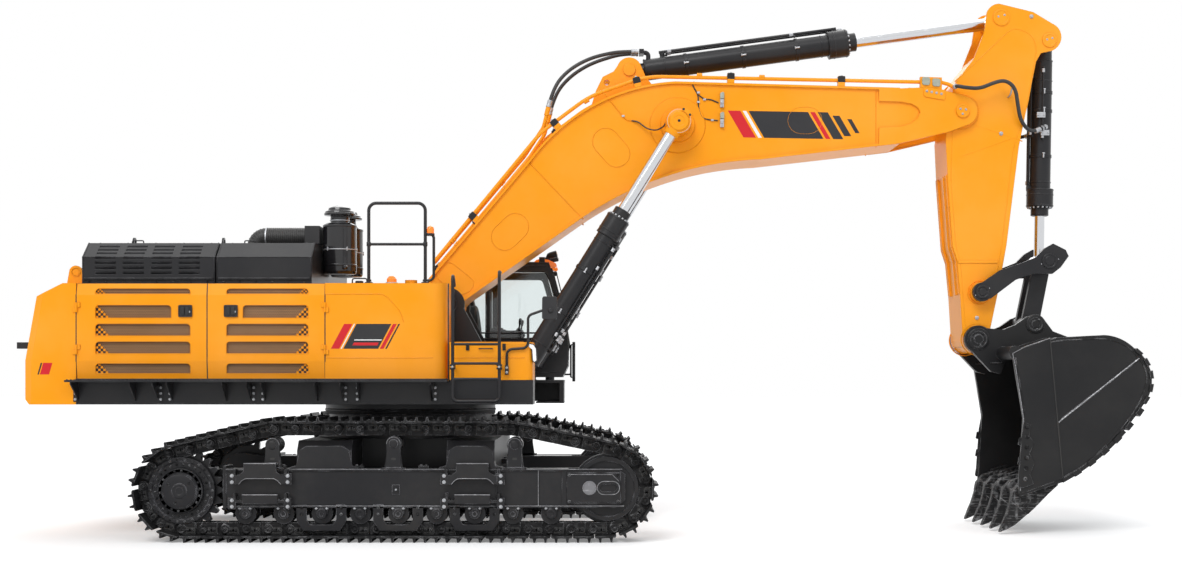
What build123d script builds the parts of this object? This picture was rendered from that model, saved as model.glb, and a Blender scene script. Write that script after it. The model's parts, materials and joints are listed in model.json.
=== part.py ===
from build123d import *
import math
import os

# A crawler excavator of the 95 tonne class with a backhoe bucket.
# Millimetres. X forward, Y to the machine's left, Z up.
# The origin lies on the ground under the swing axis.

os.makedirs("parts", exist_ok=True)

# ---------------------------------------------------------------- fits and walls
pin_fit = 0.05  # radial clearance of a pin in its bore
face_fit = 0.5  # side clearance of a boss beside an ear
seat_fit = 0.3  # clearance of a piece laid against its seat
door_gap = 6  # gap round a door
plate = 30  # flanges and webs of the boom and the arm

# ---------------------------------------------------------------- pivots, as (x, z)
boom_foot = (526, 2891)
arm_pivot = (7101, 5363)
bucket_pivot = (7298, 2445)
bucket_link_pin = (8026, 2638)
guide_pivot = (7333, 3044)
rod_link_pin = (8188, 3438)
boom_cylinder_foot = (1462, 1985)
boom_cylinder_eye = (3456, 5183)
arm_cylinder_foot = (2843, 5936)
arm_cylinder_eye = (7615, 6576)
bucket_cylinder_foot = (8234, 6284)

# ---------------------------------------------------------------- undercarriage
track_centre = 1725
shoe_width = 650
shoe_count = 51
ground_to_pin = 142
rail_depth = 84  # from the link pins to the face that the rollers run on
sprocket_x = -2537
idler_x = 2537
sprocket_pin_radius = 463
idler_pin_radius = 483
top_pin_height = 1345
carrier_radius = 95
carrier_spacing = 1440
roller_radius = 104
roller_spacing = 455
roller_count = 9
first_roller_x = -1765
rail_inner = 62  # rail faces, from the track's centre line
rail_outer = 115
frame_low = 404
frame_high = 861
frame_half_width = 175
frame_rear = -1990
frame_front = 2755
step_reach = 110

# ---------------------------------------------------------------- upper structure
ring_radius = 1100
ring_low = 1490
ring_joint = 1560
deck_low = 1627
deck_high = 1923
house_half_width = 1620
house_top = 3093
tail_radius = 4760
bay_rear = 896 - tail_radius  # the counterweight keeps its length
door_split = -2284
bay_front = -861
tank_front = 611
nose_front = 1150
toolbox_front = 1648
toolbox_high = 2381
toolbox_inner = 950
catwalk_edge = 1950
catwalk_rear = bay_rear - 40
catwalk_front = 640
catwalk_thickness = 25
panel = 45  # door and wall panels of the house
hood_half_width = 1450
hood_shoulder = house_top + 326
hood_top = hood_shoulder + 191
hood_crown = 1200
hood_wall = 40
hood_rear_end = bay_rear + 19
hood_split_rear = -2227
hood_split_front = -2210
hood_front_end = -1050

# ---------------------------------------------------------------- cab
cab_inner = 900
cab_outer = 1900
cab_rear = 223
cab_floor = 1960
cab_roof = 3523
cab_wall = 50
cab_door_rear = 950
glass = 10

# ---------------------------------------------------------------- boom, arm, bucket
boom_half_width = 400
boom_flange = 430
boom_ear_inner = 435
boom_ear = 80
fork_inner = 360
arm_half_width = 350
arm_boss = fork_inner - face_fit
arm_pivot_pin = 95
boom_foot_pin = 85
bucket_pin = 75
link_pin = 70
guide_pin = 60
bucket_ear_inner = 360
bucket_ear = 85
bucket_half_width = 1100
bucket_shell = 45
bucket_side = 50
guide_inner = 451
guide_thickness = 69

# ---------------------------------------------------------------- cylinders
boom_cylinder_y = 690
boom_cylinder_half_eye = 79
boom_cylinder_tube = 130
boom_cylinder_collar = 152
boom_cylinder_rod = 78
boom_cylinder_length = 2446
arm_cylinder_tube = 138
arm_cylinder_collar = 178
arm_cylinder_rod = 78
arm_cylinder_length = 2975
bucket_cylinder_tube = 132
bucket_cylinder_collar = 170
bucket_cylinder_rod = 65
bucket_cylinder_length = 2219
middle_half_eye = 100  # half the width of the eyes that lie on the centre plane


# ================================================================ helpers
def span(side, inner, outer):
    """Low and high Y of a layer between two distances from the centre plane."""
    return (inner, outer) if side > 0 else (-outer, -inner)


def side_prism(points, y_low, y_high, mode=Mode.ADD):
    """A prism across the machine, with a side outline given as (x, z)."""
    with BuildSketch(Plane.XZ.offset(-y_high)) as outline:
        with BuildLine():
            Polyline(*points, close=True)
        make_face()
    extrude(outline.sketch, amount=y_high - y_low, mode=mode)


def front_prism(points, x_low, x_high, mode=Mode.ADD):
    """A prism along the machine, with a front outline given as (y, z)."""
    with BuildSketch(Plane.YZ.offset(x_low)) as outline:
        with BuildLine():
            Polyline(*points, close=True)
        make_face()
    extrude(outline.sketch, amount=x_high - x_low, mode=mode)


def plan_prism(points, z_low, z_high, mode=Mode.ADD):
    """An upright prism, with a plan outline given as (x, y)."""
    with BuildSketch(Plane.XY.offset(z_low)) as outline:
        with BuildLine():
            Polyline(*points, close=True)
        make_face()
    extrude(outline.sketch, amount=z_high - z_low, mode=mode)


def block(x_low, x_high, y_low, y_high, z_low, z_high, mode=Mode.ADD):
    """A block between two corners."""
    with BuildSketch(Plane.XY.offset(z_low)) as outline:
        with Locations(((x_low + x_high) / 2, (y_low + y_high) / 2)):
            Rectangle(x_high - x_low, y_high - y_low)
    extrude(outline.sketch, amount=z_high - z_low, mode=mode)


def cross_disc(centre, radius, y_low, y_high, mode=Mode.ADD):
    """A round bar, boss or bore across the machine, about (x, z)."""
    with BuildSketch(Plane.XZ.offset(-y_high)) as outline:
        with Locations(centre):
            Circle(radius)
    extrude(outline.sketch, amount=y_high - y_low, mode=mode)


def circle_through(a, b, c):
    """The centre of the circle through three (x, z) points."""
    ax, az = a[0] - c[0], a[1] - c[1]
    bx, bz = b[0] - c[0], b[1] - c[1]
    cross = 2 * (ax * bz - az * bx)
    a_square, b_square = ax * ax + az * az, bx * bx + bz * bz
    return (
        c[0] + (bz * a_square - az * b_square) / cross,
        c[1] + (ax * b_square - bx * a_square) / cross,
    )


def side_direction(here, there, through, at):
    """The unit direction of travel at one end of a line, or of an arc through a point."""
    along = Vector(there[0] - here[0], there[1] - here[1])
    if through:
        centre = circle_through(here, through, there)
        spoke = Vector(at[0] - centre[0], at[1] - centre[1])
        middle = Vector(through[0] - here[0], through[1] - here[1])
        turn = 1 if middle.X * along.Y - middle.Y * along.X > 0 else -1
        along = Vector(-spoke.Y * turn, spoke.X * turn)
    return along.normalized()


def route_face(route, inset=0):
    """Draws a closed route of (x, z) corners, drawn in by a wall; call inside a sketch.

    A point given as (x, z, "arc") lies on the arc that joins its two neighbours.
    """
    corners = [point[:2] for point in route if len(point) == 2]
    middles = {}
    for number, point in enumerate(route):
        if len(point) == 3:
            middles[route[number - 1]] = point[:2]
    area = 0
    for number, (x, z, *_) in enumerate(route):
        after = route[(number + 1) % len(route)]
        area += x * after[1] - after[0] * z
    sense = 1 if area > 0 else -1
    moved = []
    count = len(corners)
    for number, here in enumerate(corners):
        before, after = corners[number - 1], corners[(number + 1) % count]
        arriving = side_direction(before, here, middles.get(before), here)
        leaving = side_direction(here, after, middles.get(here), here)
        normals = [Vector(-way.Y * sense, way.X * sense) for way in (arriving, leaving)]
        lean = 1 + normals[0].dot(normals[1])
        moved.append(Vector(*here) + (normals[0] + normals[1]) * (inset / lean))
    with BuildLine() as edge:
        for number, here in enumerate(corners):
            start, end = moved[number], moved[(number + 1) % count]
            through = middles.get(here)
            if through:
                centre = Vector(*circle_through(here, through, corners[(number + 1) % count]))
                spoke = Vector(*through) - centre
                inward = 1 if spoke.dot(start - Vector(*here)) > 0 else -1
                ThreePointArc(start, Vector(*through) + spoke.normalized() * abs(inset) * inward, end)
            else:
                Line(start, end)
    make_face(edge.line.edges())


def route_prism(route, y_low, y_high, inset=0, mode=Mode.ADD):
    """A prism across the machine, with a side outline that may hold arcs."""
    with BuildSketch(Plane.XZ.offset(-y_high)) as outline:
        route_face(route, inset)
    extrude(outline.sketch, amount=y_high - y_low, mode=mode)


def cross_discs(centres, radius, y_low, y_high, mode=Mode.ADD):
    """Equal round bars across the machine, about several (x, z) points."""
    with BuildSketch(Plane.XZ.offset(-y_high)) as outline:
        with Locations(*centres):
            Circle(radius)
    extrude(outline.sketch, amount=y_high - y_low, mode=mode)


def cross_hull(rounds, y_low, y_high, mode=Mode.ADD):
    """A plate across the machine, stretched round circles given as (x, z, radius)."""
    with BuildSketch(Plane.XZ.offset(-y_high)) as outline:
        for x, z, radius in rounds:
            with Locations((x, z)):
                Circle(radius)
        make_hull()
    extrude(outline.sketch, amount=y_high - y_low, mode=mode)


def upright_disc(centre, radius, z_low, z_high, mode=Mode.ADD):
    """An upright round bar or bore, about (x, y)."""
    with BuildSketch(Plane.XY.offset(z_low)) as outline:
        with Locations(centre):
            Circle(radius)
    extrude(outline.sketch, amount=z_high - z_low, mode=mode)


def round_bar(start, end, radius, mode=Mode.ADD):
    """A straight round bar between two points."""
    along = Vector(*end) - Vector(*start)
    with BuildSketch(Plane(origin=start, z_dir=along)) as outline:
        Circle(radius)
    extrude(outline.sketch, amount=along.length, mode=mode)


def bent_tube(points, radius, bend):
    """A round tube along straight runs that tangent arcs join."""
    with BuildLine() as route:
        FilletPolyline(*points, radius=bend)
    with BuildSketch(Plane(origin=route.line @ 0, z_dir=route.line % 0)) as outline:
        Circle(radius)
    sweep(outline.sketch, path=route.line)


def offset_from(origin, towards, distance):
    """The point at a distance from one (x, z) point towards another."""
    length = math.dist(origin, towards)
    share = distance / length
    return tuple(a + (b - a) * share for a, b in zip(origin, towards))


def cylinder_point(foot, eye, distance, y):
    """A point on a cylinder's axis, as (x, y, z), measured from its foot pin."""
    x, z = offset_from(foot, eye, distance)
    return (x, y, z)


hinge_pin = 8
hinge_knuckle = 13
hinge_length = 120  # of both knuckles together
hinge_stand = 14  # from the panel's face to the hinge's axis
hinge_leaf = 45


def fixed_knuckle(x, side, face, z, leaf_way):
    """A hinge's fixed lower knuckle with its pin; call inside the part that carries it."""
    y = side * (face + hinge_stand)
    upright_disc((x, y), hinge_knuckle, z - hinge_length / 2, z)
    upright_disc((x, y), hinge_pin, z - hinge_length / 2, z + hinge_length / 2)
    low, high = span(side, face, face + hinge_stand)
    start, end = sorted((x, x + leaf_way * hinge_leaf))
    block(start, end, low, high, z - hinge_length / 2, z)


def door_knuckle(x, side, face, z, leaf_way):
    """A hinge's moving upper knuckle, bored for the pin; call inside the door."""
    y = side * (face + hinge_stand)
    low, high = span(side, face, face + hinge_stand)
    start, end = sorted((x, x + leaf_way * hinge_leaf))
    block(start, end, low, high, z + seat_fit, z + hinge_length / 2)
    upright_disc((x, y), hinge_knuckle, z + seat_fit, z + hinge_length / 2)
    upright_disc((x, y), hinge_pin + pin_fit, z + seat_fit, z + hinge_length / 2, mode=Mode.SUBTRACT)


# ================================================================ tracks
def belt_path(wheels, step_count):
    """Even points, as (x, z), along a belt that runs clockwise round (x, z, radius) wheels."""
    normals = []
    for here, there in zip(wheels, wheels[1:] + wheels[:1]):
        heading = math.atan2(there[1] - here[1], there[0] - here[0])
        reach = math.dist(here[:2], there[:2])
        normals.append(heading + math.acos((here[2] - there[2]) / reach))
    runs = []
    for number, (x, z, radius) in enumerate(wheels):
        arrive = normals[number - 1]
        leave = normals[number]
        turn = (arrive - leave) % (2 * math.pi)
        runs.append(("arc", (x, z, radius, arrive), radius * turn))
        following = wheels[(number + 1) % len(wheels)]
        start = (x + radius * math.cos(leave), z + radius * math.sin(leave))
        end = (
            following[0] + following[2] * math.cos(leave),
            following[1] + following[2] * math.sin(leave),
        )
        runs.append(("line", (start, end), math.dist(start, end)))
    total = sum(length for _, _, length in runs)
    points = []
    for step in range(step_count):
        left = total * step / step_count
        for kind, data, length in runs:
            if left <= length:
                break
            left -= length
        if kind == "arc":
            x, z, radius, arrive = data
            angle = arrive - left / radius
            points.append((x + radius * math.cos(angle), z + radius * math.sin(angle)))
        else:
            start, end = data
            share = left / length
            points.append(tuple(a + (b - a) * share for a, b in zip(start, end)))
    return points, total / step_count


def lifted(points, height):
    """The belt's points moved outwards by a height, as a closed outline."""
    moved = []
    count = len(points)
    for number, (x, z) in enumerate(points):
        before = points[number - 1]
        after = points[(number + 1) % count]
        along = (after[0] - before[0], after[1] - before[1])
        length = math.hypot(*along)
        moved.append((x - along[1] / length * height, z + along[0] / length * height))
    return moved


sprocket_z = ground_to_pin + sprocket_pin_radius
idler_z = ground_to_pin + idler_pin_radius
link_sag = 17  # room for the straight links that pass over an end carrier roller
running_gap = 0.5
end_carrier_z = top_pin_height - rail_depth - carrier_radius - link_sag
middle_carrier_z = top_pin_height - rail_depth - carrier_radius - running_gap
roller_z = ground_to_pin + rail_depth + running_gap + roller_radius
carrier_belt = carrier_radius + rail_depth + link_sag
link_pins, link_pitch = belt_path(
    [
        (sprocket_x, sprocket_z, sprocket_pin_radius),
        (-carrier_spacing, end_carrier_z, carrier_belt),
        (carrier_spacing, end_carrier_z, carrier_belt),
        (idler_x, idler_z, idler_pin_radius),
    ],
    shoe_count,
)

# One shoe from pin to pin: (share of the pitch, height over the pins).
# Two grousers stand on a plate, and the plate's ends dip to the joint.
shoe_outline = [
    (0.0, 70),
    (0.11, 92),
    (0.14, 142),
    (0.22, 142),
    (0.25, 92),
    (0.62, 92),
    (0.65, 142),
    (0.73, 142),
    (0.76, 92),
]
shoe_under = 66
rail_top = 68


def tread_outline():
    """The outer outline of all the shoes of one track."""
    outline = []
    for number, start in enumerate(link_pins):
        end = link_pins[(number + 1) % shoe_count]
        along = (end[0] - start[0], end[1] - start[1])
        length = math.hypot(*along)
        for share, height in shoe_outline:
            x = start[0] + along[0] * share - along[1] / length * height
            z = start[1] + along[1] * share + along[0] / length * height
            outline.append((x, z))
    return outline


def make_track(side):
    """Shoes and two link rails as one closed loop."""
    centre = side * track_centre
    with BuildPart() as track:
        low, high = centre - shoe_width / 2, centre + shoe_width / 2
        side_prism(tread_outline(), low, high)
        side_prism(lifted(link_pins, shoe_under), low, high, mode=Mode.SUBTRACT)
        for rail in (-1, 1):
            low, high = span(rail, rail_inner, rail_outer)
            with BuildPart(mode=Mode.PRIVATE) as band:
                side_prism(lifted(link_pins, rail_top), centre + low, centre + high)
                side_prism(
                    lifted(link_pins, -rail_depth),
                    centre + low,
                    centre + high,
                    mode=Mode.SUBTRACT,
                )
            add(band.part)
    return track


track_right = make_track(-1)
track_left = make_track(1)

# ---------------------------------------------------------------- sprockets
tooth_count = 22
sprocket_half_width = 50
sprocket_root = 415
sprocket_tip = 488
# one tooth, as (share of the tooth pitch, radius)
tooth_profile = ((-0.42, sprocket_root), (-0.14, sprocket_tip), (0.14, sprocket_tip), (0.42, sprocket_root))
cover_radius = 340
hub_radius = 257
hub_face = 1950
drive_plate = 55  # thickness of the drive mount inside the chain
sprocket_centre = (sprocket_x, sprocket_z)
with BuildPart() as sprockets:
    for side in (-1, 1):
        low, high = span(side, track_centre - sprocket_half_width, track_centre + sprocket_half_width)
        corners = []
        for number in range(tooth_count):
            for turn, radius in tooth_profile:
                corner = 2 * math.pi * (number + turn) / tooth_count
                corners.append(
                    (sprocket_x + radius * math.cos(corner), sprocket_z + radius * math.sin(corner))
                )
        side_prism(corners, low, high)
        low, high = span(side, track_centre + sprocket_half_width, track_centre + rail_outer)
        cross_disc(sprocket_centre, cover_radius, low, high)
        low, high = span(side, track_centre - 120 + seat_fit, hub_face - 30)
        cross_disc(sprocket_centre, hub_radius, low, high)
        low, high = span(side, hub_face - 30, hub_face)
        cross_disc(sprocket_centre, hub_radius - 45, low, high)

# ---------------------------------------------------------------- idlers
idler_tread = (idler_pin_radius - rail_depth) * math.cos(math.asin(link_pitch / 2 / idler_pin_radius))
idler_centre = (idler_x, idler_z)
idler_hub = 120
with BuildPart() as idlers:
    for side in (-1, 1):
        low, high = span(side, track_centre - 118, track_centre + 118)
        cross_disc(idler_centre, idler_tread - 3, low, high)
        low, high = span(side, track_centre - 55, track_centre + 55)
        cross_disc(idler_centre, idler_tread + 30, low, high)
        for face in (-1, 1):
            low, high = span(side, track_centre - 130 + seat_fit, track_centre + 130 - seat_fit)
        cross_disc(idler_centre, idler_hub, low, high)
        for inner, outer in ((track_centre - 118, track_centre - 88), (track_centre + 88, track_centre + 118)):
            low, high = span(side, inner, outer)
            cross_disc(idler_centre, idler_tread - 55, low, high, mode=Mode.SUBTRACT)
            cross_disc(idler_centre, idler_hub, low, high)

# ---------------------------------------------------------------- rollers
roller_half = 118
roller_flange = 125
collar_half = 70
skirt = 27
roller_centres = [(first_roller_x + number * roller_spacing, roller_z) for number in range(roller_count)]
with BuildPart() as rollers:
    for side in (-1, 1):
        low, high = span(side, track_centre - roller_half, track_centre + roller_half)
        cross_discs(roller_centres, roller_radius, low, high)
        low, high = span(side, track_centre - frame_half_width, track_centre + frame_half_width)
        cross_discs(roller_centres, 58, low, high)
        for face in (-1, 1):
            inner = track_centre + face * (roller_half + 8)
            outer = track_centre + face * (roller_half + 20)
            low, high = span(side, min(inner, outer), max(inner, outer))
            cross_discs(roller_centres, roller_flange, low, high)
            inner = track_centre + face * (frame_half_width - skirt)
            outer = track_centre + face * frame_half_width
            low, high = span(side, min(inner, outer), max(inner, outer))
            with BuildSketch(Plane.XZ.offset(-high)) as collars:
                with Locations(*[(x, (roller_z + frame_low) / 2) for x, _ in roller_centres]):
                    Rectangle(2 * collar_half, frame_low - roller_z)
            extrude(collars.sketch, amount=high - low)
    carriers = ((-carrier_spacing, end_carrier_z), (0, middle_carrier_z), (carrier_spacing, end_carrier_z))
    for side in (-1, 1):
        for x, z in carriers:
            low, high = span(side, track_centre - roller_half, track_centre + roller_half)
            cross_disc((x, z), carrier_radius, low, high)
            low, high = span(side, track_centre + roller_half, track_centre + frame_half_width)
            cross_disc((x, z), 45, low, high)
            low, high = span(side, track_centre + 128, track_centre + frame_half_width)
            side_prism(
                [(x - 110, frame_high), (x + 110, frame_high), (x + 60, z + 60), (x - 60, z + 60)],
                low,
                high,
            )

# ---------------------------------------------------------------- track frames
fork_start = idler_x - idler_tread - 80
roller_room = 470  # underside of the box, over the roller flanges
drive_mount_radius = 300
guard_rows = (3, 5, 7)  # rollers that carry a guard, counted from the sprocket
# half of a guard's U shape, as (distance from the roller, height)
guard_outline = [
    (0, 205),
    (135, 205),
    (175, 265),
    (175, frame_low + 36),
    (297, frame_low + 36),
    (297, 250),
    (220, 130),
]
with BuildPart() as track_frames:
    for side in (-1, 1):
        inner, outer = track_centre - frame_half_width, track_centre + frame_half_width
        low, high = span(side, inner, outer)
        block(frame_rear, fork_start, low, high, roller_room, frame_high)
        for face_inner, face_outer in ((inner, inner + skirt), (outer - skirt, outer)):
            low, high = span(side, face_inner, face_outer)
            block(frame_rear, fork_start, low, high, frame_low, roller_room)
        for face_inner, face_outer in ((inner, inner + 45), (outer - 45, outer)):
            low, high = span(side, face_inner, face_outer)
            side_prism(
                [
                    (fork_start, frame_low),
                    (frame_front - 120, frame_low),
                    (frame_front, frame_low + 90),
                    (frame_front, frame_high - 60),
                    (frame_front - 90, frame_high),
                    (fork_start, frame_high),
                ],
                low,
                high,
            )
        low, high = span(side, inner - 15, outer + 5)
        block(frame_rear - 40, frame_rear, low, high, frame_low - 20, frame_high + 40)
        low, high = span(side, inner, inner + drive_plate)
        cross_hull(
            [
                (sprocket_x, sprocket_z, drive_mount_radius),
                (frame_rear - 45, sprocket_z + 60, 170),
            ],
            low,
            high,
        )
        for low_x, high_x in ((-1888, -1249), (620, 1271)):
            for tread_z in (760, 470):
                low, high = span(side, outer, outer + step_reach)
                block(low_x, high_x, low, high, tread_z, tread_z + 30)
                for end_x in (low_x, high_x - 30):
                    block(end_x, end_x + 30, low, high, tread_z + 30, tread_z + 110)
        for number in guard_rows:
            x = first_roller_x + (number - 1) * roller_spacing
            low, high = span(side, outer, outer + 20)
            side_prism(
                [(x + shift, z) for shift, z in guard_outline + [(-a, b) for a, b in reversed(guard_outline)]],
                low,
                high,
            )
        # cover plate over the idler's adjuster, with a round and a long hole
        low, high = span(side, outer, outer + 25)
        block(2060, 2700, low, high, 450, 820)
        cross_disc((2330, 640), 75, low, high, mode=Mode.SUBTRACT)
        cross_hull([(2500, 640, 45), (2610, 640, 45)], low, high, mode=Mode.SUBTRACT)

# ---------------------------------------------------------------- car body and swing bearing
beam_high = 1200
with BuildPart() as car_body:
    block(-1150, 1200, -1000, 1000, 700, beam_high)
    for low_x, high_x in ((-1150, -500), (630, 1200)):
        front_prism(
            [
                (-track_centre - 170, frame_high),
                (track_centre + 170, frame_high),
                (track_centre + 170, beam_high - 120),
                (track_centre + 60, beam_high),
                (-track_centre - 60, beam_high),
                (-track_centre - 170, beam_high - 120),
            ],
            low_x,
            high_x,
        )
    with BuildSketch(Plane.XY.offset(beam_high)) as drum_base:
        Circle(1180)
    extrude(drum_base.sketch, amount=60)
    upright_disc((0, 0), 1050, beam_high, ring_low)
    for side in (-1, 1):
        low, high = sorted((side * 190, side * 370))
        plan_prism([(1190, low), (1320, low), (1390, low + 60), (1390, high - 60), (1320, high), (1190, high)], 850, 910)
        upright_disc((1310, side * 280), 45, 850, 910, mode=Mode.SUBTRACT)

with BuildPart() as slew_bearing:
    upright_disc((0, 0), ring_radius, ring_low, ring_joint)
    upright_disc((0, 0), ring_radius - 60, ring_low, ring_joint, mode=Mode.SUBTRACT)
    upright_disc((0, 0), ring_radius - 60, ring_low, ring_low + 20)

# ================================================================ upper structure
web_plate = 60
deck_plate = 40
ear_line = boom_ear_inner + boom_ear
cylinder_ear_inner = boom_cylinder_y - boom_cylinder_half_eye - face_fit
cylinder_ear_outer = boom_cylinder_y + boom_cylinder_half_eye + face_fit
cylinder_ear = 60
foot_pin_radius = 70
with BuildPart() as revolving_frame:
    # deck plate: full width behind, cut back between the toolbox and the cab in front
    plan_prism(
        [
            (bay_rear, -house_half_width),
            (toolbox_front, -house_half_width),
            (toolbox_front, -toolbox_inner),
            (nose_front, -toolbox_inner),
            (nose_front, cab_inner),
            (1980, cab_inner),
            (1980, cab_outer - 40),
            (catwalk_front, cab_outer - 40),
            (catwalk_front, house_half_width),
            (bay_rear, house_half_width),
        ],
        deck_high - deck_plate,
        deck_high,
    )
    for side in (-1, 1):
        front = toolbox_front if side < 0 else 1980
        low, high = span(side, house_half_width - web_plate, house_half_width)
        block(bay_rear, front, low, high, deck_low, deck_high - deck_plate)
        low, high = span(side, ear_line - web_plate, ear_line)
        block(bay_rear, nose_front, low, high, deck_low, deck_high - deck_plate)
        low, high = span(side, ear_line, house_half_width - web_plate)
        for x in (bay_rear, door_split, bay_front, nose_front - web_plate):
            block(x, x + web_plate, low, high, deck_low, deck_high - deck_plate)
    block(bay_rear, nose_front, -toolbox_inner, toolbox_inner, deck_low, deck_low + web_plate)
    for x in (bay_rear, door_split, bay_front, nose_front - web_plate):
        block(x, x + web_plate, -ear_line, ear_line, deck_low, deck_high - deck_plate)
    block(toolbox_front - web_plate, toolbox_front, -house_half_width, -toolbox_inner, deck_low, deck_high)
    block(1980 - web_plate, 1980, cab_inner, house_half_width, deck_low, deck_high)
    block(1600, 1980, cab_inner, cab_outer - 60, deck_low - 20, deck_low)
    upright_disc((0, 0), ring_radius, ring_joint + face_fit, deck_low + web_plate)
    upright_disc((0, 0), ring_radius - 90, ring_joint + face_fit, deck_low, mode=Mode.SUBTRACT)
    # boom foot ears and the ears of the boom cylinders
    for side in (-1, 1):
        low, high = span(side, boom_ear_inner, ear_line)
        side_prism(
            [
                (-700, deck_high),
                (nose_front, deck_high),
                (nose_front, deck_high + 120),
                (boom_foot[0] + 205, boom_foot[1] - 60),
                (boom_foot[0] - 190, boom_foot[1] + 60),
                (-560, deck_high + 160),
            ],
            low,
            high,
        )
        cross_disc(boom_foot, 210, low, high)
        for inner, outer in (
            (cylinder_ear_inner - cylinder_ear, cylinder_ear_inner),
            (cylinder_ear_outer, cylinder_ear_outer + cylinder_ear),
        ):
            low, high = span(side, inner, outer)
            side_prism(
                [
                    (700, deck_low),
                    (nose_front + 330, deck_low),
                    (boom_cylinder_foot[0] + 150, boom_cylinder_foot[1] - 60),
                    (boom_cylinder_foot[0] - 60, boom_cylinder_foot[1] + 130),
                    (820, deck_high + 60),
                ],
                low,
                high,
            )
            cross_disc(boom_cylinder_foot, 145, low, high)
        low, high = span(side, ear_line, cylinder_ear_outer + cylinder_ear + 25)
        cross_disc(boom_cylinder_foot, foot_pin_radius, low, high)
        low, high = span(side, cylinder_ear_outer + cylinder_ear, cylinder_ear_outer + cylinder_ear + 25)
        cross_disc(boom_cylinder_foot, foot_pin_radius + 25, low, high)
        low, high = span(side, ear_line, cylinder_ear_inner - cylinder_ear)
        block(1000, 1400, low, high, deck_low, deck_high)
    cross_disc(boom_foot, boom_foot_pin, -ear_line - 30, ear_line + 30)
    for side in (-1, 1):
        low, high = span(side, ear_line, ear_line + 30)
        cross_disc(boom_foot, boom_foot_pin + 30, low, high)

# ---------------------------------------------------------------- counterweight
crease_low = 2152
crease_high = 2948
bay_hinges = (2290, 2800)
rear_hinge_x = bay_rear + 5
front_hinge_x = bay_front
lug_x = bay_rear - 114
lug_y = 1240
lug_half = 30
with BuildPart() as counterweight:
    with BuildSketch(Plane.XZ) as tail_section:
        with BuildLine():
            Polyline(
                (3000, deck_low),
                (tail_radius - 40, deck_low),
                (tail_radius, deck_low + 60),
                (tail_radius, 2160),
                (tail_radius - 130, 2936),
                (tail_radius - 420, house_top),
                (3000, house_top),
                close=True,
            )
        make_face()
    revolve(tail_section.sketch, axis=Axis.Z, revolution_arc=360)
    with BuildSketch(Plane.XY.offset(deck_low)) as tail_plan:
        with BuildLine():
            FilletPolyline(
                (bay_rear, -house_half_width),
                (bay_rear, house_half_width),
                (-5200, house_half_width),
                (-5200, -house_half_width),
                radius=0,
                close=True,
            )
        make_face()
    extrude(tail_plan.sketch, amount=house_top - deck_low, mode=Mode.INTERSECT)
    rear_corners = counterweight.edges().filter_by(
        lambda edge: edge.center().X < bay_rear - 300 and abs(edge.center().Y) > house_half_width - 1
        and abs((edge @ 0).Z - (edge @ 1).Z) > 400
    )
    chamfer(rear_corners, length=70)
    for side in (-1, 1):
        low, high = span(side, lug_y - lug_half, lug_y + lug_half)
        side_prism(
            [
                (lug_x - 110, house_top - 5),
                (lug_x + 110, house_top - 5),
                (lug_x + 75, house_top + 190),
                (lug_x - 75, house_top + 190),
            ],
            low,
            high,
        )
        cross_disc((lug_x, house_top + 155), 80, low, high)
        cross_disc((lug_x, house_top + 155), 45, low, high, mode=Mode.SUBTRACT)
        for z in bay_hinges:
            fixed_knuckle(rear_hinge_x, side, house_half_width, z, -1)

# ---------------------------------------------------------------- engine bay
bay_beam = 60
with BuildPart() as bay_frame:
    block(bay_front - panel, bay_front, -house_half_width + 100, house_half_width - 100, deck_high, house_top)
    for side in (-1, 1):
        low, high = span(side, hood_half_width, house_half_width - panel - door_gap)
        block(bay_rear, bay_front, low, high, house_top - panel, house_top)
        for x in (bay_rear, door_split - 40, bay_front - 80):
            low, high = span(side, house_half_width - panel - 60, house_half_width - panel - door_gap)
            block(x, x + 80, low, high, deck_high, house_top - panel)
    for x in (bay_rear, hood_split_rear - 60):
        block(x, x + 80, -hood_half_width, hood_half_width, house_top - panel, house_top)
    block(bay_front - 250, bay_front, -hood_half_width, hood_half_width, house_top - panel, house_top)

with BuildPart() as engine:
    block(bay_rear + 564, -1350, -420, 420, deck_high, 2350)
    block(bay_rear + 664, -1450, -360, 360, 2350, 3020)


def hood_section(inset):
    """The hood's front outline, drawn in by a wall."""
    slope = inset * 0.6
    return [
        (-hood_half_width + inset, house_top),
        (-hood_half_width + inset, hood_shoulder - slope),
        (-hood_crown + slope, hood_top - inset),
        (hood_crown - slope, hood_top - inset),
        (hood_half_width - inset, hood_shoulder - slope),
        (hood_half_width - inset, house_top),
    ]


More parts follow.
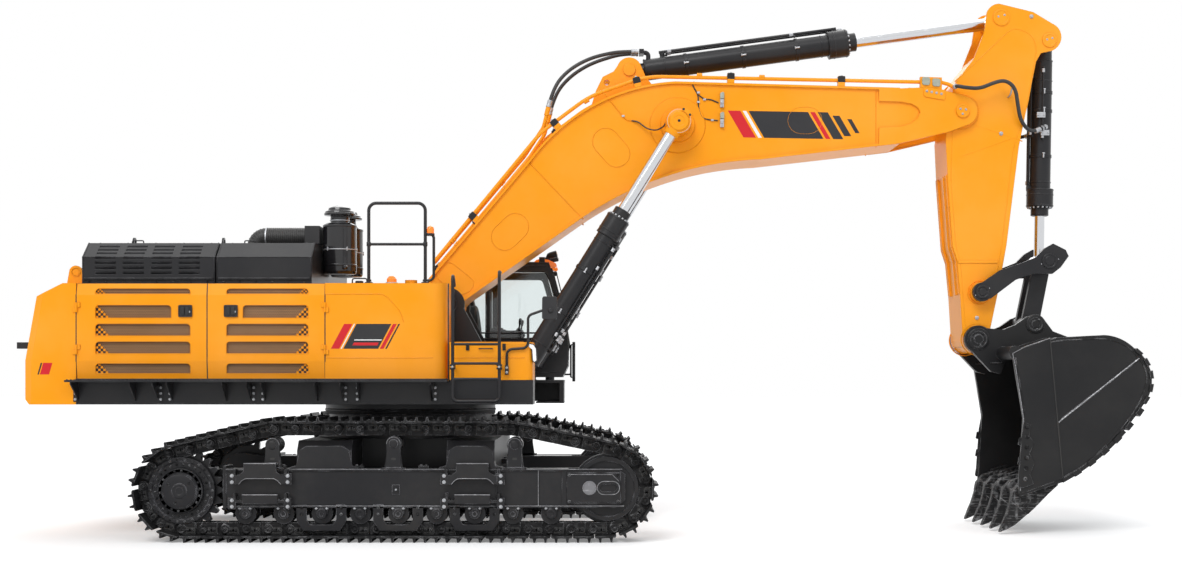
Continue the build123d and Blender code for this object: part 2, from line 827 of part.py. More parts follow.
louvre_count = 4
louvre_margin = 115
louvre_pitch = (hood_split_rear - hood_rear_end - 2 * louvre_margin - 28) / louvre_count
louvre_length = louvre_pitch - 90
louvre_columns = [hood_rear_end + louvre_margin + louvre_pitch * (number + 0.5) for number in range(louvre_count)]
with BuildPart() as hood_rear:
    front_prism(hood_section(0), hood_rear_end, hood_split_rear)
    front_prism(hood_section(hood_wall), hood_rear_end + hood_wall, hood_split_rear - hood_wall, Mode.SUBTRACT)
    for side in (-1, 1):
        low, high = span(side, hood_half_width, hood_half_width + 14)
        block(hood_rear_end + 20, hood_split_rear - 20, low, high, house_top + 40, house_top + 75)
        for x in louvre_columns:
            for row in range(4):
                z = house_top + 120 + row * 62
                low, high = span(side, hood_half_width - 15, hood_half_width)
                block(x - louvre_length / 2, x + louvre_length / 2, low, high, z, z + 28, Mode.SUBTRACT)
            for row in range(3):
                share = 0.22 + 0.24 * row
                y = hood_half_width - (hood_half_width - hood_crown) * share
                z = hood_shoulder + (hood_top - hood_shoulder) * share
                low, high = span(side, y - 30, y + 6)
                block(x - louvre_length / 2, x + louvre_length / 2, low, high, z - 4, z + 40, Mode.SUBTRACT)
    for x in (hood_rear_end + 405, hood_split_rear - 83):
        with BuildSketch(Plane.YZ.offset(x - 12)) as ring:
            with Locations((-600, hood_top + 55)):
                Circle(62)
                Circle(36, mode=Mode.SUBTRACT)
        extrude(ring.sketch, amount=24)

with BuildPart() as hood_front:
    front_prism(hood_section(0), hood_split_front, hood_front_end)
    front_prism(hood_section(hood_wall), hood_split_front + hood_wall, hood_front_end - hood_wall, Mode.SUBTRACT)
    for side in (-1, 1):
        low, high = span(side, hood_half_width, hood_half_width + 14)
        block(hood_split_front + 20, hood_front_end - 20, low, high, house_top + 40, house_top + 75)

# ---------------------------------------------------------------- tank, locker, toolbox
tank_inner = 600
tank_corner = 170
tank_wall = 40
with BuildPart() as fuel_tank:
    with BuildSketch(Plane.XY.offset(deck_high)) as tank_plan:
        with BuildLine():
            FilletPolyline(
                (bay_front, -house_half_width),
                (tank_front, -house_half_width),
                (tank_front, -tank_inner),
                (bay_front, -tank_inner),
                radius=[0, tank_corner, 0, 0],
                close=True,
            )
        make_face()
    extrude(tank_plan.sketch, amount=house_top - deck_high)
    block(
        bay_front + tank_wall,
        tank_front - tank_corner,
        -house_half_width + tank_wall,
        -tank_inner - tank_wall,
        deck_high + tank_wall,
        house_top - tank_wall,
        mode=Mode.SUBTRACT,
    )
    for z in bay_hinges:
        fixed_knuckle(front_hinge_x, -1, house_half_width, z, 1)
    upright_disc((130, -1180), 75, house_top, house_top + 60)
    upright_disc((-520, -1180), 95, house_top, house_top + 25)

locker_front = cab_rear - 60
with BuildPart() as side_locker:
    block(bay_front, locker_front, tank_inner, house_half_width, deck_high, house_top)
    block(
        bay_front + tank_wall,
        locker_front - tank_wall,
        tank_inner + tank_wall,
        house_half_width - tank_wall,
        deck_high + tank_wall,
        house_top - tank_wall,
        mode=Mode.SUBTRACT,
    )

    for z in bay_hinges:
        fixed_knuckle(front_hinge_x, 1, house_half_width, z, 1)

with BuildPart() as control_valves:
    block(-780, -120, -400, 400, deck_high, 2430)
    for y in (-260, 0, 260):
        round_bar((-450, y, 2430), (-450, y, 2520), 55)

lid_thickness = 36
lid_low = toolbox_high - lid_thickness
lid_hinges = (820, 1400)
lid_axis = (hinge_stand - toolbox_inner, lid_low)
with BuildPart() as toolbox:
    box_rear = tank_front + 30
    with BuildSketch(Plane.XY.offset(deck_high)) as toolbox_plan:
        with BuildLine():
            FilletPolyline(
                (box_rear, -house_half_width),
                (toolbox_front, -house_half_width),
                (toolbox_front, -toolbox_inner),
                (box_rear, -toolbox_inner),
                radius=[0, 90, 0, 0],
                close=True,
            )
        make_face()
    extrude(toolbox_plan.sketch, amount=toolbox_high - lid_thickness - seat_fit - deck_high)
    block(
        box_rear + panel,
        toolbox_front - panel - 60,
        -house_half_width + panel,
        -toolbox_inner - panel,
        deck_high + panel,
        toolbox_high,
        mode=Mode.SUBTRACT,
    )
    for x in lid_hinges:
        block(x - hinge_length / 2, x, -toolbox_inner, lid_axis[0], lid_low - hinge_leaf, lid_low - seat_fit)
        round_bar((x - hinge_length / 2, *lid_axis), (x, *lid_axis), hinge_knuckle)
        round_bar((x - hinge_length / 2, *lid_axis), (x + hinge_length / 2, *lid_axis), hinge_pin)

with BuildPart() as toolbox_lid:
    with BuildSketch(Plane.XY.offset(toolbox_high - lid_thickness)) as lid_plan:
        with BuildLine():
            FilletPolyline(
                (box_rear, -house_half_width),
                (toolbox_front, -house_half_width),
                (toolbox_front, -toolbox_inner),
                (box_rear, -toolbox_inner),
                radius=[0, 90, 0, 0],
                close=True,
            )
        make_face()
    extrude(lid_plan.sketch, amount=lid_thickness)
    for x in lid_hinges:
        block(x + seat_fit, x + hinge_length / 2, -toolbox_inner, lid_axis[0], lid_low + seat_fit, toolbox_high - 6)
        round_bar((x + seat_fit, *lid_axis), (x + hinge_length / 2, *lid_axis), hinge_knuckle)
        round_bar((x, *lid_axis), (x + hinge_length / 2, *lid_axis), hinge_pin + pin_fit, mode=Mode.SUBTRACT)
    for row in range(4):
        y = -house_half_width + 120 + row * 130
        block(box_rear + 60, toolbox_front - 120, y, y + 60, toolbox_high, toolbox_high + 6)

# ---------------------------------------------------------------- catwalks and rails
bracket_places = (-3150, -2050, -950, 420)
with BuildPart() as catwalks:
    for side in (-1, 1):
        low, high = span(side, house_half_width, catwalk_edge)
        front = catwalk_front if side < 0 else cab_rear - 80
        block(catwalk_rear, front, low, high, deck_high - catwalk_thickness, deck_high)
        for x in bracket_places:
            if x > front - 80:
                continue
            front_prism(
                [
                    (side * house_half_width, deck_high - catwalk_thickness),
                    (side * (catwalk_edge - 40), deck_high - catwalk_thickness),
                    (side * (catwalk_edge - 40), deck_high - 60),
                    (side * house_half_width, deck_low + 40),
                ],
                x,
                x + 12,
            )

rail_radius = 20
rail_bend = 90
ladder_y = -1850
rail_y = -1500
with BuildPart() as handrails:
    # guard rail on the tank
    bent_tube(
        [(-349, rail_y, house_top), (-349, rail_y, 4069), (337, rail_y, 4069), (337, rail_y, house_top)],
        rail_radius,
        rail_bend,
    )
    round_bar((-349, rail_y, 3571), (337, rail_y, 3571), rail_radius - 3)
    bent_tube(
        [(337, rail_y, 3700), (440, rail_y, 3700), (440, rail_y, 3130), (337, rail_y, 3130)],
        rail_radius - 3,
        60,
    )
    # access ladder beside the toolbox, hung on two brackets
    bent_tube(
        [(698, -house_half_width, 3060), (698, ladder_y, 3217), (698, ladder_y, 1670), (1255, ladder_y, 1670),
         (1255, ladder_y, 3217), (1255, -house_half_width - 40, 3217)],
        rail_radius,
        60,
    )
    for z in (1935, 2120, 2350):
        round_bar((698, ladder_y, z), (1255, ladder_y, z), rail_radius - 4)
    for x in (698, 1255):
        round_bar((x, ladder_y, 2080), (x, -house_half_width, 2080), rail_radius - 2)
    # mirror stay on the toolbox
    bent_tube(
        [(1334, -house_half_width - 30, 2010), (1334, -house_half_width - 30, 2290),
         (1590, -house_half_width - 30, 2310), (1590, -house_half_width - 30, 2700),
         (1760, -house_half_width - 30, 2760)],
        rail_radius - 4,
        70,
    )
    round_bar((1334, -house_half_width, 2040), (1334, -house_half_width - 30, 2040), 26)

# ---------------------------------------------------------------- air cleaners and intake duct
cleaner_x = -830
cleaner_radius = 212
cleaner_places = (-640, -60)
with BuildPart() as air_cleaners:
    for y in cleaner_places:
        upright_disc((cleaner_x, y), cleaner_radius, 3270, 3880)
        upright_disc((cleaner_x, y), cleaner_radius + 12, 3700, 3740)
        upright_disc((cleaner_x, y), 110, 3880, 3990)
        with BuildSketch(Plane.XZ) as cap:
            with BuildLine():
                Polyline((0, 3965), (238, 3985), (238, 4020), (120, 4090), (0, 4108), close=True)
            make_face()
        with BuildPart(mode=Mode.PRIVATE) as mushroom:
            revolve(cap.sketch, axis=Axis.Z)
        with Locations((cleaner_x, y, 0)):
            add(mushroom.part)
    block(cleaner_x - 190, cleaner_x + 190, -860, 160, 3250, 3270)
    for y in (-800, -350, 100):
        block(cleaner_x + 60, cleaner_x + 110, y - 25, y + 25, house_top, 3250)

duct_radius = 120
duct_z = 3750
with BuildPart() as intake_duct:
    duct_y = sum(cleaner_places) / 2
    block(cleaner_x - 420, cleaner_x - cleaner_radius - 22, -800, 100, duct_z - 110, duct_z + 110)
    bent_tube(
        [(cleaner_x - 420, duct_y, duct_z), (-1940, duct_y, duct_z), (-1940, duct_y, hood_top)],
        duct_radius,
        125,
    )

# ---------------------------------------------------------------- exhaust
with BuildPart() as exhaust:
    upright_disc((-1500, 950), 95, hood_top, 3700)
    upright_disc((-1500, 950), 80, hood_top + 10, 3701, mode=Mode.SUBTRACT)

# ================================================================ cab
cab_route = [
    (cab_rear, cab_floor),
    (cab_rear, cab_roof - 60),
    (cab_rear + 60, cab_roof),
    (1776, cab_roof),
    (1938, 2940, "arc"),
    (2036, 2361),
    (2036, 2120),
    (1960, cab_floor),
]


def front_strip(inner_inset, outer_inset, x_low, z_low, z_high, y_low, y_high, mode=Mode.ADD):
    """A curved strip that follows the front of the cab between two insets."""
    with BuildSketch(Plane.XZ.offset(-y_high)) as outline:
        route_face(cab_route, outer_inset)
        with BuildSketch(Plane.XZ.offset(-y_high), mode=Mode.PRIVATE) as hollow:
            route_face(cab_route, inner_inset)
        add(hollow.sketch_local, mode=Mode.SUBTRACT)
        with BuildSketch(Plane.XZ.offset(-y_high), mode=Mode.PRIVATE) as region:
            with Locations(((x_low + 2400) / 2, (z_low + z_high) / 2)):
                Rectangle(2400 - x_low, z_high - z_low)
        add(region.sketch_local, mode=Mode.INTERSECT)
    extrude(outline.sketch, amount=y_high - y_low, mode=mode)


side_window = [(380, 2480), (1905, 2480), (1850, 3100), (1740, 3400), (380, 3400)]
door_outline = [
    (cab_door_rear, cab_floor + 70),
    (1880, cab_floor + 70),
    (1925, 2360),
    (1835, 3000),
    (1715, 3440),
    (cab_door_rear, 3440),
]
door_window = [(1040, 2480), (1850, 2480), (1770, 2980), (1665, 3350), (1040, 3350)]
rear_side_window = [(330, 2480), (860, 2480), (860, 3380), (330, 3380)]


def grown(outline, amount):
    """A convex outline moved outwards, or inwards if negative."""
    area = sum(a[0] * b[1] - b[0] * a[1] for a, b in zip(outline, outline[1:] + outline[:1]))
    sense = 1 if area > 0 else -1
    count = len(outline)
    moved = []
    for number in range(count):
        before, here, after = outline[number - 1], outline[number], outline[(number + 1) % count]
        normals = []
        for start, end in ((before, here), (here, after)):
            length = math.dist(start, end)
            normals.append(
                (sense * (end[1] - start[1]) / length, -sense * (end[0] - start[0]) / length)
            )
        lean = 1 + normals[0][0] * normals[1][0] + normals[0][1] * normals[1][1]
        moved.append(
            (
                here[0] + amount * (normals[0][0] + normals[1][0]) / lean,
                here[1] + amount * (normals[0][1] + normals[1][1]) / lean,
            )
        )
    return moved


cab_hinges = (2250, 3230)
windscreen_low = 2200
windscreen_high = 3440
pillar = 75
with BuildPart() as cab_shell:
    route_prism(cab_route, cab_inner, cab_outer)
    route_prism(cab_route, cab_inner + cab_wall, cab_outer - cab_wall, cab_wall, Mode.SUBTRACT)
    side_prism(side_window, cab_inner, cab_inner + cab_wall, mode=Mode.SUBTRACT)
    side_prism(grown(door_outline, door_gap), cab_outer - cab_wall, cab_outer, mode=Mode.SUBTRACT)
    side_prism(rear_side_window, cab_outer - cab_wall, cab_outer, mode=Mode.SUBTRACT)
    block(cab_rear, cab_rear + cab_wall, cab_inner + 120, cab_outer - 120, 2700, 3380, mode=Mode.SUBTRACT)
    block(800, 1500, cab_inner + 180, cab_outer - 180, cab_roof - cab_wall, cab_roof, mode=Mode.SUBTRACT)
    front_strip(
        cab_wall + 1, 0, 1600, windscreen_low, windscreen_high, cab_inner + pillar, cab_outer - pillar,
        mode=Mode.SUBTRACT,
    )
    for z in cab_hinges:
        fixed_knuckle(cab_door_rear, 1, cab_outer, z, -1)
    # rubber feet under the floor
    for x in (380, 1780):
        for y in (cab_inner + 130, cab_outer - 330):
            upright_disc((x, y), 55, deck_high, cab_floor)
    # lamps on the roof's front edge
    for y in (cab_inner + 120, cab_outer - 120):
        block(1640, 1720, y - 60, y + 60, cab_roof, cab_roof + 75)

mirror_stays = (2000, 2385)
mirror_x = 2102
with BuildPart() as mirrors:
    block(1766, 1930, -1680, -1640, 2660, 2920)
    # the left mirror stands ahead of the door's sweep, on two stays from the cab's front corner
    block(mirror_x - 13, mirror_x + 13, cab_outer - 110, cab_outer + 110, 1910, 2450)
    bent_tube(
        [(1900, cab_outer - 35, mirror_stays[0]), (mirror_x - 40, cab_outer - 35, mirror_stays[0]),
         (mirror_x - 40, cab_outer - 35, mirror_stays[1]), (1900, cab_outer - 35, mirror_stays[1])],
        12,
        25,
    )
    for z in (1960, 2420):
        round_bar((mirror_x - 40, cab_outer - 35, z), (mirror_x - 5, cab_outer - 35, z), 10)
    round_bar((mirror_x - 40, cab_outer - 35, 1960), (mirror_x - 40, cab_outer - 35, 2420), 12)
    route_prism(cab_route, cab_inner, cab_outer, -seat_fit, Mode.SUBTRACT)

with BuildPart() as cab_glass:
    low = cab_inner + 20
    side_prism(grown(side_window, -seat_fit), low, low + glass)
    low = cab_outer - 30
    side_prism(grown(rear_side_window, -seat_fit), low, low + glass)
    block(
        cab_rear + 20, cab_rear + 20 + glass, cab_inner + 120 + seat_fit, cab_outer - 120 - seat_fit,
        2700 + seat_fit, 3380 - seat_fit,
    )
    block(
        800 + seat_fit, 1500 - seat_fit, cab_inner + 180 + seat_fit, cab_outer - 180 - seat_fit,
        cab_roof - 30, cab_roof - 20,
    )
    front_strip(
        20 + glass, 20, 1600, windscreen_low + seat_fit, windscreen_high - seat_fit,
        cab_inner + pillar + seat_fit, cab_outer - pillar - seat_fit,
    )

with BuildPart() as cab_door:
    side_prism(door_outline, cab_outer - cab_wall, cab_outer)
    side_prism(door_window, cab_outer - cab_wall, cab_outer, mode=Mode.SUBTRACT)
    for z in cab_hinges:
        door_knuckle(cab_door_rear, 1, cab_outer, z, 1)
    block(1700, 1820, cab_outer, cab_outer + 25, 2330, 2370)

with BuildPart() as cab_door_glass:
    low = cab_outer - 30
    side_prism(grown(door_window, -seat_fit), low, low + glass)

floor_top = cab_floor + cab_wall
seat_y = (cab_inner + cab_outer) / 2
with BuildPart() as operator_seat:
    block(820, 1200, seat_y - 200, seat_y + 200, floor_top, 2300)
    block(760, 1290, seat_y - 250, seat_y + 250, 2300, 2440)
    side_prism([(700, 2400), (840, 2400), (760, 3040), (640, 3040)], seat_y - 240, seat_y + 240)
    for side in (-1, 1):
        low, high = sorted((seat_y + side * 270, seat_y + side * 400))
        block(900, 1420, low, high, 2480, 2600)
        low, high = sorted((seat_y + side * 190, seat_y + side * 400))
        block(900, 1150, low, high, 2260, 2300)
        low, high = sorted((seat_y + side * 275, seat_y + side * 300))
        block(900, 1150, low, high, 2300, 2480)
        round_bar((1360, seat_y + side * 335, 2600), (1390, seat_y + side * 335, 2760), 22)

# ================================================================ doors of the engine bay
door_low = deck_high + 12
door_high = house_top - 5
door_lean = 25  # how far the door's top and bottom edges lean in
grille_bands = (
    # z_low, z_high, share of the band's length cut off at the latch end
    (2960, 3030, 0.0),
    (2670, 2830, 0.2),
    (2455, 2605, 0.0),
    (2240, 2390, 0.0),
    (2000, 2125, 0.0),
)
grille_depth = 14


def make_bay_door(side, rear, front, latch_end):
    """A side door with recessed grille bands; latch_end is 1 at the front, -1 at the rear."""
    with BuildPart() as door:
        face = house_half_width
        front_prism(
            [
                (side * (face - panel), door_low),
                (side * (face - door_lean), door_low),
                (side * face, crease_low),
                (side * face, crease_high),
                (side * (face - door_lean), door_high),
                (side * (face - panel), door_high),
            ],
            rear + door_gap / 2,
            front - door_gap / 2,
        )
        grille_rear = rear + 230
        grille_front = front - 200
        for z_low, z_high, cut in grille_bands:
            low, high = span(side, face - door_lean - grille_depth, face)
            room = (grille_front - grille_rear) * cut
            start = grille_rear + (room if latch_end < 0 else 0)
            end = grille_front - (room if latch_end > 0 else 0)
            side_prism(
                [
                    (start, z_low), (end, z_low), (end, z_high - 30), (end - 30, z_high),
                    (start + 30, z_high), (start, z_high - 30),
                ],
                low,
                high,
                mode=Mode.SUBTRACT,
            )
        for z in bay_hinges:
            if latch_end > 0:
                door_knuckle(rear_hinge_x, side, face, z, 1)
            else:
                door_knuckle(front_hinge_x, side, face, z, -1)
        latch_x = grille_front - 60 if latch_end > 0 else grille_rear + 60
        low, high = span(side, face - door_lean, face + 10)
        block(latch_x - 75, latch_x + 75, low, high, 2690, 2820)
    return door


door_right_rear = make_bay_door(-1, bay_rear, door_split, 1)
door_right_front = make_bay_door(-1, door_split, bay_front, -1)
door_left_rear = make_bay_door(1, bay_rear, door_split, 1)
door_left_front = make_bay_door(1, door_split, bay_front, -1)

# ================================================================ boom
boom_box_end = 6300


boom_heel = (259, 3205)
knee_low = (1548, 4729)
knee_middle = (2400, 5462)
knee_high = (3433, 5741)
boom_tip = (boom_box_end, 5660)
boom_route = [
    boom_heel,
    knee_low,
    (*knee_middle, "arc"),
    knee_high,
    boom_tip,
    (boom_box_end, 4948),
    (4509, 4743),
    (3290, 4520, "arc"),
    (2214, 3981),
    (743, 2945),
    (560, 2740),
    (400, 2790),
]
hub_outer = boom_ear_inner - face_fit
ear_inner = middle_half_eye + face_fit
ear_outer = ear_inner + 80
fork_doubler = 30
cap = 20
cylinder_boss = boom_cylinder_y - boom_cylinder_half_eye - face_fit
with BuildPart() as boom:
    # rim of flanges, then the two webs
    route_prism(boom_route, -boom_flange, boom_flange)
    route_prism(boom_route, -boom_flange, boom_flange, plate, Mode.SUBTRACT)
    for side in (-1, 1):
        low, high = span(side, boom_half_width - plate, boom_half_width)
        route_prism(boom_route, low, high)
    cross_disc(boom_foot, 165, -hub_outer, hub_outer)
    # fork at the tip: inner plate to the pin, and a doubler with a round notch
    for side in (-1, 1):
        low, high = span(side, fork_inner, boom_half_width)
        side_prism(
            [
                (boom_box_end - 250, 5640),
                (6700, 5668),
                (7040, 5580),
                (7165, 5542),
                (7262, 5262),
                (7160, 5182),
                (6920, 5095),
                (boom_box_end - 250, 4935),
            ],
            low,
            high,
        )
        cross_disc(arm_pivot, 190, low, high)
        low, high = span(side, boom_half_width, boom_flange)
        side_prism(
            [
                (6031, 5640),
                (6700, 5668),
                (7040, 5580),
                (7165, 5542),
                (7262, 5262),
                (7160, 5182),
                (6920, 5095),
                (6286, 4945),
                (6031, 4915),
            ],
            low,
            high,
        )
        cross_disc(arm_pivot, 190, low, high)
        side_prism(
            [(6000, 5150), (6310, 5165), (6440, 5200), (6525, 5270), (6560, 5345), (6530, 5405), (6450, 5455),
             (6310, 5480), (6000, 5490)],
            low,
            high,
            mode=Mode.SUBTRACT,
        )
        low, high = span(side, boom_flange, boom_flange + cap)
        cross_disc(arm_pivot, 72, low, high)
    cross_disc(arm_pivot, arm_pivot_pin, -boom_flange, boom_flange)
    # bosses that carry the boom cylinders' rod eyes
    for side in (-1, 1):
        low, high = span(side, boom_half_width - plate, boom_half_width + 15)
        cross_disc(boom_cylinder_eye, 350, low, high)
        low, high = span(side, boom_half_width, cylinder_boss)
        cross_disc(boom_cylinder_eye, 165, low, high)
        low, high = span(side, boom_half_width, boom_half_width + 70)
        cross_disc(boom_cylinder_eye, 215, low, high)
    cross_disc(boom_cylinder_eye, 150, -boom_half_width, boom_half_width)
    # ears of the arm cylinder, each with a lifting hole
    for side in (-1, 1):
        low, high = span(side, ear_inner, ear_outer)
        side_prism(
            [
                (2330, 5400),
                (2411, 5663),
                (2500, 5845),
                (2640, 5915),
                (2700, 6000),
                (2990, 6000),
                (3060, 5841),
                (3180, 5690),
            ],
            low,
            high,
        )
        cross_disc(arm_cylinder_foot, 160, low, high)
        cross_disc((2553, 5770), 36, low, high, mode=Mode.SUBTRACT)
    inside = boom_half_width - plate
    route_prism(boom_route, -inside, inside, plate, Mode.SUBTRACT)
    cross_disc(boom_foot, 165, -hub_outer, hub_outer)
    cross_disc(boom_foot, boom_foot_pin + pin_fit, -hub_outer, hub_outer, mode=Mode.SUBTRACT)
    cross_disc(boom_cylinder_eye, 150, -boom_half_width, boom_half_width)
    cross_disc(arm_cylinder_foot, foot_pin_radius, -ear_outer - cap, ear_outer + cap)
    for side in (-1, 1):
        low, high = span(side, ear_outer, ear_outer + cap)
        cross_disc(arm_cylinder_foot, 80, low, high)

# ---------------------------------------------------------------- pipes on the boom
pipe_radius = 24
clamp_half = 45
tip_pipe = 388  # distance of the pipe to the tip from the centre plane, outside the arm
foot_pipe = 300  # of the pipe to the arm cylinder
pipe_stand = 88  # from the top flange to the pipe's centre
pipe_turns = 3  # bends over the boom's knee
clamp_places = (900, 1936, 2953, 4136, 5551)
knee_centre = circle_through(knee_low, knee_middle, knee_high)
knee_radius = math.dist(knee_centre, knee_low)
hose_radius = 24
fitting_radius = 31
foot_fitting = (1800, 5430)  # where the hoses to the arm cylinder start
tip_fitting = (6995, 5665)  # where the hoses over the arm start
hose_layer = 475  # the hoses over the arm lie outside this distance from the centre plane


def over_boom(x, height):
    """A point (x, z) at a height over the boom's top flange, and the flange's slope."""
    if x < knee_low[0]:
        start, end = boom_heel, knee_low
    elif x > knee_high[0]:
        start, end = knee_high, boom_tip
    else:
        rise = math.sqrt(knee_radius**2 - (x - knee_centre[0]) ** 2)
        spoke = (x - knee_centre[0], rise)
        share = 1 + height / knee_radius
        slope = math.atan2(-spoke[0], spoke[1])
        return (knee_centre[0] + spoke[0] * share, knee_centre[1] + spoke[1] * share), slope
    slope = math.atan2(end[1] - start[1], end[0] - start[0])
    z = start[1] + (x - start[0]) * math.tan(slope)
    return (x - height * math.sin(slope), z + height * math.cos(slope)), slope


knee_start = math.atan2(knee_low[1] - knee_centre[1], knee_low[0] - knee_centre[0])
knee_end = math.atan2(knee_high[1] - knee_centre[1], knee_high[0] - knee_centre[0])
knee_step = (knee_end - knee_start) / pipe_turns
pipe_route = [over_boom(400, pipe_stand)[0]]
for number in range(pipe_turns):
    angle = knee_start + knee_step * (number + 0.5)
    reach = (knee_radius + pipe_stand) / math.cos(knee_step / 2)
    pipe_route.append((knee_centre[0] + reach * math.cos(angle), knee_centre[1] + reach * math.sin(angle)))
pipe_route.append(over_boom(6600, pipe_stand)[0])
with BuildPart() as boom_pipes:
    for side in (-1, 1):
        bent_tube([(x, side * tip_pipe, z) for x, z in pipe_route], pipe_radius, 1200)
        for x in clamp_places:
            inner = foot_pipe if x < foot_fitting[0] else tip_pipe
            low, high = span(side, inner - 40, tip_pipe + 40)
            corners = []
            for along, height in ((-1, seat_fit), (1, seat_fit), (1, pipe_stand + 40), (-1, pipe_stand + 40)):
                (px, pz), slope = over_boom(x, height)
                shift = along * clamp_half
                corners.append((px + shift * math.cos(slope), pz + shift * math.sin(slope)))
            side_prism(corners, low, high)
        # pipe to the arm cylinder, which leaves the boom before the knee
        route = [over_boom(400, pipe_stand)[0], over_boom(1560, pipe_stand)[0], (1735, 5170), foot_fitting]
        bent_tube([(x, side * foot_pipe, z) for x, z in route], pipe_radius, 180)
        start = offset_from(foot_fitting, route[2], 110)
        round_bar((start[0], side * foot_pipe, start[1]), (foot_fitting[0], side * foot_pipe, foot_fitting[1]), 32)
        # block of couplings on the fork's plate, then an elbow that turns outwards
        low, high = span(side, fork_inner + 3, boom_flange)
        side_prism(
            [(6560, 5662 + seat_fit), (6700, 5668 + seat_fit), (6835, 5633 + seat_fit), (6835, 5790), (6560, 5800)],
            low,
            high,
        )
        elbow = [
            (6835, side * tip_pipe, 5735),
            (6925, side * tip_pipe, 5712),
            (tip_fitting[0], side * (tip_pipe + 22), tip_fitting[1]),
            (tip_fitting[0], side * (hose_layer - seat_fit), tip_fitting[1]),
        ]
        bent_tube(elbow, pipe_radius, 25)
        low, high = span(side, hose_layer - 35, hose_layer - seat_fit)
        cross_disc(tip_fitting, fitting_radius, low, high)

# ================================================================ arm
head_split = 6060  # the head is open between its plates above this height


arm_nose = 180
arm_route = [
    (bucket_pivot[0] - arm_nose, bucket_pivot[1] + 20),
    (7085, 3018),
    (7048, 3461),
    (6989, 3641),
    (6925, 4513),
    (6901, 5030),
    (7000, 5700),
    (7158, 5913),
    (7257, 6036),
    (7392, 6380),
    (7423, 6574),
    (7465, 6700, "arc"),
    (7590, 6752),
    (8024, 6645),
    (8269, 6497),
    (8385, 6310, "arc"),
    (8269, 6151),
    (8123, 6118),
    (8061, 6008),
    (7841, 4929),
    (7681, 3654),
    (7573, 3053),
    (bucket_pivot[0] + 165, bucket_pivot[1] + 90),
    (bucket_pivot[0], bucket_pivot[1] - arm_nose, "arc"),
]
# the closed box of the arm ends below the head
arm_box_route = arm_route[:9] + [(7266, head_split), (8088, head_split)] + arm_route[18:]


eye_boss = middle_half_eye + face_fit
bucket_eye_boss = bucket_cylinder_tube + 3 + face_fit
with BuildPart() as arm:
    route_prism(arm_box_route, -arm_half_width, arm_half_width)
    route_prism(arm_box_route, -arm_half_width, arm_half_width, plate, Mode.SUBTRACT)
    for side in (-1, 1):
        low, high = span(side, arm_half_width - plate, arm_half_width)
        route_prism(arm_route, low, high)
        # head doubler on the web, and inner bosses of the two cylinder pins
        low, high = span(side, eye_boss, arm_half_width - plate)
        cross_disc(arm_cylinder_eye, 120, low, high)
        low, high = span(side, bucket_eye_boss, arm_half_width - plate)
        cross_disc(bucket_cylinder_foot, 105, low, high)
        low, high = span(side, arm_half_width, arm_half_width + 8)
        cross_disc(arm_cylinder_eye, 95, low, high)
        cross_disc(bucket_cylinder_foot, 80, low, high)
    cross_disc(arm_pivot, 185, -arm_boss, arm_boss)
    cross_disc(arm_pivot, arm_pivot_pin + pin_fit, -arm_boss, arm_boss, mode=Mode.SUBTRACT)
    cross_disc(bucket_pivot, 165, -arm_boss, arm_boss)
    cross_disc(bucket_pivot, bucket_pin + pin_fit, -arm_boss, arm_boss, mode=Mode.SUBTRACT)
    cross_disc(bucket_cylinder_foot, foot_pin_radius, -bucket_eye_boss - 20, bucket_eye_boss + 20)
    # bosses and pin stubs of the guide links
    guide_boss = guide_inner - face_fit
    guide_outer = guide_inner + guide_thickness
    for side in (-1, 1):
        low, high = span(side, arm_half_width - plate, guide_boss)
        cross_disc(guide_pivot, 130, low, high)
        low, high = span(side, guide_boss - 20, guide_outer + 12)
        cross_disc(guide_pivot, guide_pin, low, high)
        low, high = span(side, guide_outer + face_fit, guide_outer + 14)
        cross_disc(guide_pivot, guide_pin + 14, low, high)
        # wear strips down the front face, and a cross bar on the web
        low, high = span(side, 150, 190)
        side_prism(
            [(6893, 4560), (6925, 4513), (6989, 3641), (7048, 3461), (7085, 3018), (7060, 3018),
             (7020, 3450), (6962, 3630)],
            low,
            high,
        )
        low, high = span(side, arm_half_width, arm_half_width + 8)
        block(7060, 7570, low, high, 3420, 3460)

# ================================================================ bucket
bucket_lip = (7640, 500)


bucket_route = [
    bucket_lip,
    (8180, 680),
    (8790, 1130, "arc"),
    (9190, 1620),
    (9292, 1940, "arc"),
    (9080, 2310),
    (8920, 2425, "arc"),
    (8700, 2480),
    (8120, 2450),
    (7560, 2275),
    (7700, 1450),
]
floor_slope = (680 - bucket_lip[1]) / (8180 - bucket_lip[0])
floor_rise = bucket_shell / math.cos(math.atan(floor_slope))  # height of the floor plate, measured upright
mouth = [
    (7500, 2180),
    (7900, 2280),
    (7900, bucket_lip[1] + 260 * floor_slope + floor_rise),
    (7560, bucket_lip[1] - 80 * floor_slope + floor_rise),
    (7300, 1400),
]
tooth_places = (-950, -475, 0, 475, 950)
tooth_half = 80
lip_low = 25  # how far the lip stands under the floor
lip_outline = [
    (7650, bucket_lip[1] + 10 * floor_slope - lip_low),
    (8200, bucket_lip[1] + 560 * floor_slope - lip_low),
    (8180, bucket_lip[1] + 540 * floor_slope + bucket_shell),
    (7668, bucket_lip[1] + 28 * floor_slope + bucket_shell),
]
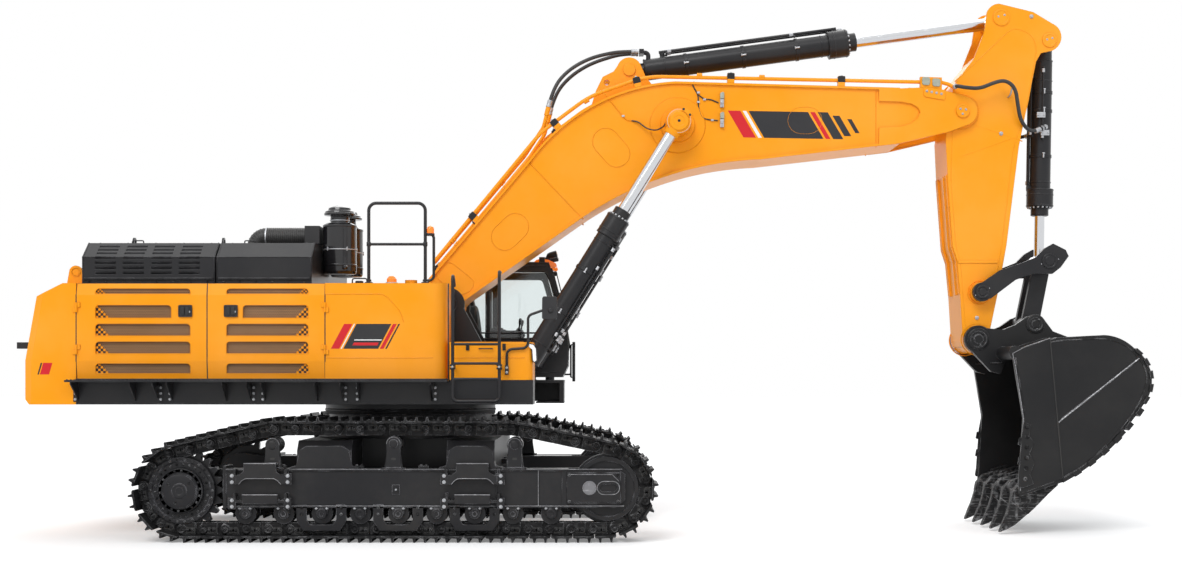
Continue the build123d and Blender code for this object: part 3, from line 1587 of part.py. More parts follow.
# adapter and tooth in one, as (x, z); the lip is cut out of it
tooth_outline = [
    (8165, 625), (8031, 505), (7845, 316), (7627, 123), (7440, 22), (7425, 30), (7455, 110), (7515, 240),
    (7570, 430), (7592, 560), (7680, 640), (7985, 740), (8030, 690),
]
ear_outline = [
    (7400, 2585), (7616, 2565), (7776, 2630), (7925, 2735), (8135, 2702), (8250, 2545), (8450, 2470),
    (8400, 2400), (7640, 2150), (7583, 2000), (7460, 2030), (7180, 2325),
]
wear_block = 110
wear_stand = 32
wear_pitch = 0.11  # radians between two wear blocks
heel_arc = ((8180, 680), (8790, 1130), (9190, 1620))
heel_centre = circle_through(*heel_arc)
heel_radius = math.dist(heel_centre, heel_arc[0])
with BuildPart() as bucket:
    route_prism(bucket_route, -bucket_half_width, bucket_half_width)
    inside = bucket_half_width - bucket_side
    route_prism(bucket_route, -inside, inside, bucket_shell, Mode.SUBTRACT)
    side_prism(mouth, -inside, inside, Mode.SUBTRACT)
    cross_disc((7610, 2262), 85, -bucket_half_width, bucket_half_width)
    # ears
    for side in (-1, 1):
        low, high = span(side, bucket_ear_inner, bucket_ear_inner + bucket_ear)
        side_prism(ear_outline, low, high)
        cross_disc(bucket_pivot, 175, low, high)
        cross_disc(bucket_link_pin, 125, low, high)
        low, high = span(side, bucket_ear_inner + bucket_ear, bucket_ear_inner + bucket_ear + 5)
        cross_disc(bucket_pivot, 110, low, high)
        cross_disc(bucket_link_pin, 90, low, high)
    reach = bucket_ear_inner + bucket_ear
    cross_disc(bucket_pivot, bucket_pin, -reach, reach)
    cross_disc(bucket_link_pin, link_pin, -reach, reach)
    # cutting lip, side plates, side cutters and weld bars
    side_prism(lip_outline, -bucket_half_width, bucket_half_width)
    for side in (-1, 1):
        low, high = span(side, bucket_half_width, bucket_half_width + 10)
        side_prism([(7560, 2275), (7700, 1450), (7642, 510), (8185, 700), (8030, 2440)], low, high)
        side_prism([(8165, 1440), (8175, 1425), (9150, 2185), (9140, 2200)], low, high)
        low, high = span(side, bucket_half_width + 10, bucket_half_width + 34)
        side_prism(
            [(7625, 600), (7690, 590), (7820, 640), (7775, 760), (7835, 900), (7770, 1010), (7825, 1150),
             (7770, 1230), (7790, 1370), (7700, 1400), (7672, 1250)],
            low,
            high,
        )
        low, high = span(side, bucket_half_width - 90, bucket_half_width + 10)
        for number in range(9):
            angle = math.atan2(heel_arc[0][1] - heel_centre[1], heel_arc[0][0] - heel_centre[0])
            angle += wear_pitch * (number + 0.5) * 1000 / heel_radius
            if angle > math.atan2(heel_arc[2][1] - heel_centre[1], heel_arc[2][0] - heel_centre[0]):
                continue
            corners = []
            for turn, reach in ((-1, -20), (1, -20), (1, wear_stand), (-1, wear_stand)):
                at = angle + turn * wear_block / 2 / heel_radius
                radius = heel_radius + reach
                corners.append((heel_centre[0] + radius * math.cos(at), heel_centre[1] + radius * math.sin(at)))
            side_prism(corners, low, high)

with BuildPart() as bucket_teeth:
    for y in tooth_places:
        side_prism(tooth_outline, y - tooth_half, y + tooth_half)
    side_prism(grown(lip_outline, seat_fit), -bucket_half_width, bucket_half_width, mode=Mode.SUBTRACT)
    floor_end = bucket_lip[1] + 660 * floor_slope
    side_prism(
        [(bucket_lip[0] - seat_fit, bucket_lip[1] - seat_fit), (8300, floor_end - seat_fit),
         (8300, floor_end + floor_rise + seat_fit), (bucket_lip[0] - seat_fit, bucket_lip[1] + floor_rise + seat_fit)],
        -bucket_half_width,
        bucket_half_width,
        mode=Mode.SUBTRACT,
    )

# ================================================================ bucket linkage
disc_inner = middle_half_eye + 12
rod_eye_half = middle_half_eye + 10
guide_outline = [
    (7325, 3160), (7564, 3325), (7851, 3421), (8010, 3484), (8122, 3596), (8233, 3660), (8392, 3580),
    (8431, 3500), (8329, 3357), (8225, 3275), (7978, 3277), (7755, 3197), (7440, 2960), (7300, 2930),
]
with BuildPart() as guide_links:
    for side in (-1, 1):
        low, high = span(side, guide_inner, guide_outer)
        with BuildSketch(Plane.XZ.offset(-high)) as bar:
            with BuildLine():
                Polyline(*guide_outline, close=True)
            make_face()
            with Locations(guide_pivot):
                Circle(120)
            with Locations(rod_link_pin):
                Circle(125)
            with Locations(guide_pivot):
                Circle(guide_pin + pin_fit, mode=Mode.SUBTRACT)
        extrude(bar.sketch, amount=guide_thickness)
        low, high = span(side, 186, guide_inner)
        cross_disc(rod_link_pin, 62, low, high)
        low, high = span(side, guide_outer, guide_outer + 10)
        cross_disc(rod_link_pin, 75, low, high)

with BuildPart() as connecting_link:
    for side in (-1, 1):
        low, high = span(side, disc_inner, 185)
        cross_hull(
            [
                (rod_link_pin[0], rod_link_pin[1], 108),
                (bucket_link_pin[0], bucket_link_pin[1], 112),
            ],
            low,
            high,
        )
    half = bucket_ear_inner - face_fit
    cross_disc(bucket_link_pin, 115, -half, half)
    cross_disc(bucket_link_pin, link_pin + pin_fit, -half, half, mode=Mode.SUBTRACT)


# ================================================================ cylinders
def cylinder_barrel(foot, eye, y, half_eye, eye_radius, tube, collar, rod, length, collar_length):
    """A barrel with its foot eye and gland, bored for the rod; call inside a part."""
    neck = 200
    round_bar(cylinder_point(foot, eye, 60, y), cylinder_point(foot, eye, neck, y), half_eye * 0.95)
    round_bar(cylinder_point(foot, eye, neck, y), cylinder_point(foot, eye, length, y), tube * 0.86)
    round_bar(cylinder_point(foot, eye, neck, y), cylinder_point(foot, eye, length - collar_length, y), tube)
    round_bar(
        cylinder_point(foot, eye, length - collar_length, y),
        cylinder_point(foot, eye, length - 110, y),
        collar,
    )
    cross_disc(foot, eye_radius, y - half_eye, y + half_eye)
    round_bar(
        cylinder_point(foot, eye, neck + 80, y),
        cylinder_point(foot, eye, length, y),
        rod + pin_fit,
        mode=Mode.SUBTRACT,
    )
    cross_disc(foot, foot_pin_radius + pin_fit, y - half_eye, y + half_eye, mode=Mode.SUBTRACT)


def side_pipe(foot, eye, y, start, end, stand, radius):
    """A steel pipe beside a barrel, on two blocks; call inside a part."""
    heading = Vector(eye[0] - foot[0], 0, eye[1] - foot[1]).normalized()
    outward = Vector(0, 1, 0).cross(heading)
    points = []
    for distance in (start, end):
        x, _, z = cylinder_point(foot, eye, distance, y)
        points.append(Vector(x, y, z) + outward * stand)
    round_bar(tuple(points[0]), tuple(points[1]), radius)
    for distance in (start + 40, end - 40):
        x, _, z = cylinder_point(foot, eye, distance, y)
        centre = Vector(x, y, z)
        round_bar(tuple(centre + outward * (stand * 0.7)), tuple(centre + outward * (stand + radius * 0.8)), 34)


def cylinder_rod(foot, eye, y, half_eye, eye_radius, rod, tail):
    """A rod with its eye; tail is the distance of its inner end from the foot pin."""
    round_bar(cylinder_point(foot, eye, tail, y), cylinder_point(foot, eye, math.dist(foot, eye) - 40, y), rod)
    cross_disc(eye, eye_radius, y - half_eye, y + half_eye)


with BuildPart() as boom_cylinder_barrels:
    for side in (-1, 1):
        cylinder_barrel(
            boom_cylinder_foot, boom_cylinder_eye, side * boom_cylinder_y, boom_cylinder_half_eye, 135,
            boom_cylinder_tube, boom_cylinder_collar, boom_cylinder_rod, boom_cylinder_length, 390,
        )
        side_pipe(
            boom_cylinder_foot, boom_cylinder_eye, side * boom_cylinder_y, 420, 2080,
            boom_cylinder_tube + 24, 18,
        )

with BuildPart() as boom_cylinder_rods:
    for side in (-1, 1):
        y = side * boom_cylinder_y
        cylinder_rod(
            boom_cylinder_foot, boom_cylinder_eye, y, boom_cylinder_half_eye, 150, boom_cylinder_rod, 1480,
        )
        low, high = span(side, boom_cylinder_y + boom_cylinder_half_eye, boom_cylinder_y + boom_cylinder_half_eye + 18)
        cross_disc(boom_cylinder_eye, 92, low, high)

with BuildPart() as arm_cylinder_barrel:
    cylinder_barrel(
        arm_cylinder_foot, arm_cylinder_eye, 0, middle_half_eye, 140,
        arm_cylinder_tube, arm_cylinder_collar, arm_cylinder_rod, arm_cylinder_length, 360,
    )
    side_pipe(arm_cylinder_foot, arm_cylinder_eye, 0, 420, 2750, -arm_cylinder_collar - 26, 20)
    # elbow that the hoses join
    bent_tube([(3095, 0, 6060), (3095, 0, 6192), (3030, 0, 6192)], 30, 45)
    block(2975, 3035, -105, 105, 6162, 6222)

with BuildPart() as arm_cylinder_rod_piece:
    cylinder_rod(arm_cylinder_foot, arm_cylinder_eye, 0, middle_half_eye, 145, arm_cylinder_rod, 1950)

# the hoses over the arm reach the bucket cylinder along this line, as (x, y, z)
hose_approach = (8075, 255, 5132)
hose_end = (8170, 185, 5172)
hose_stop = (8147, 202, 5162)  # the hoses end here, clear of the bucket cylinder's tilt
with BuildPart() as bucket_cylinder_barrel:
    cylinder_barrel(
        bucket_cylinder_foot, rod_link_pin, 0, bucket_cylinder_tube, 120,
        bucket_cylinder_tube, bucket_cylinder_collar, bucket_cylinder_rod, bucket_cylinder_length, 340,
    )
    side_pipe(bucket_cylinder_foot, rod_link_pin, 0, 420, 1900, bucket_cylinder_tube + 26, 20)
    # couplings that the hoses over the arm join
    for side in (-1, 1):
        arrive = Vector(hose_approach[0], side * hose_approach[1], hose_approach[2])
        end = Vector(hose_end[0], side * hose_end[1], hose_end[2])
        along = (end - arrive).normalized()
        round_bar(tuple(end + along * seat_fit), tuple(end + along * 120), fitting_radius)

with BuildPart() as bucket_cylinder_rod_piece:
    cylinder_rod(bucket_cylinder_foot, rod_link_pin, 0, rod_eye_half, 112, bucket_cylinder_rod, 700)

# ================================================================ hoses
def hose_bends(points):
    """The bend at each corner: 0.45 of the shorter run over the tangent of half the turn."""
    bends = []
    for before, here, after in zip(points, points[1:], points[2:]):
        arriving = Vector(*here) - Vector(*before)
        leaving = Vector(*after) - Vector(*here)
        turn = math.radians(arriving.get_angle(leaving))
        shorter = min(arriving.length, leaving.length)
        bends.append(0.45 * shorter / math.tan(turn / 2))
    print("hose bends", [round(bend) for bend in bends])
    return bends


barrel_play = 10  # room for the arm cylinder's tilt at the hoses' ends
# hoses from the boom's pipes over the ears to the arm cylinder, as (x, y, z)
arm_cylinder_hose_route = [
    (foot_fitting[0] + 0.1, foot_pipe, foot_fitting[1] + 0.4),
    (foot_fitting[0] + 62, foot_pipe, foot_fitting[1] + 248),
    (2040, 262, 5905),
    (2310, 200, 6075),
    (2610, 130, 6165),
    (2800, 72, 6192),
    (2975 - barrel_play, 72, 6192),
]
# hoses from the boom's tip over the arm to the bucket cylinder
arm_hose_route = [
    (tip_fitting[0], hose_layer, tip_fitting[1]),
    (tip_fitting[0], hose_layer + 65, tip_fitting[1]),
    (tip_fitting[0] + 110, hose_layer + 85, 5640),
    (7290, hose_layer + 80, 5625),
    (7460, hose_layer + 75, 5700),
    (7620, hose_layer + 65, 5740),
    (7750, hose_layer + 55, 5640),
    (7785, hose_layer + 30, 5440),
    (7830, hose_layer - 20, 5250),
    (7950, hose_layer - 120, 5130),
    hose_approach,
    hose_stop,
]

with BuildPart() as arm_cylinder_hoses:
    for side in (-1, 1):
        points = [(x, side * y, z) for x, y, z in arm_cylinder_hose_route]
        bent_tube(points, hose_radius, hose_bends(points))

with BuildPart() as arm_hoses:
    for side in (-1, 1):
        points = [(x, side * y, z) for x, y, z in arm_hose_route]
        bent_tube(points, hose_radius, hose_bends(points))

# ================================================================ files
pieces = {
    "track_right": track_right,
    "track_left": track_left,
    "sprockets": sprockets,
    "idlers": idlers,
    "rollers": rollers,
    "track_frames": track_frames,
    "car_body": car_body,
    "slew_bearing": slew_bearing,
    "revolving_frame": revolving_frame,
    "counterweight": counterweight,
    "engine": engine,
    "bay_frame": bay_frame,
    "hood_rear": hood_rear,
    "hood_front": hood_front,
    "fuel_tank": fuel_tank,
    "side_locker": side_locker,
    "control_valves": control_valves,
    "toolbox": toolbox,
    "toolbox_lid": toolbox_lid,
    "catwalks": catwalks,
    "handrails": handrails,
    "mirrors": mirrors,
    "air_cleaners": air_cleaners,
    "intake_duct": intake_duct,
    "exhaust": exhaust,
    "cab_shell": cab_shell,
    "cab_glass": cab_glass,
    "cab_door": cab_door,
    "cab_door_glass": cab_door_glass,
    "operator_seat": operator_seat,
    "door_right_rear": door_right_rear,
    "door_right_front": door_right_front,
    "door_left_rear": door_left_rear,
    "door_left_front": door_left_front,
    "boom": boom,
    "boom_pipes": boom_pipes,
    "arm": arm,
    "bucket": bucket,
    "bucket_teeth": bucket_teeth,
    "guide_links": guide_links,
    "connecting_link": connecting_link,
    "boom_cylinder_barrels": boom_cylinder_barrels,
    "boom_cylinder_rods": boom_cylinder_rods,
    "arm_cylinder_barrel": arm_cylinder_barrel,
    "arm_cylinder_rod": arm_cylinder_rod_piece,
    "bucket_cylinder_barrel": bucket_cylinder_barrel,
    "bucket_cylinder_rod": bucket_cylinder_rod_piece,
    "arm_cylinder_hoses": arm_cylinder_hoses,
    "arm_hoses": arm_hoses,
}
for name, piece in pieces.items():
    piece.part.label = name
    export_step(piece.part, f"parts/{name}.step")
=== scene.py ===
import json
import math

import bmesh
import bpy
from mathutils import Matrix, Vector

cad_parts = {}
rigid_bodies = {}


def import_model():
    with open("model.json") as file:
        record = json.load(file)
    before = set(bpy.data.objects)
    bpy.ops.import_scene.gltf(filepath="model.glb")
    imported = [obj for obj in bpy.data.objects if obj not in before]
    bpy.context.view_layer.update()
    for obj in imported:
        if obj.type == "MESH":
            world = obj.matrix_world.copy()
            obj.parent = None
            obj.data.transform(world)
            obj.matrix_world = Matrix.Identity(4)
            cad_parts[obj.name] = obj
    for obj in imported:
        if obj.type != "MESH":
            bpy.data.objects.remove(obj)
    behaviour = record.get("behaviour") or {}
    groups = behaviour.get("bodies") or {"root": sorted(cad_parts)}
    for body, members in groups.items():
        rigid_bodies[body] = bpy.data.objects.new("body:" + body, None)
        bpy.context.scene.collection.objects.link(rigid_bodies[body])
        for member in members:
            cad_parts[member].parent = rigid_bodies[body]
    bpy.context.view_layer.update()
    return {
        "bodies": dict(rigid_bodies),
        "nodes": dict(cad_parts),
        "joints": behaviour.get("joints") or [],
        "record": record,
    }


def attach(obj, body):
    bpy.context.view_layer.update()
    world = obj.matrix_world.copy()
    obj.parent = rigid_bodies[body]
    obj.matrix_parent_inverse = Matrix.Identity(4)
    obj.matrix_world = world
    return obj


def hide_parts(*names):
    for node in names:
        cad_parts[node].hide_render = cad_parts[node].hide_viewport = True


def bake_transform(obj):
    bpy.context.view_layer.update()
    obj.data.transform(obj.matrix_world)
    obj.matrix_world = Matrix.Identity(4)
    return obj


# A crawler excavator. Metres, in the frame of the solids: X forward, Y to the machine's left, Z up.
# side is -1 on the right and 1 on the left; out is the direction that looks away from the machine on that side.

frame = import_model()
scene = bpy.context.scene
nodes = frame["nodes"]
SIDES = ((-1, "right"), (1, "left"))
UP = (0, 0, 1)


# ---------------------------------------------------------------- shader nodes
def put(socket, term):
    """Sets a socket to a number or a colour, or links it to another socket."""
    if isinstance(term, bpy.types.NodeSocket):
        socket.id_data.links.new(term, socket)
    elif socket.type == "RGBA":
        socket.default_value = (*term[:3], 1)
    else:
        socket.default_value = term


def add(tree, kind, inputs=None, out=0, **settings):
    """A shader node with its settings and inputs; returns one of its outputs."""
    node = tree.nodes.new("ShaderNode" + kind)
    for label, value in settings.items():
        setattr(node, label, value)
    for label, term in (inputs or {}).items():
        put(node.inputs[label], term)
    return node.outputs[out]


def reckon(tree, operation, *terms):
    """A sum, product or other operation on numbers or sockets."""
    return add(tree, "Math", dict(enumerate(terms)), operation=operation)


def product(tree, *terms):
    """The product of numbers or sockets."""
    result = terms[0]
    for term in terms[1:]:
        result = reckon(tree, "MULTIPLY", result, term)
    return result


def spread(tree, value, low, high, to_low=0.0, to_high=1.0):
    """A value mapped smoothly from one range to another."""
    ranges = {"Value": value, "From Min": low, "From Max": high, "To Min": to_low, "To Max": to_high}
    return add(tree, "MapRange", ranges, "Result", interpolation_type="SMOOTHSTEP")


def cloud(tree, scale, detail=4.0, stretch=None, roughness=0.55):
    """Noise over the object's own coordinates; scale is a number or a socket."""
    place = add(tree, "TexCoord", out="Object")
    if stretch:
        place = add(tree, "Mapping", {"Vector": place, "Scale": stretch})
    return add(tree, "TexNoise", {"Vector": place, "Scale": scale, "Detail": detail, "Roughness": roughness}, "Fac")


def tint(tree, share, first, second):
    """A mixed colour."""
    return add(tree, "Mix", {0: share, 6: first, 7: second}, 2, data_type="RGBA")


def axis_of(tree, vector, axis):
    """One component of a vector."""
    return add(tree, "SeparateXYZ", {0: vector}, axis)


# ---------------------------------------------------------------- camera, light and floor
CAMERA_PLACE = (2.348, -21.5, 1.935)
LENS = 50.19
RISE = 0.0808
FLOOR_REACH = 150
FLOOR_GLOW, SURROUNDINGS = 0.22, 0.36


def light_sun(name, strength, spread_angle, pitch, turn, shines=True):
    """A soft distant lamp; pitch is its tilt off straight down, turn its heading, in degrees."""
    lamp = bpy.data.lights.new(name, "SUN")
    lamp.energy = strength
    lamp.angle = math.radians(spread_angle)
    holder = bpy.data.objects.new(name, lamp)
    holder.rotation_euler = (math.radians(pitch), 0, math.radians(turn))
    holder.visible_glossy = shines
    scene.collection.objects.link(holder)


def empty_tree(owner):
    """The cleared node tree of a world or a material."""
    owner.use_nodes = True
    owner.node_tree.nodes.clear()
    return owner.node_tree


def seen_by(tree, *rays):
    """One where a surface is met by any of the kinds of ray."""
    kinds = [add(tree, "LightPath", out=f"Is {ray} Ray") for ray in rays]
    result = kinds[0]
    for kind in kinds[1:]:
        result = reckon(tree, "MAXIMUM", result, kind)
    return result


def build_stage():
    """The camera, the lamps, the white surroundings and the floor."""
    camera = bpy.data.cameras.new("camera")
    camera.lens = LENS
    camera.sensor_width = 36
    camera.shift_y = RISE
    camera.clip_end = 400
    holder = bpy.data.objects.new("camera", camera)
    holder.location = CAMERA_PLACE
    holder.rotation_euler = (math.radians(90), 0, 0)
    scene.collection.objects.link(holder)
    scene.camera = holder

    light_sun("key_lamp", 1.8, 34, 48, -22)
    light_sun("front_lamp", 0.7, 60, 78, 30, shines=False)
    light_sun("top_lamp", 0.9, 70, 12, 160)
    light_sun("back_lamp", 0.8, 50, 60, 165)

    scene.world = bpy.data.worlds.new("surroundings")
    tree = empty_tree(scene.world)
    soft = add(tree, "Background", {"Color": (0.93, 0.96, 1.0), "Strength": SURROUNDINGS})
    shown = add(tree, "Background", {"Color": (1, 1, 1), "Strength": 1.0})
    mixed = add(tree, "MixShader", {0: seen_by(tree, "Camera", "Transmission", "Glossy"), 1: soft, 2: shown})
    put(tree.nodes.new("ShaderNodeOutputWorld").inputs["Surface"], mixed)

    ground = bpy.data.meshes.new("studio_floor")
    corners = [(x * FLOOR_REACH, y * FLOOR_REACH, 0) for x, y in ((-1, -1), (1, -1), (1, 1), (-1, 1))]
    ground.from_pydata(corners, [], [(0, 1, 2, 3)])
    pale = bpy.data.materials.new("pale_floor")
    tree = empty_tree(pale)
    glow = add(tree, "Emission", {"Strength": product(tree, seen_by(tree, "Camera", "Transmission"), FLOOR_GLOW)})
    matt = add(tree, "BsdfDiffuse", {"Color": (0.86, 0.86, 0.86)})
    both = add(tree, "AddShader", {0: matt, 1: glow})
    put(tree.nodes.new("ShaderNodeOutputMaterial").inputs["Surface"], both)
    ground.materials.append(pale)
    floor = bpy.data.objects.new("studio_floor", ground)
    scene.collection.objects.link(floor)
    scene.view_settings.view_transform = "Standard"


build_stage()


# ---------------------------------------------------------------- shader groups
def make_group(name, inputs, outputs):
    """An empty shader group; returns its tree, the outputs of its start and the inputs of its end."""
    tree = bpy.data.node_groups.new(name, "ShaderNodeTree")
    for label, value in inputs.items():
        kind = "NodeSocketColor" if isinstance(value, tuple) else "NodeSocketFloat"
        socket = tree.interface.new_socket(name=label, in_out="INPUT", socket_type=kind)
        socket.default_value = value
    for label, kind in outputs.items():
        tree.interface.new_socket(name=label, in_out="OUTPUT", socket_type="NodeSocket" + kind)
    return tree, tree.nodes.new("NodeGroupInput").outputs, tree.nodes.new("NodeGroupOutput").inputs


def build_edge_group():
    """Rounds hard edges in the shading and gives a mask of the worn corners; where a light metal lies under a dark
    paint, the mask also paints highlights along the edges.
    """
    tree, given, result = make_group(
        "worn_and_highlit_edges", {"Radius": 0.006, "Wear": 0.5, "Patches": 6.0}, {"Normal": "Vector", "Mask": "Float"}
    )
    bevel = add(tree, "Bevel", {"Radius": given["Radius"]}, samples=3)
    normal = add(tree, "NewGeometry", out="Normal")
    alike = add(tree, "VectorMath", {0: bevel, 1: normal}, "Value", operation="DOT_PRODUCT")
    bend = reckon(tree, "SUBTRACT", 1.0, alike)
    patch = spread(tree, cloud(tree, given["Patches"], 6), 0.42, 0.62)
    put(result["Normal"], bevel)
    put(result["Mask"], product(tree, spread(tree, bend, 0.02, 0.16), patch, given["Wear"]))
    return tree


def build_coat_group():
    """Sprayed paint: slow fading, settled dust, faint orange peel."""
    tree, given, result = make_group(
        "sprayed_coat",
        {"Paint": (1, 1, 1, 1), "Dust": (0.4, 0.34, 0.26, 1), "Dust Amount": 0.1, "Fading": 0.1, "Low Dust": 0.0},
        {"Color": "Color", "Dull": "Float", "Height": "Float"},
    )
    broad, fine = cloud(tree, 0.9, 5), cloud(tree, 14.0, 6)
    darker = tint(tree, given["Fading"], given["Paint"], (0.0, 0.0, 0.0))
    lighter = tint(tree, product(tree, given["Fading"], 0.45), given["Paint"], (1.0, 0.95, 0.85))
    faded = tint(tree, spread(tree, broad, 0.3, 0.7), darker, lighter)
    upward = spread(tree, axis_of(tree, add(tree, "NewGeometry", out="Normal"), "Z"), 0.2, 0.95)
    height = axis_of(tree, add(tree, "TexCoord", out="Object"), "Z")
    low = product(tree, spread(tree, height, 1.5, 0.0), given["Low Dust"])
    settled = reckon(tree, "ADD", product(tree, upward, 0.8), 0.25)
    grain = reckon(tree, "ADD", product(tree, broad, 0.5), product(tree, fine, 0.5))
    amount = reckon(tree, "ADD", product(tree, settled, given["Dust Amount"]), low)
    dusty = product(tree, amount, spread(tree, grain, 0.42, 0.68))
    put(result["Color"], tint(tree, dusty, faded, given["Dust"]))
    put(result["Dull"], reckon(tree, "ADD", dusty, product(tree, fine, 0.12)))
    put(result["Height"], cloud(tree, 160.0, 2))
    return tree


def build_scratch_group():
    """Long fine scratches and pits on bare metal."""
    tree, given, result = make_group(
        "rubbed_metal", {"Amount": 0.5, "Pits": 30.0}, {"Mask": "Float", "Height": "Float"}
    )
    across, along = (
        spread(tree, cloud(tree, 12.0, 8, stretch), 0.52, 0.66) for stretch in ((1.0, 6.0, 0.35), (0.35, 1.0, 6.0))
    )
    pits = cloud(tree, given["Pits"], 8, roughness=0.7)
    both = reckon(tree, "MAXIMUM", across, along)
    put(result["Mask"], product(tree, both, spread(tree, pits, 0.35, 0.6), given["Amount"]))
    put(result["Height"], reckon(tree, "ADD", pits, product(tree, both, 0.2)))
    return tree


def build_punch_group():
    """Rows of round holes punched in a sheet that lies in the X and Z directions."""
    tree, given, result = make_group("punched_rows", {"Pitch": 0.014, "Hole": 0.34}, {"Mask": "Float"})
    place = add(tree, "TexCoord", out="Object")
    row_height = 0.866  # of the pitch, so that the holes stand in equal triangles
    row = reckon(tree, "DIVIDE", axis_of(tree, place, "Z"), product(tree, given["Pitch"], row_height))
    shift = product(tree, reckon(tree, "PINGPONG", reckon(tree, "FLOOR", row), 1.0), 0.5)
    column = reckon(tree, "ADD", reckon(tree, "DIVIDE", axis_of(tree, place, "X"), given["Pitch"]), shift)
    beside = reckon(tree, "SUBTRACT", reckon(tree, "FRACT", column), 0.5)
    above = product(tree, reckon(tree, "SUBTRACT", reckon(tree, "FRACT", row), 0.5), row_height)
    away = reckon(tree, "SQRT", reckon(tree, "ADD", product(tree, beside, beside), product(tree, above, above)))
    inner, outer = reckon(tree, "SUBTRACT", given["Hole"], 0.03), reckon(tree, "ADD", given["Hole"], 0.03)
    put(result["Mask"], spread(tree, away, inner, outer, 1.0, 0.0))
    return tree


EDGES = build_edge_group()
COAT = build_coat_group()
RUBBED = build_scratch_group()
PUNCHED = build_punch_group()


# ---------------------------------------------------------------- materials
def start_material(name):
    """A material with one Principled shader; returns the material and its tree."""
    material = bpy.data.materials.new(name)
    material.use_nodes = True
    return material, material.node_tree


def dress(tree, **values):
    """Values or links for the inputs of the tree's Principled shader."""
    for label, term in values.items():
        put(tree.nodes["Principled BSDF"].inputs[label.replace("_", " ")], term)


def use_group(tree, group, **values):
    """One use of a shader group, with its own values; returns its outputs."""
    node = tree.nodes.new("ShaderNodeGroup")
    node.node_tree = group
    for label, value in values.items():
        put(node.inputs[label.replace("_", " ")], value)
    return node.outputs


def relief(tree, height, strength, distance, normal=None):
    """A bump on the shader's normal."""
    inputs = {"Strength": strength, "Distance": distance, "Height": height}
    if normal:
        inputs["Normal"] = normal
    dress(tree, Normal=add(tree, "Bump", inputs))


def painted(name, paint, under, gloss, dust, fading, wear, coat, radius, sheen, peel=0.1, low_dust=0.0):
    """Paint over metal that wears off at the edges; a light metal under a dark paint makes these edges painted
    highlights too.
    """
    material, tree = start_material(name)
    edges = use_group(tree, EDGES, Radius=radius, Wear=wear)
    film = use_group(tree, COAT, Paint=paint, Dust_Amount=dust, Fading=fading, Low_Dust=low_dust)
    dress(
        tree, Base_Color=tint(tree, edges["Mask"], film["Color"], under),
        Roughness=spread(tree, film["Dull"], 0.0, 0.6, gloss, min(gloss + 0.35, 0.95)),
        Specular_IOR_Level=sheen, Coat_Weight=coat, Coat_Roughness=0.18,
    )
    relief(tree, film["Height"], peel, 0.0006, edges["Normal"])
    return material


def bare(name, metal, rough, dark, scratches, pits, metallic, radius, bumps):
    """Bare, rubbed or rusty metal with dark hollows; its light rubbed edges are partly painted highlights."""
    material, tree = start_material(name)
    edges = use_group(tree, EDGES, Radius=radius, Wear=0.9, Patches=9.0)
    rub = use_group(tree, RUBBED, Amount=scratches, Pits=pits)
    film = use_group(tree, COAT, Paint=dark, Dust_Amount=0.0, Fading=0.02, Low_Dust=0.0)
    shine = reckon(tree, "MAXIMUM", rub["Mask"], edges["Mask"])
    dress(
        tree, Base_Color=tint(tree, shine, film["Color"], metal),
        Roughness=spread(tree, shine, 0.0, 1.0, min(rough + 0.25, 0.9), rough),
        Metallic=metallic, Specular_IOR_Level=0.18,
    )
    relief(tree, rub["Height"], bumps, 0.002, edges["Normal"])
    return material


def polished(name, colour, rough):
    """Chrome: a mirror with faint lengthwise rubbing."""
    material, tree = start_material(name)
    rub = use_group(tree, RUBBED, Amount=0.3, Pits=80.0)
    dress(tree, Base_Color=colour, Metallic=1.0, Roughness=spread(tree, rub["Mask"], 0.0, 0.3, rough, rough + 0.12))
    relief(tree, rub["Height"], 0.02, 0.0005)
    return material


def plain_coat(name, colour, rough, glow=0.0, coat=0.0):
    """Small smooth parts: plastic, lenses and printed films, with a little unevenness, and a painted glow where one is
    given.
    """
    material, tree = start_material(name)
    film = use_group(tree, COAT, Paint=colour, Dust_Amount=0.02, Fading=0.02)
    dress(
        tree, Base_Color=film["Color"], Roughness=spread(tree, film["Dull"], 0.0, 0.5, rough, min(rough + 0.2, 1)),
        Specular_IOR_Level=0.3, Coat_Weight=coat,
    )
    if glow:
        dress(tree, Emission_Color=colour, Emission_Strength=glow)
    relief(tree, film["Height"], 0.06, 0.0004)
    return material


def clear_glass(name, colour, rough):
    """Window glass, lightly smeared."""
    material, tree = start_material(name)
    smear = spread(tree, cloud(tree, 3.0, 6), 0.4, 0.7, rough, rough + 0.06)
    dress(tree, Base_Color=colour, Transmission_Weight=1.0, IOR=1.45, Roughness=smear)
    return material


def punched_sheet(name, paint, behind):
    """A painted sheet whose punched holes are painted dark, as painted shade of the bay behind them."""
    material, tree = start_material(name)
    film = use_group(tree, COAT, Paint=paint, Dust_Amount=0.2, Fading=0.12)
    holes = use_group(tree, PUNCHED, Pitch=0.022, Hole=0.4)["Mask"]
    rough = spread(tree, holes, 0.0, 1.0, 0.45, 0.95)
    # the holes take the dark colour: painted shade of the bay
    dress(tree, Base_Color=tint(tree, holes, film["Color"], behind), Roughness=rough)
    relief(tree, reckon(tree, "SUBTRACT", 1.0, holes), 0.6, 0.003)
    return material


def rubber(name, colour, rough):
    """Hose rubber with cloth-wrap marks, or moulded rubber."""
    material, tree = start_material(name)
    film = use_group(tree, COAT, Paint=colour, Dust_Amount=0.04, Fading=0.03)
    rub = use_group(tree, RUBBED, Amount=0.4, Pits=120.0)
    dress(tree, Base_Color=film["Color"], Roughness=spread(tree, film["Dull"], 0.0, 0.5, rough, min(rough + 0.3, 1)))
    relief(tree, rub["Height"], 0.25, 0.001)
    return material


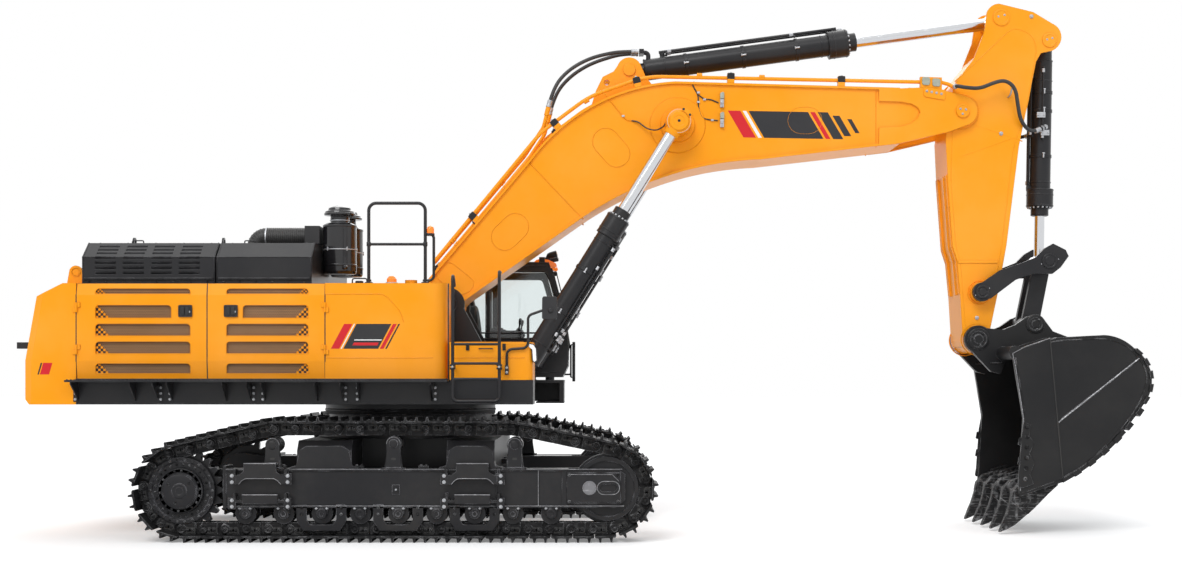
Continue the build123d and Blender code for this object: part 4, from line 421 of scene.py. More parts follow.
def woven(name, colour, thread):
    """Cloth with a close weave."""
    material, tree = start_material(name)
    film = use_group(tree, COAT, Paint=colour, Dust_Amount=0.1, Fading=0.2)
    place = add(tree, "TexCoord", out="Object")
    weave = product(tree, *(
        add(tree, "TexWave", {"Vector": place, "Scale": 160, "Distortion": 0.6}, "Fac", bands_direction=direction)
        for direction in ("X", "Z")
    ))
    dress(
        tree, Base_Color=tint(tree, product(tree, weave, 0.35), film["Color"], thread), Roughness=0.9, Sheen_Weight=0.3
    )
    relief(tree, weave, 0.4, 0.001)
    return material


# name, paint, metal under it, roughness, dust, fading, wear, clear coat, edge radius, sheen; under the dark paints the
# metal is light, so that the worn edges are painted highlights too
YELLOW = painted("yellow_paint", (0.94, 0.335, 0.002), (0.5, 0.2, 0.02), 0.34, 0.02, 0.06, 0.2, 0.1, 0.012, 0.16)
BLACK = painted("black_paint", (0.013, 0.013, 0.015), (0.16, 0.16, 0.17), 0.32, 0.012, 0.02, 0.6, 0.05, 0.012, 0.25)
GLOSS_BLACK = painted(
    "glossy_black_paint", (0.008, 0.008, 0.01), (0.1, 0.1, 0.11), 0.16, 0.01, 0.01, 0.3, 0.3, 0.006, 0.45
)
# the undercarriage and bucket paints lie over a light metal: their worn edges are partly wear, partly painted
# highlights
CHARCOAL = painted(
    "undercarriage_paint", (0.012, 0.012, 0.014), (0.3, 0.3, 0.32), 0.34, 0.01, 0.02, 0.9, 0.03, 0.014, 0.22,
    low_dust=0.015,
)
BUCKET_BLACK = painted(
    "bucket_paint", (0.011, 0.011, 0.012), (0.32, 0.32, 0.33), 0.36, 0.006, 0.02, 0.9, 0.03, 0.014, 0.2, peel=0.3
)
# name, metal, roughness, dark hollows, scratches, pits, metallic, edge radius, bumps; the light metal on the rubbed
# edges is partly a painted highlight
TRACK_STEEL = bare("track_steel", (0.3, 0.3, 0.31), 0.34, (0.009, 0.009, 0.01), 0.12, 26.0, 0.3, 0.014, 0.4)
DARK_STEEL = bare("link_steel", (0.36, 0.36, 0.37), 0.34, (0.008, 0.008, 0.009), 0.1, 40.0, 0.3, 0.012, 0.3)
TOOTH_STEEL = bare("tooth_steel", (0.6, 0.6, 0.61), 0.28, (0.012, 0.012, 0.013), 0.3, 9.0, 0.4, 0.016, 0.3)
# light steel for edge strips: on the track frames painted highlights, on the bucket rubbed metal and partly painted
# highlights
EDGE_WEAR_AND_HIGHLIGHT = bare("rubbed_edge_and_highlight", (0.62, 0.62, 0.64), 0.3, (0.2, 0.2, 0.21), 0.7, 40.0, 0.6, 0.004, 0.2)
ZINC = bare("zinc_plate", (0.72, 0.73, 0.75), 0.28, (0.42, 0.43, 0.45), 0.5, 90.0, 0.95, 0.002, 0.1)
OLIVE_ZINC = bare("olive_zinc", (0.55, 0.56, 0.48), 0.3, (0.34, 0.36, 0.3), 0.4, 90.0, 0.8, 0.002, 0.1)
CHROME = polished("chrome_rod", (0.66, 0.67, 0.69), 0.12)
MIRROR = polished("mirror_face", (0.9, 0.92, 0.93), 0.03)
GLASS = clear_glass("cab_window_glass", (0.86, 0.9, 0.9), 0.02)
# its second colour is the painted shade seen through the holes
SHEET = punched_sheet("punched_yellow_sheet", (0.48, 0.235, 0.07), (0.03, 0.026, 0.026))
RUBBER = rubber("hose_rubber", (0.016, 0.016, 0.017), 0.5)
SEAL = rubber("window_seal", (0.012, 0.012, 0.012), 0.6)
CLOTH = woven("seat_cloth", (0.03, 0.03, 0.034), (0.12, 0.12, 0.13))
RED_FILM = plain_coat("red_film", (0.6, 0.006, 0.014), 0.3, coat=0.15)
PALE_FILM = plain_coat("pale_film", (0.8, 0.8, 0.8), 0.35, coat=0.2)
GREY_FILM = plain_coat("grey_film", (0.018, 0.018, 0.021), 0.35, coat=0.1)
# the amber and the clear lenses get a painted glow
AMBER = plain_coat("amber_lens", (1.0, 0.22, 0.01), 0.15, glow=0.25, coat=0.6)
CLEAR = plain_coat("lamp_lens", (0.85, 0.87, 0.88), 0.12, glow=0.1, coat=0.8)
PLASTIC = plain_coat("black_plastic", (0.02, 0.02, 0.022), 0.42)
INSIDE = plain_coat("cab_trim", (0.07, 0.07, 0.075), 0.6)

NODE_FINISH = (
    (TRACK_STEEL, "track_right track_left"),
    (CHARCOAL, "sprockets idlers rollers track_frames car_body engine control_valves"),
    (DARK_STEEL, "slew_bearing exhaust bucket_teeth"),
    (BLACK, "revolving_frame bay_frame hood_rear hood_front catwalks handrails air_cleaners cab_shell cab_door"),
    (BLACK, "guide_links connecting_link boom_cylinder_barrels arm_cylinder_barrel bucket_cylinder_barrel"),
    (YELLOW, "counterweight fuel_tank side_locker toolbox toolbox_lid boom boom_pipes arm"),
    (YELLOW, "door_right_rear door_right_front door_left_rear door_left_front"),
    (PLASTIC, "mirrors intake_duct"),
    (GLASS, "cab_glass cab_door_glass"),
    (CLOTH, "operator_seat"),
    (BUCKET_BLACK, "bucket"),
    (CHROME, "boom_cylinder_rods arm_cylinder_rod bucket_cylinder_rod"),
    (RUBBER, "arm_cylinder_hoses arm_hoses"),
)
for finish, names in NODE_FINISH:
    for name in names.split():
        nodes[name].data.materials.clear()
        nodes[name].data.materials.append(finish)

NO_SLOT = ""
# the slot that each material's pieces belong to, where they have one
SLOT_OF = {
    material.name: slot
    for slot, materials in (
        ("yellow_paint", (YELLOW, SHEET)), ("black_paint", (BLACK, GLOSS_BLACK, BUCKET_BLACK, PLASTIC, SEAL)),
        ("dark_grey_paint", (CHARCOAL,)), ("rubber_hose", (RUBBER,)), ("seat_fabric", (CLOTH,)),
        ("worn_steel", (TRACK_STEEL, DARK_STEEL, TOOTH_STEEL, EDGE_WEAR_AND_HIGHLIGHT, ZINC, OLIVE_ZINC)),
    )
    for material in materials
}


# ---------------------------------------------------------------- mesh work
def polar(x, z, radius, angle):
    """The point (x, z) at an angle on a circle."""
    return x + radius * math.cos(angle), z + radius * math.sin(angle)


def fan(count, turn=0.0):
    """Even angles round a circle."""
    return [turn + 2 * math.pi * number / count for number in range(count)]


def on_ring(centre, y, radius, angles):
    """Points (x, y, z) at angles round a centre (x, z)."""
    return [(x, y, z) for x, z in (polar(*centre, radius, angle) for angle in angles)]


def steps_between(start, end, count):
    """Even numbers from start to end."""
    return [start + (end - start) * number / (count - 1) for number in range(count)]


def lift(points, y):
    """Points (x, z) put on a plane at y."""
    return [(x, y, z) for x, z in points]


def rounded(corners, radius, steps=6, closed=False):
    """A polyline with its corners turned by arcs, for rigid pipes and weld lines."""
    corners = [Vector(corner) for corner in corners]
    count = len(corners)
    points = []
    for number, here in enumerate(corners):
        if not closed and number in (0, count - 1):
            points.append(here)
            continue
        back, ahead = corners[number - 1] - here, corners[(number + 1) % count] - here
        reach = min(radius, back.length * 0.48, ahead.length * 0.48)
        start, end = here + back.normalized() * reach, here + ahead.normalized() * reach
        for share in steps_between(0, 1, steps + 1):
            points.append(start * (1 - share) ** 2 + here * 2 * share * (1 - share) + end * share**2)
    return points


def stadium(x, z, half, radius, lean, steps=8):
    """A slotted oval's corners round a centre; lean is its long axis' tilt in degrees."""
    lean = math.radians(lean)
    return [
        polar(*polar(x, z, half, lean + turn), radius, lean + turn + angle)
        for turn in (0, math.pi) for angle in steps_between(-math.pi / 2, math.pi / 2, steps + 1)
    ]


class Piece:
    """Gathers the faces of one piece, then hands it over as an object on a body."""

    waiting = []

    def __init__(self, name, body, material, bevel=0.0, slot=None, crease=38, steps=2, replaces=None):
        self.mesh = bmesh.new()
        self.name, self.body, self.material = name, body, material
        self.bevel, self.crease, self.steps = bevel, crease, steps
        self.slot = SLOT_OF.get(material.name) if slot is None else slot
        self.replaces = replaces
        Piece.waiting.append(self)

    def skin(self, rings, closed=False):
        """Faces from ring to ring of equally many points, with a face over each open end."""
        rings = [[self.mesh.verts.new(point) for point in ring] for ring in rings]
        for here, there in zip(rings, rings[1:] + rings[:1] if closed else rings[1:]):
            for step in range(len(here)):
                self.mesh.faces.new((here[step - 1], here[step], there[step], there[step - 1]))
        if not closed:
            self.mesh.faces.new(rings[0])
            self.mesh.faces.new(rings[-1])

    def prism(self, outline, low, high, axis="y"):
        """An outline extruded along an axis; the outline's two coordinates are the other two in order."""
        order = {"x": lambda a, b, c: (c, a, b), "y": lambda a, b, c: (a, c, b), "z": lambda a, b, c: (a, b, c)}[axis]
        self.skin([[order(a, b, level) for a, b in outline] for level in (low, high)])

    def block(self, low, high):
        """A block between two corners."""
        (x0, y0, z0), (x1, y1, z1) = low, high
        self.prism([(x0, y0), (x1, y0), (x1, y1), (x0, y1)], z0, z1, "z")

    def plate(self, side, face, thick, low, high):
        """A flat block standing on a face that looks along Y, between two (x, z) corners."""
        self.block((low[0], side * face, low[1]), (high[0], side * (face + thick), high[1]))

    def boxed(self, centre, half):
        """A block round a centre."""
        centre, half = Vector(centre), Vector(half)
        self.block(centre - half, centre + half)

    def turned(self, start, way, profile, sides=32):
        """A round form along a direction; profile is (distance from the start, radius) pairs."""
        start, axis = Vector(start), Vector(way).normalized()
        beside = axis.orthogonal().normalized()
        other = axis.cross(beside)
        self.skin([
            [start + axis * along + (beside * math.cos(turn) + other * math.sin(turn)) * radius for turn in fan(sides)]
            for along, radius in profile
        ])

    def bar(self, start, end, radius, sides=20):
        """A round bar between two points."""
        way = Vector(end) - Vector(start)
        self.turned(start, way, [(0, radius), (way.length, radius)], sides)

    def bolts(self, places, way, across, washer=True):
        """Hexagon heads on washers, standing on a face along a direction."""
        for place in places:
            if washer:
                self.turned(place, way, [(0, across * 0.78), (across * 0.16, across * 0.78)], 14)
            head = [(0, across * 0.55), (across * 0.48, across * 0.55), (across * 0.6, across * 0.45)]
            self.turned(place, way, head, 6)

    def tube(self, points, radius, sides=8, closed=False, bend=0.0, steps=6):
        """A tube that follows points with mitred turns, or with arcs of a bend's radius."""
        points = rounded(points, bend, steps, closed) if bend else [Vector(point) for point in points]
        count = len(points)
        rings = []
        beside = None
        for number, point in enumerate(points):
            before = points[number - 1] if number or closed else point
            after = points[(number + 1) % count] if number < count - 1 or closed else point
            along = ((point - before).normalized() + (after - point).normalized()).normalized()
            beside = beside or along.orthogonal().normalized()
            beside = (beside - along * beside.dot(along)).normalized()
            other = along.cross(beside)
            rings.append([point + (beside * math.cos(turn) + other * math.sin(turn)) * radius for turn in fan(sides)])
        self.skin(rings, closed)

    def handle(self, start, end, rise, radius, bend, sides=8):
        """A bowed handle whose two feet stand on a face."""
        start, end, rise = Vector(start), Vector(end), Vector(rise)
        self.tube([start, start + rise, end + rise, end], radius, sides, bend=bend)

    def finish(self):
        """Makes the object, softens its edges and lets it ride on its body, if one is named."""
        Piece.waiting.remove(self)
        bmesh.ops.recalc_face_normals(self.mesh, faces=self.mesh.faces)
        data = bpy.data.meshes.new(self.name)
        self.mesh.to_mesh(data)
        self.mesh.free()
        data.polygons.foreach_set("use_smooth", [True] * len(data.polygons))
        data.set_sharp_from_angle(angle=math.radians(self.crease))
        data.materials.append(self.material)
        piece = bpy.data.objects.new(self.name, data)
        scene.collection.objects.link(piece)
        if self.bevel:
            soften = piece.modifiers.new("edges", "BEVEL")
            soften.width = self.bevel
            soften.segments = self.steps
            soften.limit_method = "ANGLE"
            soften.angle_limit = math.radians(self.crease)
            soften.harden_normals = self.bevel > 0.01
        if self.body:
            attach(piece, self.body)
        if self.replaces:
            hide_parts(self.replaces)
        return piece


def start_pieces(body, *rows, replaces=None):
    """Starts several pieces on one body; a row is a name, a material and, where needed, a bevel and a slot."""
    return [Piece(name, body, material, *rest, replaces=replaces) for name, material, *rest in rows]


def mirrored(points, about=0.0):
    """Points (x, z) followed by their mirror images in reverse, which closes a symmetric outline."""
    return [*points, *((2 * about - x, z) for x, z in reversed(points))]


# ================================================================ hoses
HOSE = 0.048
# from the boom's pipes over its ears to the arm cylinder, as (x, y, z) on the left side
ARM_CYLINDER_ROUTE = [
    (1.8001, 0.3, 5.4304), (1.862, 0.3, 5.678), (2.04, 0.262, 5.905), (2.31, 0.2, 6.075), (2.61, 0.13, 6.165),
    (2.8, 0.072, 6.192), (2.965, 0.072, 6.192),
]
# from the boom's tip over the arm to the bucket cylinder
ARM_ROUTE = [
    (6.995, 0.475, 5.665), (6.995, 0.54, 5.665), (7.105, 0.56, 5.64), (7.29, 0.555, 5.625), (7.46, 0.55, 5.7),
    (7.62, 0.54, 5.74), (7.75, 0.53, 5.64), (7.785, 0.505, 5.44), (7.83, 0.455, 5.25), (7.95, 0.355, 5.13),
    (8.075, 0.255, 5.132), (8.147, 0.202, 5.162),
]
LONG_FERRULE = [
    (0, 0.028), (0.002, 0.035), (0.028, 0.035), (0.031, 0.029), (0.038, 0.029), (0.042, 0.0325), (0.05, 0.0325),
    (0.053, 0.03), (0.06, 0.0325), (0.068, 0.0325), (0.071, 0.03), (0.078, 0.0325), (0.088, 0.0325), (0.094, 0.026),
]
SHORT_FERRULE = [(0, 0.028), (0.002, 0.034), (0.02, 0.034), (0.023, 0.03), (0.042, 0.03), (0.046, 0.026)]


def hose_line(name, points):
    """The hose's centre line: one smooth open spline over its route."""
    line = bpy.data.curves.new(name, "CURVE")
    line.dimensions = "3D"
    line.resolution_u = 16
    spline = line.splines.new("NURBS")
    spline.points.add(len(points) - 1)
    for point, place in zip(spline.points, points):
        point.co = (*place, 1)
    spline.order_u = 3
    spline.use_endpoint_u = True
    return line


def path_along(line):
    """The points of a spline and its length."""
    holder = bpy.data.objects.new("route", line)
    mesh = bpy.data.meshes.new_from_object(holder)
    places = [vertex.co.copy() for vertex in mesh.vertices]
    bpy.data.objects.remove(holder)
    bpy.data.meshes.remove(mesh)
    return places, sum((b - a).length for a, b in zip(places, places[1:]))


def ferrule(name, body, start, towards, profile):
    """A crimped steel end on a hose."""
    sleeve = Piece(name, body, ZINC, 0.0008)
    sleeve.turned(start, towards - start, profile, 24)
    return sleeve.finish()


def lay_hoses(side, word):
    """The two free hoses of one side and their ferrules."""
    points = [Vector((x, side * y, z)) for x, y, z in ARM_CYLINDER_ROUTE]
    ends = [
        ferrule(f"arm_cylinder_hose_start_{word}", "boom", points[0], points[1], LONG_FERRULE),
        ferrule(f"arm_cylinder_hose_end_{word}", "boom", points[-1], points[-2], LONG_FERRULE),
    ]
    line = hose_line(f"arm_cylinder_hose_{word}", points)
    length = path_along(line)[1]
    line.bevel_depth = HOSE / 2
    line.bevel_resolution = 6
    line.use_fill_caps = True
    line.materials.append(RUBBER)
    hose = bpy.data.objects.new(f"arm_cylinder_hose_{word}", line)
    scene.collection.objects.link(hose)
    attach(hose, "boom")
    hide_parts("arm_cylinder_hoses")
    points = [Vector((x, side * y, z)) for x, y, z in ARM_ROUTE]
    ends = [
        ferrule(f"arm_hose_start_{word}", "boom", points[0], points[1], SHORT_FERRULE),
        ferrule(f"arm_hose_end_{word}", "arm", points[-1], points[-2], LONG_FERRULE),
    ]
    # this hose crosses the arm's pivot; its tube is left on no body
    path, length = path_along(hose_line(f"arm_hose_line_{word}", points))
    tube = Piece(f"arm_hose_{word}", None, RUBBER, crease=60)
    tube.tube(path, HOSE / 2, 20)
    hose = tube.finish()
    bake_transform(hose)
    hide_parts("arm_hoses")


# ================================================================ tracks
TRACK_CENTRE = 1.725
SHOE_HALF = 0.325
SHOE_COUNT = 51
SPROCKET = (-2.537, 0.605)
IDLER = (2.537, 0.625)
END_CARRIER = 1.149
CARRIER_X = 1.44
BELT = [(*SPROCKET, 0.463), (-CARRIER_X, END_CARRIER, 0.196), (CARRIER_X, END_CARRIER, 0.196), (*IDLER, 0.483)]


def belt_points(wheels, count):
    """Even points, as (x, z), along a belt that runs clockwise round (x, z, radius) wheels."""
    leaving = []
    for here, there in zip(wheels, wheels[1:] + wheels[:1]):
        heading = math.atan2(there[1] - here[1], there[0] - here[0])
        leaving.append(heading + math.acos((here[2] - there[2]) / math.dist(here[:2], there[:2])))
    runs = []
    for number, wheel in enumerate(wheels):
        arrive, leave = leaving[number - 1], leaving[number]
        start, end = polar(*wheel, leave), polar(*wheels[(number + 1) % len(wheels)], leave)
        runs.append(("arc", (*wheel, arrive), wheel[2] * ((arrive - leave) % (2 * math.pi))))
        runs.append(("line", (start, end), math.dist(start, end)))
    total = sum(length for _, _, length in runs)
    points = []
    for step in range(count):
        left = total * step / count
        for kind, data, length in runs:
            if left <= length:
                break
            left -= length
        if kind == "arc":
            x, z, radius, arrive = data
            points.append(polar(x, z, radius, arrive - left / radius))
        else:
            points.append(tuple(a + (b - a) * left / length for a, b in zip(*data)))
    return points


LINK_PINS = belt_points(BELT, SHOE_COUNT)
# a shoe from pin to pin, as (share of the pitch, height over the pins): a plate with two grousers
SHOE = [
    (-0.06, 0.069), (-0.03, 0.088), (0.1, 0.0915), (0.135, 0.141), (0.215, 0.141), (0.255, 0.0935), (0.44, 0.0905),
    (0.615, 0.0935), (0.65, 0.141), (0.725, 0.141), (0.765, 0.0935), (0.87, 0.09), (0.93, 0.078), (0.93, 0.066),
    (0.85, 0.0665), (0.06, 0.0665),
]
# the side of a link, as (share of the pitch, height): a round end at each pin and a flat rail below
LINK_REAR = [
    (-0.2, 0.02), (-0.13, 0.046), (0.02, 0.058), (0.2, 0.066), (0.62, 0.066), (0.62, -0.084), (0.02, -0.084),
    (-0.1, -0.062), (-0.19, -0.03),
]
LINK_FRONT = [
    (0.36, 0.066), (0.82, 0.066), (1.0, 0.058), (1.13, 0.046), (1.2, 0.02), (1.19, -0.03), (1.1, -0.062),
    (0.98, -0.084), (0.36, -0.084),
]
PIN_END = [(0, 0.056), (0.052, 0.056), (0.06, 0.048), (0.06, 0.036), (0.052, 0.034), (0.052, 0.018), (0.06, 0.015)]


def on_link(number, share, height):
    """A point (x, z) on a link, from its share of the pitch and its height over the pins."""
    (x, z), (next_x, next_z) = LINK_PINS[number], LINK_PINS[(number + 1) % SHOE_COUNT]
    along, rise = next_x - x, next_z - z
    length = math.hypot(along, rise)
    return x + along * share - rise / length * height, z + rise * share + along / length * height


def build_track(side, word):
    """One track: shoes, two rows of links, pins and the bolts that hold the shoes."""
    node = f"track_{word}"
    shoes, links, bolts, pocket_shades = start_pieces(
        "undercarriage", (f"{node}_shoes", TRACK_STEEL, 0.0025), (f"{node}_links", DARK_STEEL, 0.003),
        (f"{node}_bolts", DARK_STEEL), (f"{node}_pockets", SEAL, 0, "worn_steel"), replaces=node,
    )
    centre = side * TRACK_CENTRE
    for number, (pin_x, pin_z) in enumerate(LINK_PINS):
        shoes.prism([on_link(number, *corner) for corner in SHOE], centre - SHOE_HALF, centre + SHOE_HALF)
        links.bar((pin_x, centre - 0.08, pin_z), (pin_x, centre + 0.08, pin_z), 0.042, 16)
        (foot_x, foot_z), (head_x, head_z) = on_link(number, 0.5, 0), on_link(number, 0.5, 0.2)
        up = (head_x - foot_x, 0, head_z - foot_z)
        for rail in (-1, 1):
            for outline, near, far in ((LINK_REAR, 0.06, 0.086), (LINK_FRONT, 0.08, 0.116)):
                links.prism([on_link(number, *corner) for corner in outline], centre + rail * near, centre + rail * far)
            links.turned((pin_x, centre + rail * 0.07, pin_z), (0, rail, 0), PIN_END, 18)
            for share in (0.33, 0.55):
                x, z = on_link(number, share, 0.0915)
                bolts.bolts([(x, centre + rail * 0.085, z)], up, 0.026)
                # nuts on dark discs that paint the shade of the link's pockets, on the side that shows
                if rail == side:
                    x, z = on_link(number, share + 0.17, 0.01)
                    place = (x, centre + rail * 0.115, z)
                    # a dark disc: painted shade of the pocket
                    pocket_shades.turned(place, (0, rail, 0), [(0, 0.038), (0.003, 0.038)], 18)
                    bolts.turned(place, (0, rail, 0), [(0, 0.023), (0.012, 0.023), (0.017, 0.016)], 6)


# ---------------------------------------------------------------- sprockets, rollers and frames
ROLLERS = [(-1.765 + 0.455 * number, 0.3305) for number in range(9)]
FRAME_FACE = 1.9
FRAME_LOW, FRAME_HIGH = 0.404, 0.861
HUB_FACE, STEP_FACE = 1.92, 2.01


def build_final_drive(side, word):
    """Rings, bolts and plugs on the sprocket's hub."""
    rings, bolts = start_pieces(
        "undercarriage", (f"final_drive_rings_{word}", CHARCOAL, 0.003, NO_SLOT),
        (f"final_drive_bolts_{word}", DARK_STEEL, 0, NO_SLOT),
    )
    out, (x, z) = (0, side, 0), SPROCKET
    face = TRACK_CENTRE + 0.115
    for y, sides, profile in (
        (face, 72, [(0, 0.4), (0.012, 0.4), (0.018, 0.394), (0.018, 0.35), (0.0, 0.345)]),
        (HUB_FACE - 0.06, 64, [(0, 0.272), (0.05, 0.272), (0.06, 0.262), (0.06, 0.22), (0.05, 0.214)]),
        (HUB_FACE + 0.028, 56, [
            (0, 0.2), (0.004, 0.198), (0.006, 0.19), (0.006, 0.09), (0.012, 0.085), (0.012, 0.05), (0.008, 0.045),
        ]),
        (face, 64, [(-0.03, 0.348), (0.004, 0.348), (0.004, 0.268), (-0.03, 0.268)]),
    ):
        rings.turned((x, side * y, z), out, profile, sides)
    for y, radius, count, across, turn in (
        (face + 0.016, 0.372, 26, 0.021, 0), (face + 0.004, 0.312, 26, 0.021, 0.06), (HUB_FACE, 0.238, 18, 0.019, 0.1),
    ):
        bolts.bolts(on_ring(SPROCKET, side * y, radius, fan(count, turn)), out, across)
    for place in on_ring(SPROCKET, side * (HUB_FACE + 0.032), 0.15, (0.7, 2.6, 4.4)):
        bolts.turned(place, out, [(0, 0.02), (0.008, 0.02), (0.008, 0.012), (0.004, 0.012)], 6)


def build_steps(side, low_x, high_x, plates, bright, edges):
    """Two step treads with grip teeth on bolted pads, a hood over the upper one and a lip on the lower one."""
    rim = side * (STEP_FACE + 0.01)
    for tread in (0.76, 0.47):
        for x in steps_between(low_x + 0.05, high_x - 0.05, 13):
            tooth = [(x - 0.012, tread + 0.03), (x + 0.012, tread + 0.03), (x, tread + 0.045)]
            plates.prism(tooth, side * (FRAME_FACE + 0.01), side * (FRAME_FACE + 0.11))
        for x in (low_x - 0.01, high_x + 0.01):
            plates.plate(side, STEP_FACE + 0.001, 0.01, (x - 0.045, tread - 0.075), (x + 0.045, tread + 0.06))
            bright.bolts([(x, rim, z) for z in (tread - 0.045, tread + 0.03)], (0, side, 0), 0.028)
    middle, half = (low_x + high_x) / 2, (high_x - low_x) / 2
    under = [(-0.25, 0.69), (-0.21, 0.735), (-0.17, 0.757)]
    above = [(-half, 0.69), (-half, 0.795), (-0.25, 0.8), (-0.195, 0.84), (-0.19, 0.935)]
    arch = [(middle + x, z) for x, z in mirrored(under[::-1] + above)]
    plates.prism(arch, side * STEP_FACE, side * (STEP_FACE + 0.012))
    plates.plate(side, 1.895, 0.12, (middle - 0.19, 0.921), (middle + 0.19, 0.935))
    plates.plate(side, STEP_FACE, 0.012, (middle - 0.21, 0.455), (middle + 0.21, 0.565))
    # light steel along the hood's and the lip's edges: painted highlights
    for z, reach in ((0.935, 0.19), (0.565, 0.21)):
        edges.tube([(middle - reach, rim, z), (middle + reach, rim, z)], 0.006, 6)
    edges.tube(lift([(middle + x, z) for x, z in mirrored(under)], rim), 0.004, 6, bend=0.02)


def build_frame_fittings(side, word):
    """Bolts, rims, flanges and brackets on a track frame."""
    plates, bolts, edges, holes, bright = start_pieces(
        "undercarriage", (f"frame_fittings_{word}", CHARCOAL, 0.003), (f"frame_bolts_{word}", DARK_STEEL),
        (f"frame_rubbed_edges_{word}", EDGE_WEAR_AND_HIGHLIGHT), (f"frame_post_slots_{word}", SEAL, 0, "dark_grey_paint"),
        (f"frame_bright_bolts_{word}", ZINC),
    )
    y, lip, out = side * FRAME_FACE, side * (FRAME_FACE + 0.025), (0, side, 0)
    # flanges along the top and the bottom of the box, its joints, the adjuster's cover and the grease door
    for low, high, raised, thick in (
        ((-1.99, FRAME_HIGH - 0.022), (2.03, FRAME_HIGH), 0, 0.02),
        ((-1.99, FRAME_LOW), (2.72, FRAME_LOW + 0.02), 0, 0.02),
        ((1.21, 0.42), (1.235, 0.86), 0, 0.012), ((2.0, 0.43), (2.06, 0.85), 0, 0.012),
        ((2.1, 0.468), (2.66, 0.474), 0.025, 0.002), ((-0.02, 0.56), (0.075, 0.68), 0, 0.006),
    ):
        plates.plate(side, FRAME_FACE + raised, thick, low, high)
    for low_x, high_x in ((-1.888, -1.249), (0.62, 1.271)):
        build_steps(side, low_x, high_x, plates, bright, edges)
    # roller ends: a flanged cap and two bolts each
    for x, z in ROLLERS:
        plates.turned((x, y, z), out, [(0, 0.062), (0.018, 0.062), (0.024, 0.056), (0.024, 0.03), (0.016, 0.026)], 28)
        plates.plate(side, FRAME_FACE, 0.016, (x - 0.085, 0.385), (x + 0.085, 0.418))
        bright.bolts([(x + shift, y + side * 0.014, 0.4) for shift in (-0.062, 0.062)], out, 0.021)
    # the guards' bolts beside every second roller
    for x, _ in ROLLERS[2:7:2]:
        bolts.bolts([(x + shift, y + side * 0.02, z) for shift in (-0.235, 0.235) for z in (0.33, 0.405)], out, 0.024)
    # small posts of the carrier rollers
    for x, z in ((-CARRIER_X, END_CARRIER), (0, 1.1655), (CARRIER_X, END_CARRIER)):
        crown = [polar(x, z, 0.082, angle) for angle in steps_between(0, math.pi, 11)]
        plates.prism([(x - 0.088, FRAME_HIGH), (x + 0.088, FRAME_HIGH), *crown], side * 1.845, side * 1.914)
        plates.plate(side, 1.845, 0.09, (x - 0.14, FRAME_HIGH), (x + 0.14, 0.882))
        # the crown's light edge is a painted highlight
        edges.tube(lift(crown, side * 1.914), 0.004, 6)
        # a dark oval plate: painted shade of the post's slot
        holes.prism(stadium(x, 0.985, 0.016, 0.013, 0), side * 1.913, side * 1.916)
        plates.turned((x, side * 1.91, z), out, [(0, 0.05), (0.012, 0.05), (0.016, 0.044), (0.016, 0.02)], 24)
        bolts.bolts([(x + shift, side * 1.878, 0.895) for shift in (-0.085, 0.085)], UP, 0.022)
    # the adjuster cover's rim and the oval hole's lip, in light steel as painted highlights, and the cover's bolts
    edges.turned((2.33, lip, 0.64), out, [(0, 0.084), (0.006, 0.083), (0.006, 0.075), (-0.02, 0.075)], 32)
    edges.tube(lift(stadium(2.555, 0.64, 0.055, 0.078, 0), lip + side * 0.002), 0.005, 6, closed=True)
    bolts.bolts([(x, lip, z) for x in (2.09, 2.67) for z in (0.48, 0.79)], out, 0.026)
    # light strips of rubbed steel that paint the highlights along the box's edges: its top, the bottom flange and the
    # joint of the two plates
    for line, radius, raised in (
        (((-1.99, 0.863), (-1.9, 0.863)), 0.005, 0.021), (((-1.22, 0.863), (0.6, 0.863)), 0.005, 0.021),
        (((1.29, 0.863), (2.72, 0.863)), 0.005, 0.021), (((-1.9, 0.426), (2.74, 0.426)), 0.005, 0.021),
        (((1.722, 0.43), (1.722, 0.85)), 0.005, 0.021), (((2.09, 0.8), (2.6, 0.8), (2.68, 0.72)), 0.004, 0.026),
    ):
        edges.tube(lift(line, side * (FRAME_FACE + raised)), radius, 6)
    bright.turned((0.03, y + side * 0.006, 0.62), out, [(0, 0.012), (0.03, 0.012), (0.03, 0.007), (0.045, 0.007)], 12)
    # lugs on top of the box
    for x in (-1.35, -0.42, 0.35, 0.98):
        plates.plate(side, 1.78, 0.06, (x - 0.06, FRAME_HIGH), (x + 0.06, 0.9))
        bolts.bolts([(x - 0.03, side * 1.81, 0.9), (x + 0.03, side * 1.81, 0.9)], UP, 0.03)


def build_swing_ring():
    """Bolts round the swing bearing, its seal and the plates of the cross beams between the track runs."""
    bolts, ring = start_pieces(
        "undercarriage", ("swing_ring_bolts", DARK_STEEL), ("swing_ring_collar", CHARCOAL, 0.004)
    )
    bolts.bolts([(*polar(0, 0, 1.12, angle), 1.26) for angle in fan(48)], UP, 0.034)
    ring.turned((0, 0, 1.26), UP, [(0, 1.176), (0.022, 1.176), (0.03, 1.16), (0.03, 1.06)], 96)
    ring.turned((0, 0, 1.53), UP, [(0, 1.102), (0.008, 1.108), (0.02, 1.108), (0.028, 1.102)], 96)
    for low_x, high_x in ((-1.15, -0.5), (0.63, 1.2)):
        rear = [(0.11, 1.14), (0.03, 1.09), (-0.01, 0.905), (-0.09, 0.885), (-0.09, FRAME_HIGH)]
        outline = mirrored([(low_x + along, z) for along, z in rear], (low_x + high_x) / 2)
        for low, high in ((-1.9, -1.7), (1.7, 1.88)):
            ring.prism(outline, low, high)


# ================================================================ engine bay doors
HOUSE_SIDE = 1.62
RECESS_FLOOR = 1.581
DOOR_SEAMS = (-3.864, -2.284, -0.861)
